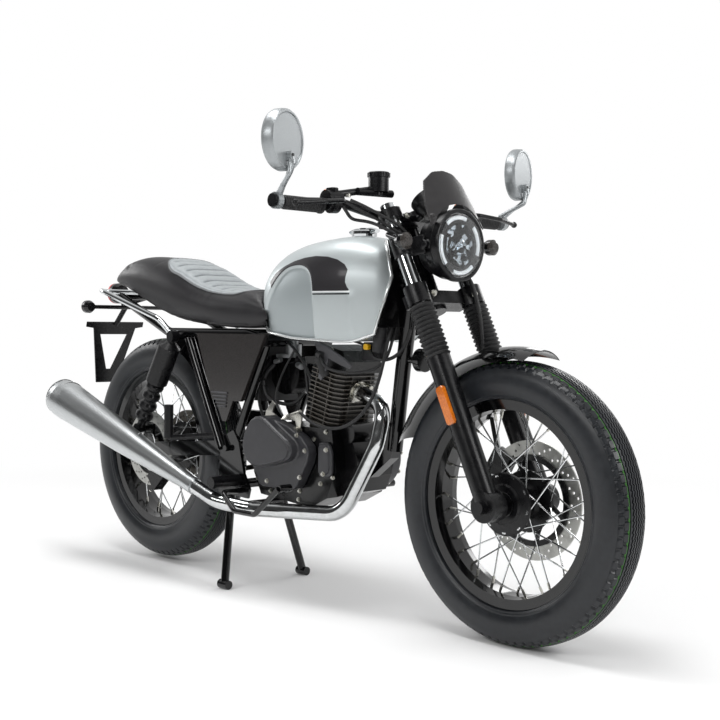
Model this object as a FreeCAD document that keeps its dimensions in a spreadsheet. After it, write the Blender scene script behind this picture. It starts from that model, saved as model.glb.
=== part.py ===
import FreeCAD, Part
import Sketcher
import math
import os

# A small retro motorcycle with wire wheels. The frame is millimetres, +X forward, +Y to the
# rider's left, +Z up. The rear axle is at x = 0 and the floor at z = 0.

V = FreeCAD.Vector

SIZES = {
    # whole machine
    "front_wheel_gap": 61.0,
    "rake_angle": 25.5,
    "fit_gap": 0.3,
    "cut_over": 2.0,
    "tube_wall": 3.0,
    # wheels and tyres
    "front_tyre_radius": 315.0,
    "front_tyre_width": 108.0,
    "rear_tyre_radius": 325.0,
    "rear_tyre_width": 120.0,
    "rear_wheel_lift": 10.0,
    "rim_radius": 230.0,
    "rim_bed_radius": 217.0,
    "rim_inner_radius": 204.0,
    "rim_lip": 4.0,
    "front_rim_width": 80.0,
    "rear_rim_width": 88.0,
    "spoke_radius": 1.9,
    "spoke_count": 36,
    "spoke_edge": 8.0,
    "spoke_sweep_angle": 52.0,
    "front_axle_radius": 8.0,
    "rear_axle_radius": 8.5,
    "axle_head_radius": 14.0,
    "axle_head_length": 12.0,
    "front_hub_width": 96.0,
    "front_hub_flange_radius": 70.0,
    "front_hub_core_radius": 46.0,
    "hub_flange_thickness": 7.0,
    "rear_hub_width": 118.0,
    "rear_hub_flange_radius": 74.0,
    "rear_hub_core_radius": 48.0,
    # brake discs
    "front_disc_radius": 135.0,
    "front_disc_inner_radius": 100.0,
    "rear_disc_radius": 110.0,
    "rear_disc_inner_radius": 78.0,
    "disc_thickness": 4.0,
    "disc_hole_radius": 4.0,
    "disc_hole_count": 24,
    "disc_arm_count": 6,
    "disc_carrier_arm": 16.0,
    "disc_carrier_thickness": 6.0,
    "caliper_length": 92.0,
    "caliper_height": 52.0,
    "caliper_width": 31.0,
    "caliper_inner_reach": 12.0,
    "front_caliper_angle": 150.0,
    "rear_caliper_angle": -48.0,
    # chain drive
    "sprocket_radius": 92.0,
    "sprocket_thickness": 6.0,
    "sprocket_teeth": 38,
    "sprocket_line": 73.0,
    "drive_sprocket_radius": 30.0,
    "drive_sprocket_offset": 44.0,
    "drive_sprocket_z": 368.0,
    "chain_guard_front_offset": -52.0,
    "chain_guard_rear_x": 30.0,
    "chain_height": 14.0,
    "chain_width": 12.0,
    "chain_guard_width": 26.0,
    "chain_guard_wall": 3.0,
    # fork
    "fork_half_spacing": 93.0,
    "yoke_offset": 45.0,
    "stanchion_radius": 17.5,
    "lower_leg_radius": 27.0,
    "lower_leg_top": 352.0,
    "lower_leg_foot": 34.0,
    "gaiter_radius": 30.0,
    "gaiter_groove": 5.0,
    "gaiter_folds": 12,
    "gaiter_top": 482.0,
    "lower_yoke_bottom": 484.0,
    "lower_yoke_thickness": 46.0,
    "upper_yoke_bottom": 700.0,
    "upper_yoke_thickness": 24.0,
    "yoke_collar_radius": 28.0,
    "yoke_web": 46.0,
    "fork_cap_rise": 16.0,
    "stem_radius": 13.0,
    "head_tube_radius": 27.0,
    # handlebar
    "bar_radius": 11.0,
    "bar_half_width": 372.0,
    "bar_rise": 26.0,
    "bar_sweep": 12.0,
    "riser_radius": 16.0,
    "grip_radius": 16.5,
    "grip_length": 122.0,
    "bar_end_length": 16.0,
    # lamp and screen
    "lamp_radius": 84.0,
    "lamp_depth": 98.0,
    "lamp_centre_offset": -170.0,
    "lamp_centre_z": 890.0,
    "lamp_rim_width": 20.0,
    "lens_radius": 74.0,
    "ear_thickness": 5.0,
    "ear_bolt_radius": 9.0,
    "ear_clamp_at": 606.0,
    "ear_clamp_height": 44.0,
    "screen_height": 142.0,
    "screen_half_width": 91.0,
    "screen_foot_offset": -157.0,
    "screen_foot_z": 945.0,
    "screen_lamp_gap": 10.0,
    "screen_radius": 170.0,
    "screen_wall": 3.0,
    "screen_lean_angle": 31.0,
    "screen_pin_angle": 38.0,
    "gauge_radius": 46.0,
    "gauge_depth": 46.0,
    "gauge_tilt_angle": 12.0,
    # mirrors
    "mirror_radius": 66.0,
    "mirror_turn_angle": 18.0,
    "mirror_thickness": 26.0,
    "mirror_stem_radius": 5.5,
    "mirror_centre_z": 1102.0,
    "mirror_centre_y": 405.0,
    "mirror_centre_offset": -328.0,
    # indicators
    "indicator_radius": 19.0,
    "indicator_length": 34.0,
    "indicator_stem_radius": 6.0,
    # fenders
    "fender_wall": 3.0,
    "front_fender_radius": 346.0,
    "front_fender_half_width": 66.0,
    "front_fender_drop": 24.0,
    "rear_fender_radius": 356.0,
    "rear_fender_half_width": 76.0,
    "rear_fender_drop": 30.0,
    # frame tubes
    "main_tube_radius": 25.0,
    "down_tube_radius": 19.0,
    "rail_radius": 13.0,
    "stay_radius": 14.0,
    "rail_half_spacing": 100.0,
    "stay_half_spacing": 119.0,
    "mid_stay_half_spacing": 96.0,
    "mid_stay_radius": 12.0,
    "cross_tube_offset": 146.0,
    "cross_tube_z": 662.0,
    "cross_tube_radius": 16.0,
    "brace_radius": 8.0,
    "brace_angle": 24.0,
    "rail_kink_x": 140.0,
    "pivot_x": 432.0,
    "pivot_z": 372.0,
    "pivot_bolt_radius": 8.0,
    "pivot_tube_radius": 19.0,
    "peg_plate_thickness": 8.0,
    "peg_plate_half_spacing": 108.0,
    # swinging arm and shocks
    "arm_height": 40.0,
    "arm_width": 22.0,
    "arm_half_spacing": 92.5,
    "arm_tab_length": 28.0,
    "arm_tab_thickness": 8.0,
    "shock_half_spacing": 140.0,
    "shock_top_x": 214.0,
    "shock_top_z": 668.0,
    "shock_bottom_x": 50.0,
    "shock_bottom_z": 400.0,
    "shock_body_radius": 19.0,
    "shroud_radius": 31.0,
    "spring_coil_radius": 26.0,
    "spring_coils": 4.0,
    "shock_eye_radius": 15.0,
    # engine
    "case_step": 30.0,
    "carb_length": 90.0,
    "carb_radius": 20.0,
    "carb_offset": 56.0,
    "carb_z": 575.0,
    "carb_body_radius": 55.0,
    "carb_half_width": 38.0,
    "air_box_length": 100.0,
    "air_box_half_width": 55.0,
    "air_box_bottom_z": 500.0,
    "case_length": 315.0,
    "engine_offset": 88.0,
    "engine_bottom_z": 246.0,
    "case_top_z": 448.0,
    "case_half_width": 96.0,
    "clutch_cover_offset": 120.0,
    "clutch_cover_z": 405.0,
    "clutch_cover_radius": 90.0,
    "clutch_cover_depth": 62.0,
    "points_cover_offset": 286.0,
    "points_cover_z": 372.0,
    "points_cover_radius": 44.0,
    "points_cover_depth": 16.0,
    "case_nose": 40.0,
    "starter_radius": 26.0,
    "generator_cover_offset": 245.0,
    "generator_cover_z": 362.0,
    "generator_cover_radius": 78.0,
    "generator_cover_depth": 48.0,
    "cylinder_offset": 220.0,
    "cylinder_half_length": 62.0,
    "cylinder_half_width": 80.0,
    "cylinder_lean_angle": 12.5,
    "fin_corner": 20.0,
    "fin_reach": 13.0,
    "cylinder_top_z": 600.0,
    "fin_thickness": 3.0,
    "fin_pitch": 11.0,
    "fin_count": 13,
    "head_cover_height": 52.0,
    # exhaust
    "port_side": 12.0,
    "header_radius": 19.0,
    "header_front_offset": 117.0,
    "header_knee_offset": 33.0,
    "header_turn_offset": 40.0,
    "header_side": 105.0,
    "header_low_z": 226.0,
    "header_mid_z": 420.0,
    "muffler_front_offset": -43.0,
    "muffler_front_z": 270.0,
    "muffler_rear_x": -300.0,
    "muffler_rear_z": 482.0,
    "muffler_side": 190.0,
    "muffler_flare": 8.0,
    "muffler_front_radius": 22.0,
    "muffler_rear_radius": 57.0,
    "muffler_tip_radius": 33.0,
    # tank and seat
    "tank_front_offset": -335.0,
    "tank_rear_offset": 73.0,
    "tank_half_width": 138.0,
    "tank_bottom_z": 664.0,
    "tank_top_z": 924.0,
    "tank_tunnel_gap": 5.0,
    "notch_reach": 150.0,
    "gusset_front_offset": -338.0,
    "gusset_bottom_z": 700.0,
    "gusset_top_z": 868.0,
    "backbone_at": 600.0,
    "backbone_rear_offset": 146.0,
    "backbone_rear_z": 700.0,
    "down_tube_offset": 109.0,
    "down_tube_z": 400.0,
    "rail_tail_x": -110.0,
    "rail_tail_z": 782.0,
    "cap_radius": 32.0,
    "cap_height": 16.0,
    "cap_offset": -490.0,
    "seat_front_offset": 170.0,
    "seat_rear_x": -226.0,
    "seat_half_width": 128.0,
    "seat_bottom_z": 692.0,
    "seat_top_z": 896.0,
    "seat_gap": 2.0,
    # side panels and tail
    "panel_front_offset": 164.0,
    "panel_rear_offset": -132.0,
    "panel_top_z": 678.0,
    "panel_mid_z": 500.0,
    "panel_slant": 72.0,
    "panel_half_spacing": 113.3,
    "panel_thickness": 10.0,
    "tail_light_x": -300.0,
    "tail_light_z": 797.0,
    "grab_front_x": 176.0,
    "grab_front_z": 676.0,
    "grab_rear_x": -236.0,
    "grab_rear_z": 800.0,
    "tail_light_radius": 32.0,
    "tail_light_depth": 40.0,
    "grab_rail_radius": 8.0,
    "plate_thickness": 4.0,
    "rear_indicator_x": -190.0,
    "rear_indicator_z": 752.0,
    "plate_width": 206.0,
    "plate_height": 200.0,
    "plate_slant_angle": 16.0,
    # stands
    "stand_tube_radius": 13.0,
    "stand_pivot_offset": -24.0,
    "stand_pivot_z": 268.0,
    "stand_foot_offset": 20.0,
    "stand_half_spacing": 80.0,
    "stand_foot_half_spacing": 138.0,
    "stand_foot_radius": 12.0,
    "side_stand_length": 226.0,
    "side_stand_offset": 73.0,
    "side_stand_z": 258.0,
    "side_stand_reach": 28.0,
    "side_stand_tilt_angle": 16.26,
    # controls
    "peg_radius": 17.0,
    "peg_length": 92.0,
    "peg_offset": 43.0,
    "peg_z": 290.0,
    "passenger_peg_offset": -194.0,
    "passenger_peg_y": 170.0,
    "passenger_peg_z": 388.0,
    "pedal_radius": 7.0,
    "pedal_side": 192.0,
    "pedal_tip_offset": 214.0,
    "pedal_tip_z": 300.0,
    "gear_tip_offset": 232.0,
    "gear_tip_z": 286.0,
    "gear_shaft_offset": 120.0,
    "gear_shaft_z": 290.0,
    "horn_radius": 28.0,
    "horn_depth": 30.0,
    "horn_offset": 68.0,
    "horn_z": 622.0,
    "lever_length": 150.0,
    "perch_radius": 19.0,
    "perch_length": 33.0,
    "reservoir_radius": 24.0,
    "reservoir_height": 40.0,
    "cable_radius": 4.0,
}

doc = FreeCAD.newDocument("CafeRacer")
sheet = doc.addObject("Spreadsheet::Sheet", "Sizes")
for row, (word, number) in enumerate(SIZES.items(), start=1):
    sheet.set(f"A{row}", word)
    sheet.set(f"B{row}", str(number))
    sheet.setAlias(f"B{row}", word)
doc.recompute()


class Size(float):
    """A length that remembers the sheet formula that gives it."""

    def __new__(cls, value, formula):
        size = super().__new__(cls, value)
        size.formula = formula
        return size

    def __add__(self, other):
        return Size(float(self) + float(other), f"({self.formula} + {formula_of(other)})")

    def __radd__(self, other):
        return Size(float(other) + float(self), f"({formula_of(other)} + {self.formula})")

    def __sub__(self, other):
        return Size(float(self) - float(other), f"({self.formula} - {formula_of(other)})")

    def __rsub__(self, other):
        return Size(float(other) - float(self), f"({formula_of(other)} - {self.formula})")

    def __mul__(self, other):
        return Size(float(self) * float(other), f"({self.formula} * {formula_of(other)})")

    def __rmul__(self, other):
        return Size(float(other) * float(self), f"({formula_of(other)} * {self.formula})")

    def __truediv__(self, other):
        return Size(float(self) / float(other), f"({self.formula} / {formula_of(other)})")

    def __neg__(self):
        return Size(-float(self), f"(0 - {self.formula})")


def formula_of(value):
    return value.formula if isinstance(value, Size) else f"{float(value):.9g}"


# Places along the machine, each a datum and what lies ahead of it, from the rear axle forward.
PLACES = {
    "engine_rear_x": ("pivot_x", "engine_offset"),
    "engine_front_x": ("engine_rear_x", "case_length"),
    "down_tube_x": ("engine_front_x", "down_tube_offset"),
    "wheelbase": ("down_tube_x", "front_wheel_gap", "front_tyre_radius"),
    "cross_tube_x": ("pivot_x", "cross_tube_offset"),
    "panel_front_x": ("pivot_x", "panel_front_offset"),
    "panel_rear_x": ("pivot_x", "panel_rear_offset"),
    "seat_front_x": ("pivot_x", "seat_front_offset"),
    "tank_rear_x": ("pivot_x", "tank_rear_offset"),
    "backbone_rear_x": ("pivot_x", "backbone_rear_offset"),
    "muffler_front_x": ("pivot_x", "muffler_front_offset"),
    "stand_pivot_x": ("pivot_x", "stand_pivot_offset"),
    "stand_foot_x": ("pivot_x", "stand_foot_offset"),
    "side_stand_x": ("pivot_x", "side_stand_offset"),
    "peg_x": ("pivot_x", "peg_offset"),
    "passenger_peg_x": ("pivot_x", "passenger_peg_offset"),
    "drive_sprocket_x": ("pivot_x", "drive_sprocket_offset"),
    "chain_guard_front_x": ("pivot_x", "chain_guard_front_offset"),
    "clutch_cover_x": ("engine_rear_x", "clutch_cover_offset"),
    "generator_cover_x": ("engine_rear_x", "generator_cover_offset"),
    "points_cover_x": ("engine_rear_x", "points_cover_offset"),
    "carb_x": ("engine_rear_x", "carb_offset"),
    "cylinder_x": ("engine_rear_x", "cylinder_offset"),
    "gear_shaft_x": ("engine_rear_x", "gear_shaft_offset"),
    "pedal_tip_x": ("engine_rear_x", "pedal_tip_offset"),
    "gear_tip_x": ("engine_rear_x", "gear_tip_offset"),
    "header_turn_x": ("engine_rear_x", "header_turn_offset"),
    "header_knee_x": ("engine_front_x", "header_knee_offset"),
    "header_front_x": ("engine_front_x", "header_front_offset"),
    "horn_x": ("down_tube_x", "horn_offset"),
    "cap_x": ("wheelbase", "cap_offset"),
    "tank_front_x": ("wheelbase", "tank_front_offset"),
    "gusset_front_x": ("wheelbase", "gusset_front_offset"),
    "lamp_centre_x": ("wheelbase", "lamp_centre_offset"),
    "screen_foot_x": ("wheelbase", "screen_foot_offset"),
    "mirror_centre_x": ("wheelbase", "mirror_centre_offset"),
}


class SheetSizes:
    """Gives each cell of the sheet by its word, and each place as the sum of its cells."""

    def __getattr__(self, word):
        if word not in PLACES:
            return Size(float(sheet.get(word)), f"Sizes.{word}")
        first, *others = PLACES[word]
        place = getattr(self, first)
        for other in others:
            place = place + getattr(self, other)
        return place


d = SheetSizes()
made = {}


def keep(label, piece):
    """Names a finished sub-part; its label is also its file's name."""
    piece.Label = label
    made[label] = piece
    return piece


def bind(piece, prop, value):
    piece.setExpression(prop, formula_of(value))
    return piece


def origin_part(body, role):
    return next(part for part in body.Origin.OriginFeatures if part.Role == role)


def fix_point(sketch, index, x, y):
    """Ties the start of a line to two formulas, measured from the sketch's origin."""
    for kind, value, axis in (("DistanceX", x, -2), ("DistanceY", y, -1)):
        if float(value) == 0.0:
            sketch.addConstraint(Sketcher.Constraint("PointOnObject", index, 1, axis))
        elif float(value) > 0.0:
            row = sketch.addConstraint(Sketcher.Constraint(kind, -1, 1, index, 1, float(value)))
            sketch.setExpression(f"Constraints[{row}]", formula_of(value))
        else:
            row = sketch.addConstraint(Sketcher.Constraint(kind, index, 1, -1, 1, -float(value)))
            sketch.setExpression(f"Constraints[{row}]", formula_of(-value))


def outline_sketch(body, role, points):
    """A closed outline of straight lines in one of the body's own planes."""
    sketch = body.newObject("Sketcher::SketchObject", body.Name + "Outline")
    sketch.AttachmentSupport = [(origin_part(body, role), "")]
    sketch.MapMode = "FlatFace"
    count = len(points)
    for index in range(count):
        start = V(float(points[index][0]), float(points[index][1]), 0)
        following = points[(index + 1) % count]
        sketch.addGeometry(Part.LineSegment(start, V(float(following[0]), float(following[1]), 0)), False)
    for index in range(count):
        sketch.addConstraint(Sketcher.Constraint("Coincident", index, 2, (index + 1) % count, 1))
    for index, (x, y) in enumerate(points):
        fix_point(sketch, index, x, y)
    return sketch


def turned(name, points, place=None):
    """A solid of revolution about its own Y; each point is (radius, distance along Y)."""
    body = doc.addObject("PartDesign::Body", name)
    sketch = outline_sketch(body, "XY_Plane", points)
    turn = body.newObject("PartDesign::Revolution", name + "Turn")
    turn.Profile = sketch
    turn.ReferenceAxis = (sketch, ["V_Axis"])
    turn.Angle = 360
    body.Placement = place or FreeCAD.Placement()
    return body


def plate(name, points, thickness, place=None):
    """A flat piece: its outline is in X and Z, and its thickness is centred on y = 0."""
    body = doc.addObject("PartDesign::Body", name)
    sketch = outline_sketch(body, "XZ_Plane", points)
    pad = body.newObject("PartDesign::Pad", name + "Pad")
    pad.Profile = sketch
    pad.setExpression("Length", formula_of(thickness))
    pad.Midplane = True
    body.Placement = place or FreeCAD.Placement()
    return body


def ring_of_holes(body, name, radius, hole_radius, count, depth):
    """Round holes through a turned plate, evenly spaced about its Y."""
    doc.recompute()
    sketch = body.newObject("Sketcher::SketchObject", name + "HoleOutline")
    sketch.AttachmentSupport = [(origin_part(body, "XZ_Plane"), "")]
    sketch.MapMode = "FlatFace"
    sketch.addGeometry(Part.Circle(V(float(radius), 0, 0), V(0, 0, 1), float(hole_radius)), False)
    sketch.addConstraint(Sketcher.Constraint("PointOnObject", 0, 3, -1))
    row = sketch.addConstraint(Sketcher.Constraint("DistanceX", -1, 1, 0, 3, float(radius)))
    sketch.setExpression(f"Constraints[{row}]", formula_of(radius))
    row = sketch.addConstraint(Sketcher.Constraint("Radius", 0, float(hole_radius)))
    sketch.setExpression(f"Constraints[{row}]", formula_of(hole_radius))
    pocket = body.newObject("PartDesign::Pocket", name + "Hole")
    pocket.Profile = sketch
    pocket.setExpression("Length", formula_of(depth))
    pocket.Midplane = True
    pattern = body.newObject("PartDesign::PolarPattern", name + "HoleRing")
    pattern.Originals = [pocket]
    pattern.Axis = (sketch, ["N_Axis"])
    pattern.Angle = 360
    pattern.Occurrences = int(count)
    body.Tip = pattern
    return body


def rod(name, start, end, radius):
    """A round bar from one point to another."""
    bar = doc.addObject("Part::Cylinder", name)
    bind(bar, "Radius", radius)
    bar.Height = (end - start).Length
    turn = FreeCAD.Rotation(V(0, 0, 1), end - start)
    bar.Placement = FreeCAD.Placement(start, turn)
    return bar


def block(name, low, size, place=None):
    """A box: its lowest corner and its three sizes, in its own frame."""
    box = doc.addObject("Part::Box", name)
    for prop, value in zip(("Length", "Width", "Height"), size):
        bind(box, prop, value)
    local = FreeCAD.Placement(V(*[float(value) for value in low]), FreeCAD.Rotation())
    box.Placement = (place or FreeCAD.Placement()).multiply(local)
    return box


def ball(name, centre, radius):
    piece = doc.addObject("Part::Sphere", name)
    bind(piece, "Radius", radius)
    piece.Placement = FreeCAD.Placement(centre, FreeCAD.Rotation())
    return piece


def joined(name, pieces):
    fuse = doc.addObject("Part::MultiFuse", name)
    fuse.Shapes = pieces
    fuse.Refine = True
    return fuse


def together(name, pieces):
    group = doc.addObject("Part::Compound", name)
    group.Links = pieces
    return group


def cut_from(name, base, tool):
    cut = doc.addObject("Part::Cut", name)
    cut.Base = base
    cut.Tool = tool
    return cut


def other_side(name, piece):
    """The same piece on the other side of the machine."""
    mirror = doc.addObject("Part::Mirroring", name)
    mirror.Source = piece
    mirror.Base = V(0, 0, 0)
    mirror.Normal = V(0, 1, 0)
    return mirror


def both_sides(label, piece):
    doc.recompute()
    return keep(label, together(label, [piece, other_side(label + "Left", piece)]))


def shaped(name, shape):
    piece = doc.addObject("Part::Feature", name)
    piece.Shape = shape
    return piece


def bent_path(points, bend):
    """Straight runs joined by tangent arcs; a bend is shortened where its runs are short."""
    edges = []
    start = points[0]
    for index in range(1, len(points) - 1):
        before = (points[index - 1] - points[index]).normalize()
        after = (points[index + 1] - points[index]).normalize()
        half_turn = (math.pi - before.getAngle(after)) / 2
        room = 0.45 * min((points[index - 1] - points[index]).Length, (points[index + 1] - points[index]).Length)
        reach = min(float(bend) * math.tan(half_turn), room)
        radius = reach / math.tan(half_turn)
        first = points[index] + before * reach
        last = points[index] + after * reach
        middle = (before + after).normalize()
        centre = points[index] + middle * (radius / math.cos(half_turn))
        edges.append(Part.LineSegment(start, first).toShape())
        edges.append(Part.Arc(first, centre - middle * radius, last).toShape())
        start = last
    edges.append(Part.LineSegment(start, points[-1]).toShape())
    return Part.Wire(edges)


def tube_shape(points, radius, bend):
    path = bent_path(points, bend)
    circle = Part.Circle(points[0], points[1] - points[0], float(radius)).toShape()
    shape = path.makePipeShell([Part.Wire([circle])], True, False)
    return shape


def tube(name, points, radius, bend):
    return shaped(name, tube_shape(points, radius, bend))


REAR_AXLE_Z = d.rear_tyre_radius + d.rear_wheel_lift
FRONT_AXLE = V(float(d.wheelbase), 0, float(d.front_tyre_radius))
REAR_AXLE = V(0, 0, float(REAR_AXLE_Z))
FORK = FreeCAD.Placement(FRONT_AXLE, FreeCAD.Rotation(V(0, 1, 0), -float(d.rake_angle)))


def fork_point(forward, left, up):
    """A point given in the fork's own frame: ahead of the legs, left, and up along them."""
    return FORK.multVec(V(float(forward), float(left), float(up)))


def at(x, y, z):
    return FreeCAD.Placement(V(float(x), float(y), float(z)), FreeCAD.Rotation())


# Wheels

TYRE_HEIGHT_SHARES = (0.0, 0.13, 0.50, 0.82, 1.0)
TYRE_WIDTH_SHARES = (0.68, 0.74, 1.0, 0.87, 0.34)


def tyre(label, radius, width, rim_width, centre):
    """A tyre ring: its bead sits in the rim's bed and its crown is nearly round."""
    bed = d.rim_bed_radius + d.fit_gap
    half = width / 2
    side = []
    for high, wide in zip(TYRE_HEIGHT_SHARES, TYRE_WIDTH_SHARES):
        side.append((bed + (radius - bed) * high, half * wide))
    side[0] = (bed, rim_width / 2 - d.rim_lip - d.fit_gap)
    side[1] = (d.rim_radius + d.fit_gap, rim_width / 2 - d.rim_lip - d.fit_gap)
    mirror = [(r, -y) for r, y in reversed(side)]
    return keep(label, turned(label, side + mirror, centre))


def rim(label, rim_width, centre):
    """A rolled rim: two lips, a bed for the tyre and a narrower inner wall."""
    half = rim_width / 2
    inner = half * 0.45
    side = [
        (d.rim_bed_radius, half - d.rim_lip),
        (d.rim_radius, half - d.rim_lip),
        (d.rim_radius, half),
        (d.rim_inner_radius + d.rim_lip, half - d.rim_lip / 2),
        (d.rim_inner_radius, inner),
    ]
    mirror = [(r, -y) for r, y in reversed(side)]
    return keep(label, turned(label, side + mirror, centre))


def hub(label, width, flange_radius, core_radius, bore, centre):
    """A hub with two spoke flanges and a bore for its axle."""
    half = width / 2
    neck = half - d.hub_flange_thickness * 2
    points = [
        (bore, -half),
        (core_radius, -half),
        (core_radius, -neck - d.hub_flange_thickness),
        (flange_radius, -neck - d.hub_flange_thickness),
        (flange_radius, -neck),
        (core_radius * 0.8, -neck * 0.7),
        (core_radius * 0.8, neck * 0.7),
        (flange_radius, neck),
        (flange_radius, neck + d.hub_flange_thickness),
        (core_radius, neck + d.hub_flange_thickness),
        (core_radius, half),
        (bore, half),
    ]
    core = turned(label + "Core", points)
    wires = shaped(label + "Wires", Part.makeCompound(spoke_solids(width, flange_radius)))
    wheel = doc.addObject("Part::MultiFuse", label)
    wheel.Shapes = [core, wires]
    wheel.Placement = centre
    return keep(label, wheel)


def spoke_solids(hub_width, flange_radius):
    """Crossed wire spokes from the two flanges to the middle of the rim."""
    solids = []
    count = int(d.spoke_count)
    inner_radius = float(flange_radius - d.hub_flange_thickness)
    outer_radius = float(d.rim_inner_radius - d.fit_gap - d.spoke_radius / 4)
    flange = float(hub_width / 2 - d.hub_flange_thickness * 1.5)
    sweep = math.radians(float(d.spoke_sweep_angle))
    for index in range(count):
        side = 1 if index % 2 else -1
        way = 1 if (index // 2) % 2 else -1
        end_turn = 2 * math.pi * index / count
        hub_turn = end_turn + way * sweep
        tip = V(math.cos(end_turn), 0, math.sin(end_turn)) * outer_radius
        root = V(math.cos(hub_turn), 0, math.sin(hub_turn)) * inner_radius
        tip.y = side * float(d.spoke_edge)
        root.y = side * flange
        along = (tip - root).normalize()
        across = along.cross(V(0, 1, 0)).normalize()
        corners = []
        for step in range(6):
            turn = FreeCAD.Rotation(along, 60 * step)
            corners.append(root + turn.multVec(across) * float(d.spoke_radius))
        face = Part.Face(Part.makePolygon(corners + [corners[0]]))
        solids.append(face.extrude(tip - root))
    return solids


def brake_disc(label, radius, inner_radius, hub_edge, bore, line, centre):
    """A drilled ring on its carrier: a boss against the hub and arms out to the ring."""
    half = d.disc_thickness / 2
    side = 1 if float(line) > 0 else -1
    ring = turned(label + "Ring", [
        (inner_radius, line - half),
        (radius, line - half),
        (radius, line + half),
        (inner_radius, line + half),
    ])
    reach = side * line * 2 + d.disc_thickness * 2
    ring_of_holes(ring, label, (radius + inner_radius) / 2, d.disc_hole_radius, d.disc_hole_count, reach)
    boss = turned(label + "Boss", [
        (bore, side * (hub_edge + d.fit_gap)),
        (inner_radius * 0.5, side * (hub_edge + d.fit_gap)),
        (inner_radius * 0.5, line + side * half),
        (bore, line + side * half),
    ])
    pieces = [ring, boss]
    for index in range(int(d.disc_arm_count)):
        turn = FreeCAD.Rotation(V(0, 1, 0), 360.0 * index / int(d.disc_arm_count))
        pieces.append(block(f"{label}Arm{index}",
                            (float(inner_radius * 0.4), -float(half), -float(d.disc_carrier_arm / 2)),
                            (inner_radius * 0.6 + d.disc_carrier_thickness, d.disc_thickness, d.disc_carrier_arm),
                            FreeCAD.Placement(V(0, float(line), 0), turn)))
    disc = joined(label, pieces)
    disc.Placement = centre
    return keep(label, disc)


FRONT = at(d.wheelbase, 0, d.front_tyre_radius)
REAR = at(0, 0, REAR_AXLE_Z)
FRONT_DISC_LINE = d.front_hub_width / 2 + d.disc_carrier_thickness + d.disc_thickness
REAR_DISC_LINE = -(d.rear_hub_width / 2 + d.disc_carrier_thickness + d.disc_thickness)


def wheels():
    front_bore = d.front_axle_radius + d.fit_gap
    rear_bore = d.rear_axle_radius + d.fit_gap
    tyre("front_tyre", d.front_tyre_radius, d.front_tyre_width, d.front_rim_width, FRONT)
    rim("front_rim", d.front_rim_width, FRONT)
    hub("front_hub", d.front_hub_width, d.front_hub_flange_radius, d.front_hub_core_radius, front_bore, FRONT)
    brake_disc("front_disc", d.front_disc_radius, d.front_disc_inner_radius, d.front_hub_width / 2, front_bore,
               FRONT_DISC_LINE, FRONT)
    tyre("rear_tyre", d.rear_tyre_radius, d.rear_tyre_width, d.rear_rim_width, REAR)
    rim("rear_rim", d.rear_rim_width, REAR)
    hub("rear_hub", d.rear_hub_width, d.rear_hub_flange_radius, d.rear_hub_core_radius, rear_bore, REAR)
    brake_disc("rear_disc", d.rear_disc_radius, d.rear_disc_inner_radius, d.rear_hub_width / 2, rear_bore,
               REAR_DISC_LINE, REAR)
    rear_sprocket()


def rear_sprocket():
    """A toothed wheel on the left of the rear hub."""
    teeth = int(d.sprocket_teeth)
    root = float(d.sprocket_radius - d.chain_height * 0.35)
    tip = float(d.sprocket_radius)
    corners = []
    for index in range(teeth):
        for share, radius in ((0.0, root), (0.3, root), (0.5, tip), (0.8, tip)):
            turn = 2 * math.pi * (index + share) / teeth
            corners.append(V(radius * math.cos(turn), 0, radius * math.sin(turn)))
    face = Part.Face(Part.makePolygon(corners + [corners[0]]))
    width = float(d.sprocket_thickness)
    wheel = face.extrude(V(0, width, 0))
    wheel.translate(V(0, float(d.sprocket_line) - width / 2, 0))
    inner = float(d.rear_hub_core_radius)
    bore = float(d.rear_axle_radius + d.fit_gap)
    hub_edge = float(d.rear_hub_width / 2)
    start = hub_edge + float(d.fit_gap)
    boss = Part.makeCylinder(inner, float(d.sprocket_line) - start, V(0, start, 0), V(0, 1, 0))
    hole = Part.makeCylinder(bore, float(d.sprocket_line) * 2, V(0, 0, 0), V(0, 1, 0))
    piece = shaped("rear_sprocket", wheel.fuse(boss).cut(hole).removeSplitter())
    piece.Placement = REAR
    keep("rear_sprocket", piece)


# Fork and steering

BAR_UP = d.upper_yoke_bottom + d.upper_yoke_thickness + d.riser_radius + d.fit_gap

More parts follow.
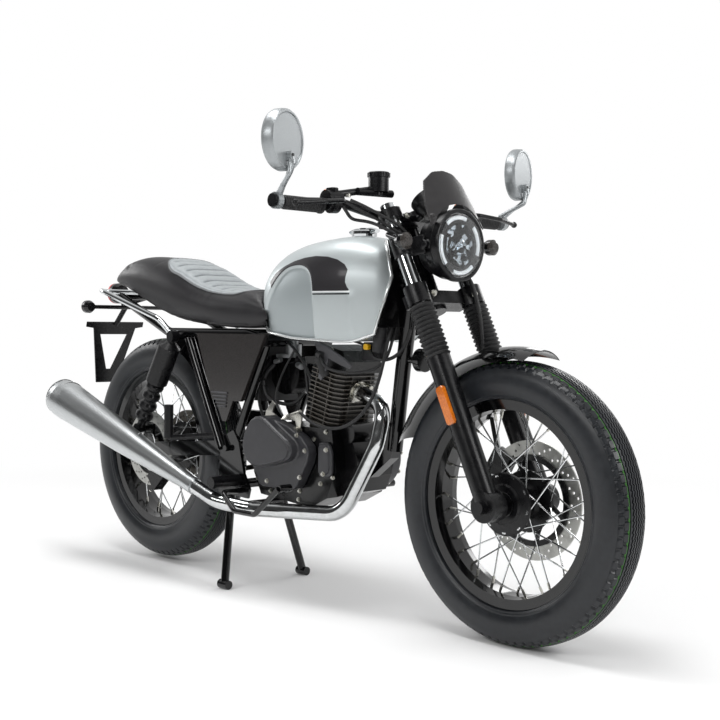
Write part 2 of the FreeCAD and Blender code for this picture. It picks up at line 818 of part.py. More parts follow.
def fork():
    half = d.fork_half_spacing
    side = -half
    leg = rod("LegTube", fork_point(0, side, 0), fork_point(0, side, d.lower_leg_top), d.lower_leg_radius)
    boss = rod("LegFoot", FRONT_AXLE + V(0, -float(half + d.lower_leg_radius * 0.8), 0),
               FRONT_AXLE + V(0, -float(half - d.lower_leg_radius * 0.8), 0), d.lower_leg_foot)
    leg_bore = rod("LegBore", fork_point(0, side, d.lower_leg_top / 2),
                   fork_point(0, side, d.lower_leg_top + d.cut_over), d.stanchion_radius + d.fit_gap)
    solid = joined("LegSolid", [leg, boss])
    right = cut_from("LegRight", solid, leg_bore)
    reach = float(half + d.lower_leg_radius + d.axle_head_length)
    keep("fork_lowers", joined("fork_lowers", [
        right,
        other_side("LegLeft", right),
        rod("AxleBar", FRONT_AXLE - V(0, float(half), 0), FRONT_AXLE + V(0, float(half), 0), d.front_axle_radius),
        rod("AxleHead", FRONT_AXLE - V(0, reach, 0), FRONT_AXLE - V(0, float(half), 0), d.axle_head_radius),
        rod("AxleNut", FRONT_AXLE + V(0, float(half), 0), FRONT_AXLE + V(0, reach, 0), d.axle_head_radius),
    ]))

    inside = d.lower_leg_top / 2 + d.fit_gap
    top = d.upper_yoke_bottom + d.upper_yoke_thickness + d.fork_cap_rise
    both_sides("fork_stanchions", rod("Stanchion", fork_point(0, side, inside), fork_point(0, side, top),
                                      d.stanchion_radius))

    folds = int(d.gaiter_folds)
    bottom = d.lower_leg_top + d.fit_gap
    pitch = (d.gaiter_top - bottom) / folds
    inner = d.stanchion_radius + d.fit_gap
    points = [(inner, bottom)]
    for index in range(folds):
        points.append((d.gaiter_radius - d.gaiter_groove, bottom + pitch * index))
        points.append((d.gaiter_radius, bottom + pitch * (index + 0.5)))
    points.append((d.gaiter_radius - d.gaiter_groove, d.gaiter_top))
    points.append((inner, d.gaiter_top))
    lie = FreeCAD.Placement(V(0, float(side), 0), FreeCAD.Rotation(V(1, 0, 0), 90))
    both_sides("fork_gaiters", turned("Gaiter", points, FORK.multiply(lie)))

    yokes()


def yoke(label, bottom, thickness, stem_end):
    """A clamp across the fork legs, with a collar for each leg."""
    half = d.fork_half_spacing
    collar = d.yoke_collar_radius
    pieces = [
        rod(label + "Right", fork_point(0, -half, bottom), fork_point(0, -half, bottom + thickness), collar),
        rod(label + "Mate", fork_point(0, half, bottom), fork_point(0, half, bottom + thickness), collar),
        rod(label + "Middle", fork_point(-d.yoke_offset, 0, bottom), fork_point(-d.yoke_offset, 0, bottom + thickness),
            d.head_tube_radius + d.tube_wall),
        block(label + "Web", (-float(d.yoke_web), -float(half), float(bottom + thickness * 0.15)),
              (d.yoke_web + d.fit_gap, half * 2, thickness * 0.7), FORK),
    ]
    if stem_end is not None:
        pieces.append(rod(label + "Stem", fork_point(-d.yoke_offset, 0, bottom), fork_point(-d.yoke_offset, 0, stem_end),
                          d.stem_radius))
    solid = joined(label + "Solid", pieces)
    bores = together(label + "Bores", [
        rod(f"{label}Bore{name}", fork_point(0, y, bottom - d.cut_over), fork_point(0, y, bottom + thickness + d.cut_over),
            d.stanchion_radius + d.fit_gap)
        for name, y in (("Right", -half), ("Left", half))
    ])
    return cut_from(label, solid, bores)


def yokes():
    lower = yoke("LowerYoke", d.lower_yoke_bottom, d.lower_yoke_thickness, d.upper_yoke_bottom - d.fit_gap)
    upper = yoke("UpperYoke", d.upper_yoke_bottom, d.upper_yoke_thickness, None)
    bar_centre = fork_point(-d.yoke_offset, 0, BAR_UP)
    risers = []
    for name, y in (("Right", -d.yoke_web), ("Left", d.yoke_web)):
        foot = fork_point(-d.yoke_offset, y, d.upper_yoke_bottom + d.upper_yoke_thickness / 2)
        risers.append(rod("Riser" + name, foot, fork_point(-d.yoke_offset, y, BAR_UP + d.riser_radius), d.riser_radius))
    hole = rod("RiserBore", bar_centre - V(0, float(d.fork_half_spacing), 0),
               bar_centre + V(0, float(d.fork_half_spacing), 0), d.bar_radius + d.fit_gap)
    keep("lower_yoke", lower)
    keep("upper_yoke", cut_from("upper_yoke", joined("UpperYokeWhole", [upper] + risers), hole))


def handlebar():
    """A low bar on two risers, with its grips and bar ends."""
    width = d.bar_half_width
    centre = fork_point(-d.yoke_offset, 0, BAR_UP)
    points = bar_points()
    bend = d.bar_radius * 5
    bar = tube("handlebar", points, d.bar_radius, bend)
    keep("handlebar", bar)
    along = (points[0] - points[1]).normalize()
    end = points[0] + along * float(d.fit_gap)
    grip_start = points[0] - along * float(d.grip_length)
    grip = rod("GripSolid", grip_start, end, d.grip_radius)
    cap = rod("BarEnd", end, end + along * float(d.bar_end_length), d.bar_radius + d.tube_wall)
    bore = rod("GripBore", grip_start - along * float(d.cut_over), end, d.bar_radius + d.fit_gap)
    both_sides("grips", joined("GripWhole", [cut_from("GripHollow", grip, bore), cap]))
    bar_controls(centre, width)


def bar_points():
    centre = fork_point(-d.yoke_offset, 0, BAR_UP)
    rise = float(d.bar_rise)
    sweep = float(d.bar_sweep)
    width = d.bar_half_width
    return [
        centre + V(-sweep, -float(width), rise * 0.4),
        centre + V(0, -float(width * 0.55), rise * 0.8),
        centre + V(0, -float(width * 0.24), 0),
        centre + V(0, float(width * 0.24), 0),
        centre + V(0, float(width * 0.55), rise * 0.8),
        centre + V(-sweep, float(width), rise * 0.4),
    ]


def shaped_bar_space():
    """The room that the bar takes up inside what is clamped to it."""
    return tube("BarSpace", bar_points(), d.bar_radius + d.fit_gap, d.bar_radius * 5)


def bar_controls(centre, width):
    """Switch housings, lever perches, the two levers and the brake fluid reservoir."""
    inner = float(width * 0.58)
    high = centre + V(0, 0, float(d.bar_rise * 0.8))
    perch = rod("Perch", high + V(0, -inner - float(d.perch_length), -float(d.bar_rise) * 0.05),
                high + V(0, -inner, 0), d.perch_radius)
    lever_foot = high + V(float(d.perch_radius) * 1.2, -inner - float(d.perch_length) * 0.3, 0)
    lever_tip = lever_foot + V(float(d.perch_radius), -float(d.lever_length), -float(d.bar_rise) * 0.6)
    lever = tube("Lever", [
        high + V(0, -inner - float(d.perch_length) * 0.5, 0),
        lever_foot + V(float(d.perch_radius), 0, 0),
        lever_foot + V(float(d.perch_radius) * 1.8, -float(d.lever_length) * 0.5, -float(d.bar_rise) * 0.3),
        lever_tip,
    ], d.cable_radius * 1.3, d.perch_radius)
    knob = ball("LeverKnob", lever_tip, d.cable_radius * 2)
    solid = cut_from("PerchWhole", joined("PerchSolid", [perch, lever, knob]), shaped_bar_space())
    cup_foot = high + V(float(d.perch_radius) * 1.4, -inner / 2, float(d.perch_radius))
    cup = joined("Reservoir", [
        rod("Cup", cup_foot + V(0, 0, float(d.perch_radius) * 0.6),
            cup_foot + V(0, 0, float(d.perch_radius) * 0.6) + V(0, 0, float(d.reservoir_height)), d.reservoir_radius),
        rod("CupArm", cup_foot + V(0, 0, float(d.perch_radius)),
            high + V(0, -inner - float(d.perch_length) / 2, float(d.perch_radius) * 0.8), d.cable_radius * 2),
    ])
    right = cut_from("RightControls", joined("RightSolid", [solid, cup]), shaped_bar_space())
    left = other_side("LeftControls", solid)
    keep("bar_controls", together("bar_controls", [right, left]))


def mirrors():
    """Round bar-end mirrors on cranked stems."""
    points = bar_points()
    along = (points[0] - points[1]).normalize()
    foot = points[0] + along * float(d.fit_gap + d.bar_end_length / 2)
    foot += V(0, 0, float(d.bar_radius + d.tube_wall + d.fit_gap + d.mirror_stem_radius * 0.9))
    pair = []
    for name, way in (("Right", -1), ("Left", 1)):
        middle = V(float(d.mirror_centre_x), way * float(d.mirror_centre_y), float(d.mirror_centre_z))
        turn = FreeCAD.Rotation(V(0, 0, 1), float(d.mirror_turn_angle))
        facing = turn.multVec(V(1, 0, 0))
        dish = turned("MirrorDish" + name, [
            (0.0, -d.mirror_thickness / 2),
            (d.mirror_radius * 0.94, -d.mirror_thickness / 2),
            (d.mirror_radius, -d.mirror_thickness * 0.3),
            (d.mirror_radius * 0.94, d.mirror_thickness * 0.4),
            (d.mirror_radius * 0.86, d.mirror_thickness / 2),
            (0.0, d.mirror_thickness / 2),
        ], FreeCAD.Placement(middle, FreeCAD.Rotation(V(0, 1, 0), facing)))
        low = middle - V(0, 0, float(d.mirror_radius * 0.62)) + facing * float(d.mirror_thickness * 0.8)
        start = V(foot.x, way * abs(foot.y), foot.z)
        bend = V(low.x, way * float(d.mirror_centre_y), start.z + float(d.mirror_radius * 0.5))
        stem = tube("MirrorStem" + name, [start, bend, low, low - facing * float(d.mirror_thickness * 0.4)],
                    d.mirror_stem_radius, d.mirror_stem_radius * 1.5)
        pair.append(joined("Mirror" + name, [dish, stem]))
    keep("mirrors", together("mirrors", pair))


def lamp():
    """A round headlamp: bucket, rim and domed lens, held by two ears on the stanchions."""
    middle = V(float(d.lamp_centre_x), 0, float(d.lamp_centre_z))
    place = FreeCAD.Placement(middle, FreeCAD.Rotation(V(0, 1, 0), V(1, 0, 0)))
    radius = d.lamp_radius
    depth = d.lamp_depth
    rim_back = d.lamp_rim_width
    shell = turned("LampShell", [
        (0.0, -depth),
        (radius * 0.45, -depth * 0.97),
        (radius * 0.78, -depth * 0.78),
        (radius * 0.93, -depth * 0.45),
        (radius * 0.95, -rim_back),
        (radius, -rim_back),
        (radius, 0.0),
        (d.lens_radius + d.fit_gap, 0.0),
        (d.lens_radius + d.fit_gap, -rim_back * 0.5),
        (0.0, -rim_back * 0.5),
    ], place)
    ears = []
    ear_side = float(radius + d.fit_gap)
    for name, way in (("Right", -1), ("Left", 1)):
        y = way * float(d.fork_half_spacing)
        bolt = middle + V(-float(depth * 0.35), way * float(radius * 0.8), 0)
        ears.append(rod("EarBolt" + name, bolt, bolt + V(0, way * float(radius * 0.2 + d.ear_thickness * 1.5), 0),
                        d.ear_bolt_radius))
        clamp_low = fork_point(0, y, d.ear_clamp_at)
        clamp_high = fork_point(0, y, d.ear_clamp_at + d.ear_clamp_height)
        ears.append(rod("EarClamp" + name, clamp_low, clamp_high, d.stanchion_radius + d.ear_thickness))
        start = fork_point(0, way * ear_side, d.ear_clamp_at + d.ear_clamp_height / 2)
        reach = V(bolt.x, start.y, bolt.z) - start
        low = FreeCAD.Placement(start, FreeCAD.Rotation(V(1, 0, 0), reach))
        ears.append(block("EarPlate" + name, (0, -float(d.ear_thickness) * (way < 0), -float(d.ear_clamp_height) / 2),
                          (reach.Length, d.ear_thickness, d.ear_clamp_height), low))
    solid = joined("LampSolid", [shell] + ears)
    bores = together("EarBores", [
        rod("EarBore" + name, fork_point(0, y, d.ear_clamp_at - d.ear_clamp_height),
            fork_point(0, y, d.ear_clamp_at + d.ear_clamp_height * 2), d.stanchion_radius + d.fit_gap)
        for name, y in (("Right", -d.fork_half_spacing), ("Left", d.fork_half_spacing))
    ])
    keep("headlight_shell", cut_from("headlight_shell", solid, bores))
    lens = turned("headlight_lens", [
        (0.0, -rim_back * 0.5),
        (d.lens_radius, -rim_back * 0.5),
        (d.lens_radius, 0.0),
        (d.lens_radius * 0.7, rim_back * 0.25),
        (0.0, rim_back * 0.4),
    ], place)
    keep("headlight_lens", lens)


def gauge():
    place = fork_point(d.gauge_radius * 1.1, 0, BAR_UP + d.fit_gap)
    tilt = FreeCAD.Rotation(V(0, 1, 0), -float(d.rake_angle) - float(d.gauge_tilt_angle))
    up = tilt.multVec(V(0, 0, 1))
    body = turned("GaugeBody", [
        (0.0, -d.gauge_depth),
        (d.gauge_radius * 0.7, -d.gauge_depth * 0.9),
        (d.gauge_radius * 0.95, -d.gauge_depth * 0.4),
        (d.gauge_radius, 0.0),
        (0.0, 0.0),
    ], FreeCAD.Placement(place, FreeCAD.Rotation(V(0, 1, 0), up)))
    middle = d.upper_yoke_bottom + d.upper_yoke_thickness / 2
    stay = rod("GaugeStay", fork_point(d.gauge_radius, 0, middle), fork_point(d.fit_gap * 2, 0, middle),
               d.pivot_bolt_radius)
    keep("gauge", joined("gauge", [body, stay]))


# Front and rear fenders

def fender_shape(radius, half_width, drop, first_angle, last_angle):
    """A curved guard: a shallow arch section swept about the axle between two angles."""
    wall = float(d.fender_wall)
    radius = float(radius)
    half = float(half_width)
    low = radius - float(drop)
    outer = [V(low, -half, 0), V(radius, 0, 0), V(low, half, 0)]
    inner = [V(low, half - wall, 0), V(radius - wall, 0, 0), V(low, -half + wall, 0)]
    edges = [
        Part.Arc(*outer).toShape(),
        Part.LineSegment(outer[2], inner[0]).toShape(),
        Part.Arc(*inner).toShape(),
        Part.LineSegment(inner[2], outer[0]).toShape(),
    ]
    face = Part.Face(Part.Wire(edges))
    face.rotate(V(0, 0, 0), V(0, 1, 0), -first_angle)
    return face.revolve(V(0, 0, 0), V(0, 1, 0), first_angle - last_angle)


FRONT_FENDER_ANGLES = (78.5, 159.5)
REAR_FENDER_ANGLES = (26.0, 72.0)


def fenders():
    front = shaped("front_fender", fender_shape(d.front_fender_radius, d.front_fender_half_width, d.front_fender_drop,
                                                *FRONT_FENDER_ANGLES))
    front.Placement = FRONT
    keep("front_fender", front)
    rear = shaped("rear_fender", fender_shape(d.rear_fender_radius, d.rear_fender_half_width, d.rear_fender_drop,
                                              *REAR_FENDER_ANGLES))
    rear.Placement = REAR
    keep("rear_fender", rear)


# Tank and seat

TANK_X_SHARES = (0.0, 0.03, 0.075, 0.15, 0.277, 0.448, 0.619, 0.752, 0.867, 0.944, 1.0)
TANK_LOW_SHARES = (0.10, 0.05, 0.03, 0.01, 0.0, 0.015, 0.03, 0.06, 0.10, 0.22, 0.36)
TANK_TOP_SHARES = (0.66, 0.80, 0.895, 0.955, 1.0, 0.99, 0.95, 0.875, 0.76, 0.63, 0.48)
TANK_WIDTH_SHARES = (0.50, 0.60, 0.70, 0.82, 0.93, 1.0, 0.99, 0.92, 0.76, 0.53, 0.30)
TANK_ARCH_WIDTH_SHARES = (0.88, 1.0, 0.95, 0.66, 0.0)
TANK_ARCH_HEIGHT_SHARES = (0.0, 0.38, 0.68, 0.92, 1.0)
NOTCH_HEIGHT_SHARES = (-0.10, 0.11, 0.60, 0.90, 1.20)
NOTCH_DEPTH_SHARES = (0.268, 0.235, 0.123, 0.161, 0.20)


def arch_loft(stations, arch_widths, arch_heights):
    """A loft through arches: each station is x, the low and top heights and the half width."""
    wires = []
    for x, low, top, half in stations:
        side = [V(x, half * wide, low + (top - low) * high) for wide, high in zip(arch_widths, arch_heights)]
        other = [V(point.x, -point.y, point.z) for point in reversed(side[:-1])]
        curve = Part.BSplineCurve()
        curve.interpolate(side + other)
        base = Part.LineSegment(other[-1], side[0])
        wires.append(Part.Wire([curve.toShape(), base.toShape()]))
    return Part.makeLoft(wires, True, False)


def tank_shape(grow):
    """The tank's outer form; grow moves every face out by about that much."""
    length = d.tank_front_x - d.tank_rear_x
    height = d.tank_top_z - d.tank_bottom_z
    stations = []
    for along, low, top, wide in zip(TANK_X_SHARES, TANK_LOW_SHARES, TANK_TOP_SHARES, TANK_WIDTH_SHARES):
        end = grow * (1 - 2 * along)
        stations.append((
            float(d.tank_front_x - length * along) + end,
            float(d.tank_bottom_z + height * low) - grow,
            float(d.tank_bottom_z + height * top) + grow,
            float(d.tank_half_width * wide) + grow,
        ))
    return arch_loft(stations, TANK_ARCH_WIDTH_SHARES, TANK_ARCH_HEIGHT_SHARES)


def notch_shape(shrink):
    """The wedge of room between the tank's two front lobes; shrink draws its faces in."""
    length = float(d.tank_front_x - d.tank_rear_x)
    height = float(d.tank_top_z - d.tank_bottom_z)
    reach = float(d.notch_reach)
    wires = []
    for high, deep in zip(NOTCH_HEIGHT_SHARES, NOTCH_DEPTH_SHARES):
        z = float(d.tank_bottom_z) + height * high
        tip = float(d.tank_front_x) - length * deep + shrink * 1.5
        corners = [V(tip, 0, z), V(tip + reach, -reach, z), V(tip + reach, reach, z)]
        wires.append(Part.makePolygon(corners + [corners[0]]))
    return Part.makeLoft(wires, True, True)


def backbone_line():
    """The two ends of the big tube under the tank."""
    front = fork_point(-d.yoke_offset, 0, d.backbone_at)
    rear = V(float(d.backbone_rear_x), 0, float(d.backbone_rear_z))
    return front, rear


def tank():
    front, rear = backbone_line()
    along = (front - rear).normalize()
    tilt = FreeCAD.Rotation(V(1, 0, 0), along)
    gap = d.main_tube_radius + d.tank_tunnel_gap
    tunnel = Part.makeBox(float(d.tank_front_x), float(gap * 2), float(d.tank_top_z))
    roof = float(d.main_tube_radius + d.fit_gap)
    tunnel.translate(V(-float(d.tank_rear_x) / 2, -float(gap), roof - float(d.tank_top_z)))
    tunnel.Placement = FreeCAD.Placement(rear, tilt).multiply(tunnel.Placement)
    head_gap = float(d.head_tube_radius + d.tank_tunnel_gap)
    head = Part.makeCylinder(head_gap, float(d.upper_yoke_bottom))
    head.Placement = FORK.multiply(at(-d.yoke_offset, 0, 0))
    form = tank_shape(0.0).cut(tunnel).cut(head).cut(notch_shape(0.0))
    keep("fuel_tank", shaped("fuel_tank", max(form.Solids, key=lambda solid: solid.Volume)))
    top = float(d.tank_top_z)
    cap = turned("CapSolid", [
        (0.0, -d.cap_height),
        (d.cap_radius * 0.9, -d.cap_height),
        (d.cap_radius, d.cap_height * 0.35),
        (d.cap_radius, d.cap_height * 0.8),
        (d.cap_radius * 0.85, d.cap_height),
        (0.0, d.cap_height),
    ], FreeCAD.Placement(V(float(d.cap_x), 0, top + float(d.fit_gap)), FreeCAD.Rotation(V(1, 0, 0), 90)))
    keep("tank_cap", cut_from("tank_cap", cap, shaped("TankRoom", tank_shape(float(d.fit_gap)))))


SEAT_X_SHARES = (0.0, 0.05, 0.14, 0.26, 0.39, 0.52, 0.64, 0.76, 0.88, 0.96, 1.0)
SEAT_LOW_SHARES = (0.06, 0.02, 0.0, 0.02, 0.07, 0.14, 0.27, 0.45, 0.60, 0.65, 0.68)
SEAT_TOP_SHARES = (0.36, 0.42, 0.49, 0.51, 0.63, 0.85, 0.97, 1.0, 0.90, 0.78, 0.73)
SEAT_WIDTH_SHARES = (0.90, 0.92, 0.96, 1.0, 1.0, 1.0, 0.98, 0.94, 0.80, 0.56, 0.30)
SEAT_ARCH_WIDTH_SHARES = (0.86, 1.0, 0.97, 0.68, 0.0)
SEAT_ARCH_HEIGHT_SHARES = (0.0, 0.34, 0.66, 0.93, 1.0)


def seat():
    """A long cushion with a hump at its tail; its nose wraps the back of the tank."""
    length = d.seat_front_x - d.seat_rear_x
    height = d.seat_top_z - d.seat_bottom_z
    stations = []
    for along, low, top, wide in zip(SEAT_X_SHARES, SEAT_LOW_SHARES, SEAT_TOP_SHARES, SEAT_WIDTH_SHARES):
        stations.append((
            float(d.seat_front_x - length * along),
            float(d.seat_bottom_z + height * low),
            float(d.seat_bottom_z + height * top),
            float(d.seat_half_width * wide),
        ))
    form = arch_loft(stations, SEAT_ARCH_WIDTH_SHARES, SEAT_ARCH_HEIGHT_SHARES)
    form = form.cut(tank_shape(float(d.seat_gap)))
    keep("seat", shaped("seat", max(form.Solids, key=lambda solid: solid.Volume)))


# Frame

RAIL_Z = d.seat_bottom_z - d.rail_radius - d.fit_gap


def flat_cut(name, piece, height):
    """Cuts a piece off level at a height and keeps what is below."""
    wide = float(d.wheelbase)
    knife = block(name + "Knife", (-wide / 2, -wide, float(height)), (d.wheelbase * 2, d.wheelbase * 2, d.wheelbase))
    return cut_from(name, piece, knife)


def down_tube_points():
    """The down tube's middle line: from behind the head tube, by a knee, to its foot."""
    low = d.lower_yoke_bottom + d.lower_yoke_thickness + d.fit_gap
    head_foot = fork_point(-d.yoke_offset - d.head_tube_radius * 1.4, 0, low + d.down_tube_radius * 2.2)
    bottom = V(float(d.down_tube_x), 0, float(d.down_tube_z))
    knee = V(float(d.down_tube_x) + (head_foot.x - bottom.x) * 0.45, 0, (head_foot.z + bottom.z) / 2)
    return head_foot, knee, bottom


def frame():
    front, rear = backbone_line()
    low = d.lower_yoke_bottom + d.lower_yoke_thickness + d.fit_gap
    high = d.upper_yoke_bottom - d.fit_gap
    outer = rod("HeadOuter", fork_point(-d.yoke_offset, 0, low), fork_point(-d.yoke_offset, 0, high), d.head_tube_radius)
    bore = rod("HeadBore", fork_point(-d.yoke_offset, 0, low - d.cut_over),
               fork_point(-d.yoke_offset, 0, high + d.cut_over), d.stem_radius + d.fit_gap)
    backbone = rod("Backbone", rear, front, d.main_tube_radius)
    cross = V(float(d.cross_tube_x), 0, float(d.cross_tube_z))
    reach = V(0, float(d.rail_half_spacing + d.rail_radius), 0)
    cross_tube = rod("CrossTube", cross - reach, cross + reach, d.cross_tube_radius)
    tall = float(d.gusset_top_z - d.gusset_bottom_z)
    half = float(d.notch_reach)
    slab = Part.makeBox(half, half * 2, tall, V(float(d.gusset_front_x) - half, -half, float(d.gusset_bottom_z)))
    gusset = shaped("HeadGusset", slab.common(notch_shape(float(d.tank_tunnel_gap))))
    tube_room = tube("DownTubeRoom", down_tube_points(), d.down_tube_radius + d.fit_gap, d.down_tube_radius * 12)
    gusset = cut_from("HeadGussetCut", gusset, tube_room)
    solid = joined("BackboneSolid", [outer, backbone, cross_tube, gusset])
    keep("frame_backbone", cut_from("frame_backbone", solid, bore))

    head_foot, knee, bottom = down_tube_points()
    down = tube("DownTube", [head_foot, knee, bottom], d.down_tube_radius, d.down_tube_radius * 12)
    case_mid = (d.engine_bottom_z + d.case_top_z) / 2
    bracket = plate("EngineBracket", [
        (d.down_tube_x + d.down_tube_radius, d.down_tube_z + d.down_tube_radius * 3),
        (d.down_tube_x - d.down_tube_radius, d.down_tube_z + d.down_tube_radius * 3),
        (d.engine_front_x + d.case_nose + d.fit_gap, case_mid + d.down_tube_radius * 2),
        (d.engine_front_x + d.case_nose + d.fit_gap, case_mid - d.down_tube_radius),
        (d.down_tube_x, d.down_tube_z - d.down_tube_radius),
    ], d.down_tube_radius * 1.6)
    head_room = rod("HeadRoom", fork_point(-d.yoke_offset, 0, low - d.head_tube_radius),
                    fork_point(-d.yoke_offset, 0, high), d.head_tube_radius + d.fit_gap)
    keep("frame_down_tube", cut_from("frame_down_tube", joined("DownSolid", [down, bracket]), head_room))

    side = -float(d.rail_half_spacing)
    behind = cross.x - float(d.cross_tube_radius + d.fit_gap)
    rail = tube("Rail", [
        V(behind, side, cross.z),
        V(behind - float(d.rail_radius) * 5, side, float(RAIL_Z)),
        V(float(d.rail_kink_x), side, float(RAIL_Z)),
        V(float(d.rail_tail_x), side, float(d.rail_tail_z)),
    ], d.rail_radius, d.rail_radius * 6)
    stud = rod("ShockStud", V(float(d.shock_top_x), side, float(d.shock_top_z)),
               V(float(d.shock_top_x), -float(d.shock_half_spacing - d.shock_eye_radius * 0.8 - d.fit_gap),
                 float(d.shock_top_z)), d.pivot_bolt_radius)
    angle = math.radians(float(d.brace_angle))
    brace_reach = float(d.rear_fender_radius + d.fit_gap + d.brace_radius)
    brace = REAR_AXLE + V(math.sin(angle), 0, math.cos(angle)) * brace_reach
    across = V(0, side, 0)
    tail = V(float(d.rail_tail_x), 0, float(d.rail_tail_z))
    right = joined("RailRight", [rail, stud])
    cross_room = rod("CrossRoom", cross - reach * 2, cross + reach * 2, d.cross_tube_radius + d.fit_gap)
    rails = joined("RailsSolid", [
        right,
        other_side("RailLeft", right),
        rod("FenderBrace", brace - across, brace + across, d.brace_radius),
        rod("TailBrace", tail - across, tail + across, d.brace_radius),
        rod("BraceDropRight", brace + across, V(brace.x, side, float(RAIL_Z)), d.brace_radius),
        rod("BraceDropLeft", brace - across, V(brace.x, -side, float(RAIL_Z)), d.brace_radius),
    ])
    keep("seat_rails", cut_from("seat_rails", rails, cross_room))
    stays(cross)


def stay_line():
    """The ends of the right rear stay's middle line."""
    top = V(float(d.shock_top_x) + float(d.shock_eye_radius), -float(d.rail_half_spacing), float(RAIL_Z))
    foot = V(float(d.pivot_x) - float(d.pivot_tube_radius), -float(d.stay_half_spacing), float(d.pivot_z))
    return top, foot


def stays(cross):
    """The stays on each side and the plate that carries the pivots and the pegs."""
    rail_under = float(RAIL_Z - d.rail_radius - d.fit_gap)
    plate_y = float(d.peg_plate_half_spacing)
    top, foot = stay_line()
    rear = flat_cut("RearStay", rod("RearStaySolid", top, foot, d.stay_radius), rail_under)
    mid_side = -float(d.mid_stay_half_spacing)
    mid = flat_cut("MidStay", rod(
        "MidStaySolid",
        V(cross.x, mid_side, cross.z),
        V(float(d.pivot_x) + float(d.pivot_tube_radius), mid_side,
          float(d.pivot_z) + float(d.arm_height) * 0.8),
        d.mid_stay_radius), float(cross.z) - float(d.cross_tube_radius + d.fit_gap))
    step = d.pivot_tube_radius
    outline = [
        (d.pivot_x - step * 1.7, d.pivot_z + step * 1.4),
        (d.pivot_x + step, d.pivot_z + step * 2.6),
        (d.pivot_x + step * 2.2, d.pivot_z + step),
        (d.peg_x + step * 1.1, d.peg_z + step),
        (d.side_stand_x + step * 0.8, d.side_stand_z + step * 0.6),
        (d.side_stand_x + step * 0.4, d.side_stand_z - step * 0.7),
        (d.stand_pivot_x + step * 1.6, d.stand_pivot_z - step),
        (d.stand_pivot_x - step, d.stand_pivot_z - step),
        (d.stand_pivot_x - step, d.stand_pivot_z + step * 1.5),
    ]
    sheet_plate = plate("PegPlate", outline, d.peg_plate_thickness, at(0, -plate_y, 0))
    pivot = V(float(d.pivot_x), -plate_y, float(d.pivot_z))
    thick = V(0, float(d.stay_radius * 3), 0)
    hole = rod("PivotHole", pivot - thick, pivot + thick, d.pivot_bolt_radius + d.fit_gap)
    both_sides("frame_stays", cut_from("SideFrame", joined("SideFrameSolid", [rear, mid, sheet_plate]), hole))


# Swinging arm and shocks

def swinging_arm():
    side = -float(d.arm_half_spacing)
    half = float(d.arm_width) / 2
    pivot = V(float(d.pivot_x), 0, float(d.pivot_z))
    arms = []
    for name, y in (("Right", side), ("Left", -side)):
        arm = doc.addObject("Part::Box", "Arm" + name)
        arm.Length = (pivot - REAR_AXLE).Length
        bind(arm, "Width", d.arm_width)
        bind(arm, "Height", d.arm_height)
        lie = FreeCAD.Placement(V(0, y, float(REAR_AXLE_Z)), FreeCAD.Rotation(V(1, 0, 0), pivot - REAR_AXLE))
        arm.Placement = lie.multiply(at(0, -half, -float(d.arm_height) / 2))
        arms.append(arm)
        arms.append(rod("ArmEnd" + name, REAR_AXLE + V(0, y - half, 0), REAR_AXLE + V(0, y + half, 0),
                        d.arm_height * 0.62))
        way = 1 if y > 0 else -1
        tab_low = REAR_AXLE.z
        arms.append(block("Tab" + name, (d.shock_bottom_x - d.arm_tab_length / 2,
                                         y + way * half - (float(d.arm_tab_thickness) if way > 0 else 0.0), tab_low),
                          (d.arm_tab_length, d.arm_tab_thickness,
                           d.shock_bottom_z + d.pivot_bolt_radius * 1.5 - REAR_AXLE_Z)))
        stud = V(float(d.shock_bottom_x), 0, float(d.shock_bottom_z))
        arms.append(rod("LowStud" + name, stud + V(0, y, 0),
                        stud + V(0, way * float(d.shock_half_spacing - d.shock_eye_radius * 0.8 - d.fit_gap), 0),
                        d.pivot_bolt_radius))
    arms.append(rod("ArmPivot", pivot + V(0, side - half, 0), pivot + V(0, half - side, 0), d.pivot_tube_radius))
    bolt = float(d.peg_plate_half_spacing + d.peg_plate_thickness / 2 + d.stay_radius)
    arms.append(rod("PivotBolt", pivot - V(0, bolt, 0), pivot + V(0, bolt, 0), d.pivot_bolt_radius))
    out = -side + half
    arms.append(rod("RearBar", REAR_AXLE - V(0, out, 0), REAR_AXLE + V(0, out, 0), d.rear_axle_radius))
    head = float(d.axle_head_length)
    arms.append(rod("RearHead", REAR_AXLE - V(0, out + head, 0), REAR_AXLE - V(0, out, 0), d.axle_head_radius))
    arms.append(rod("RearNut", REAR_AXLE + V(0, out, 0), REAR_AXLE + V(0, out + head, 0), d.axle_head_radius))
    keep("swinging_arm", joined("swinging_arm", arms))


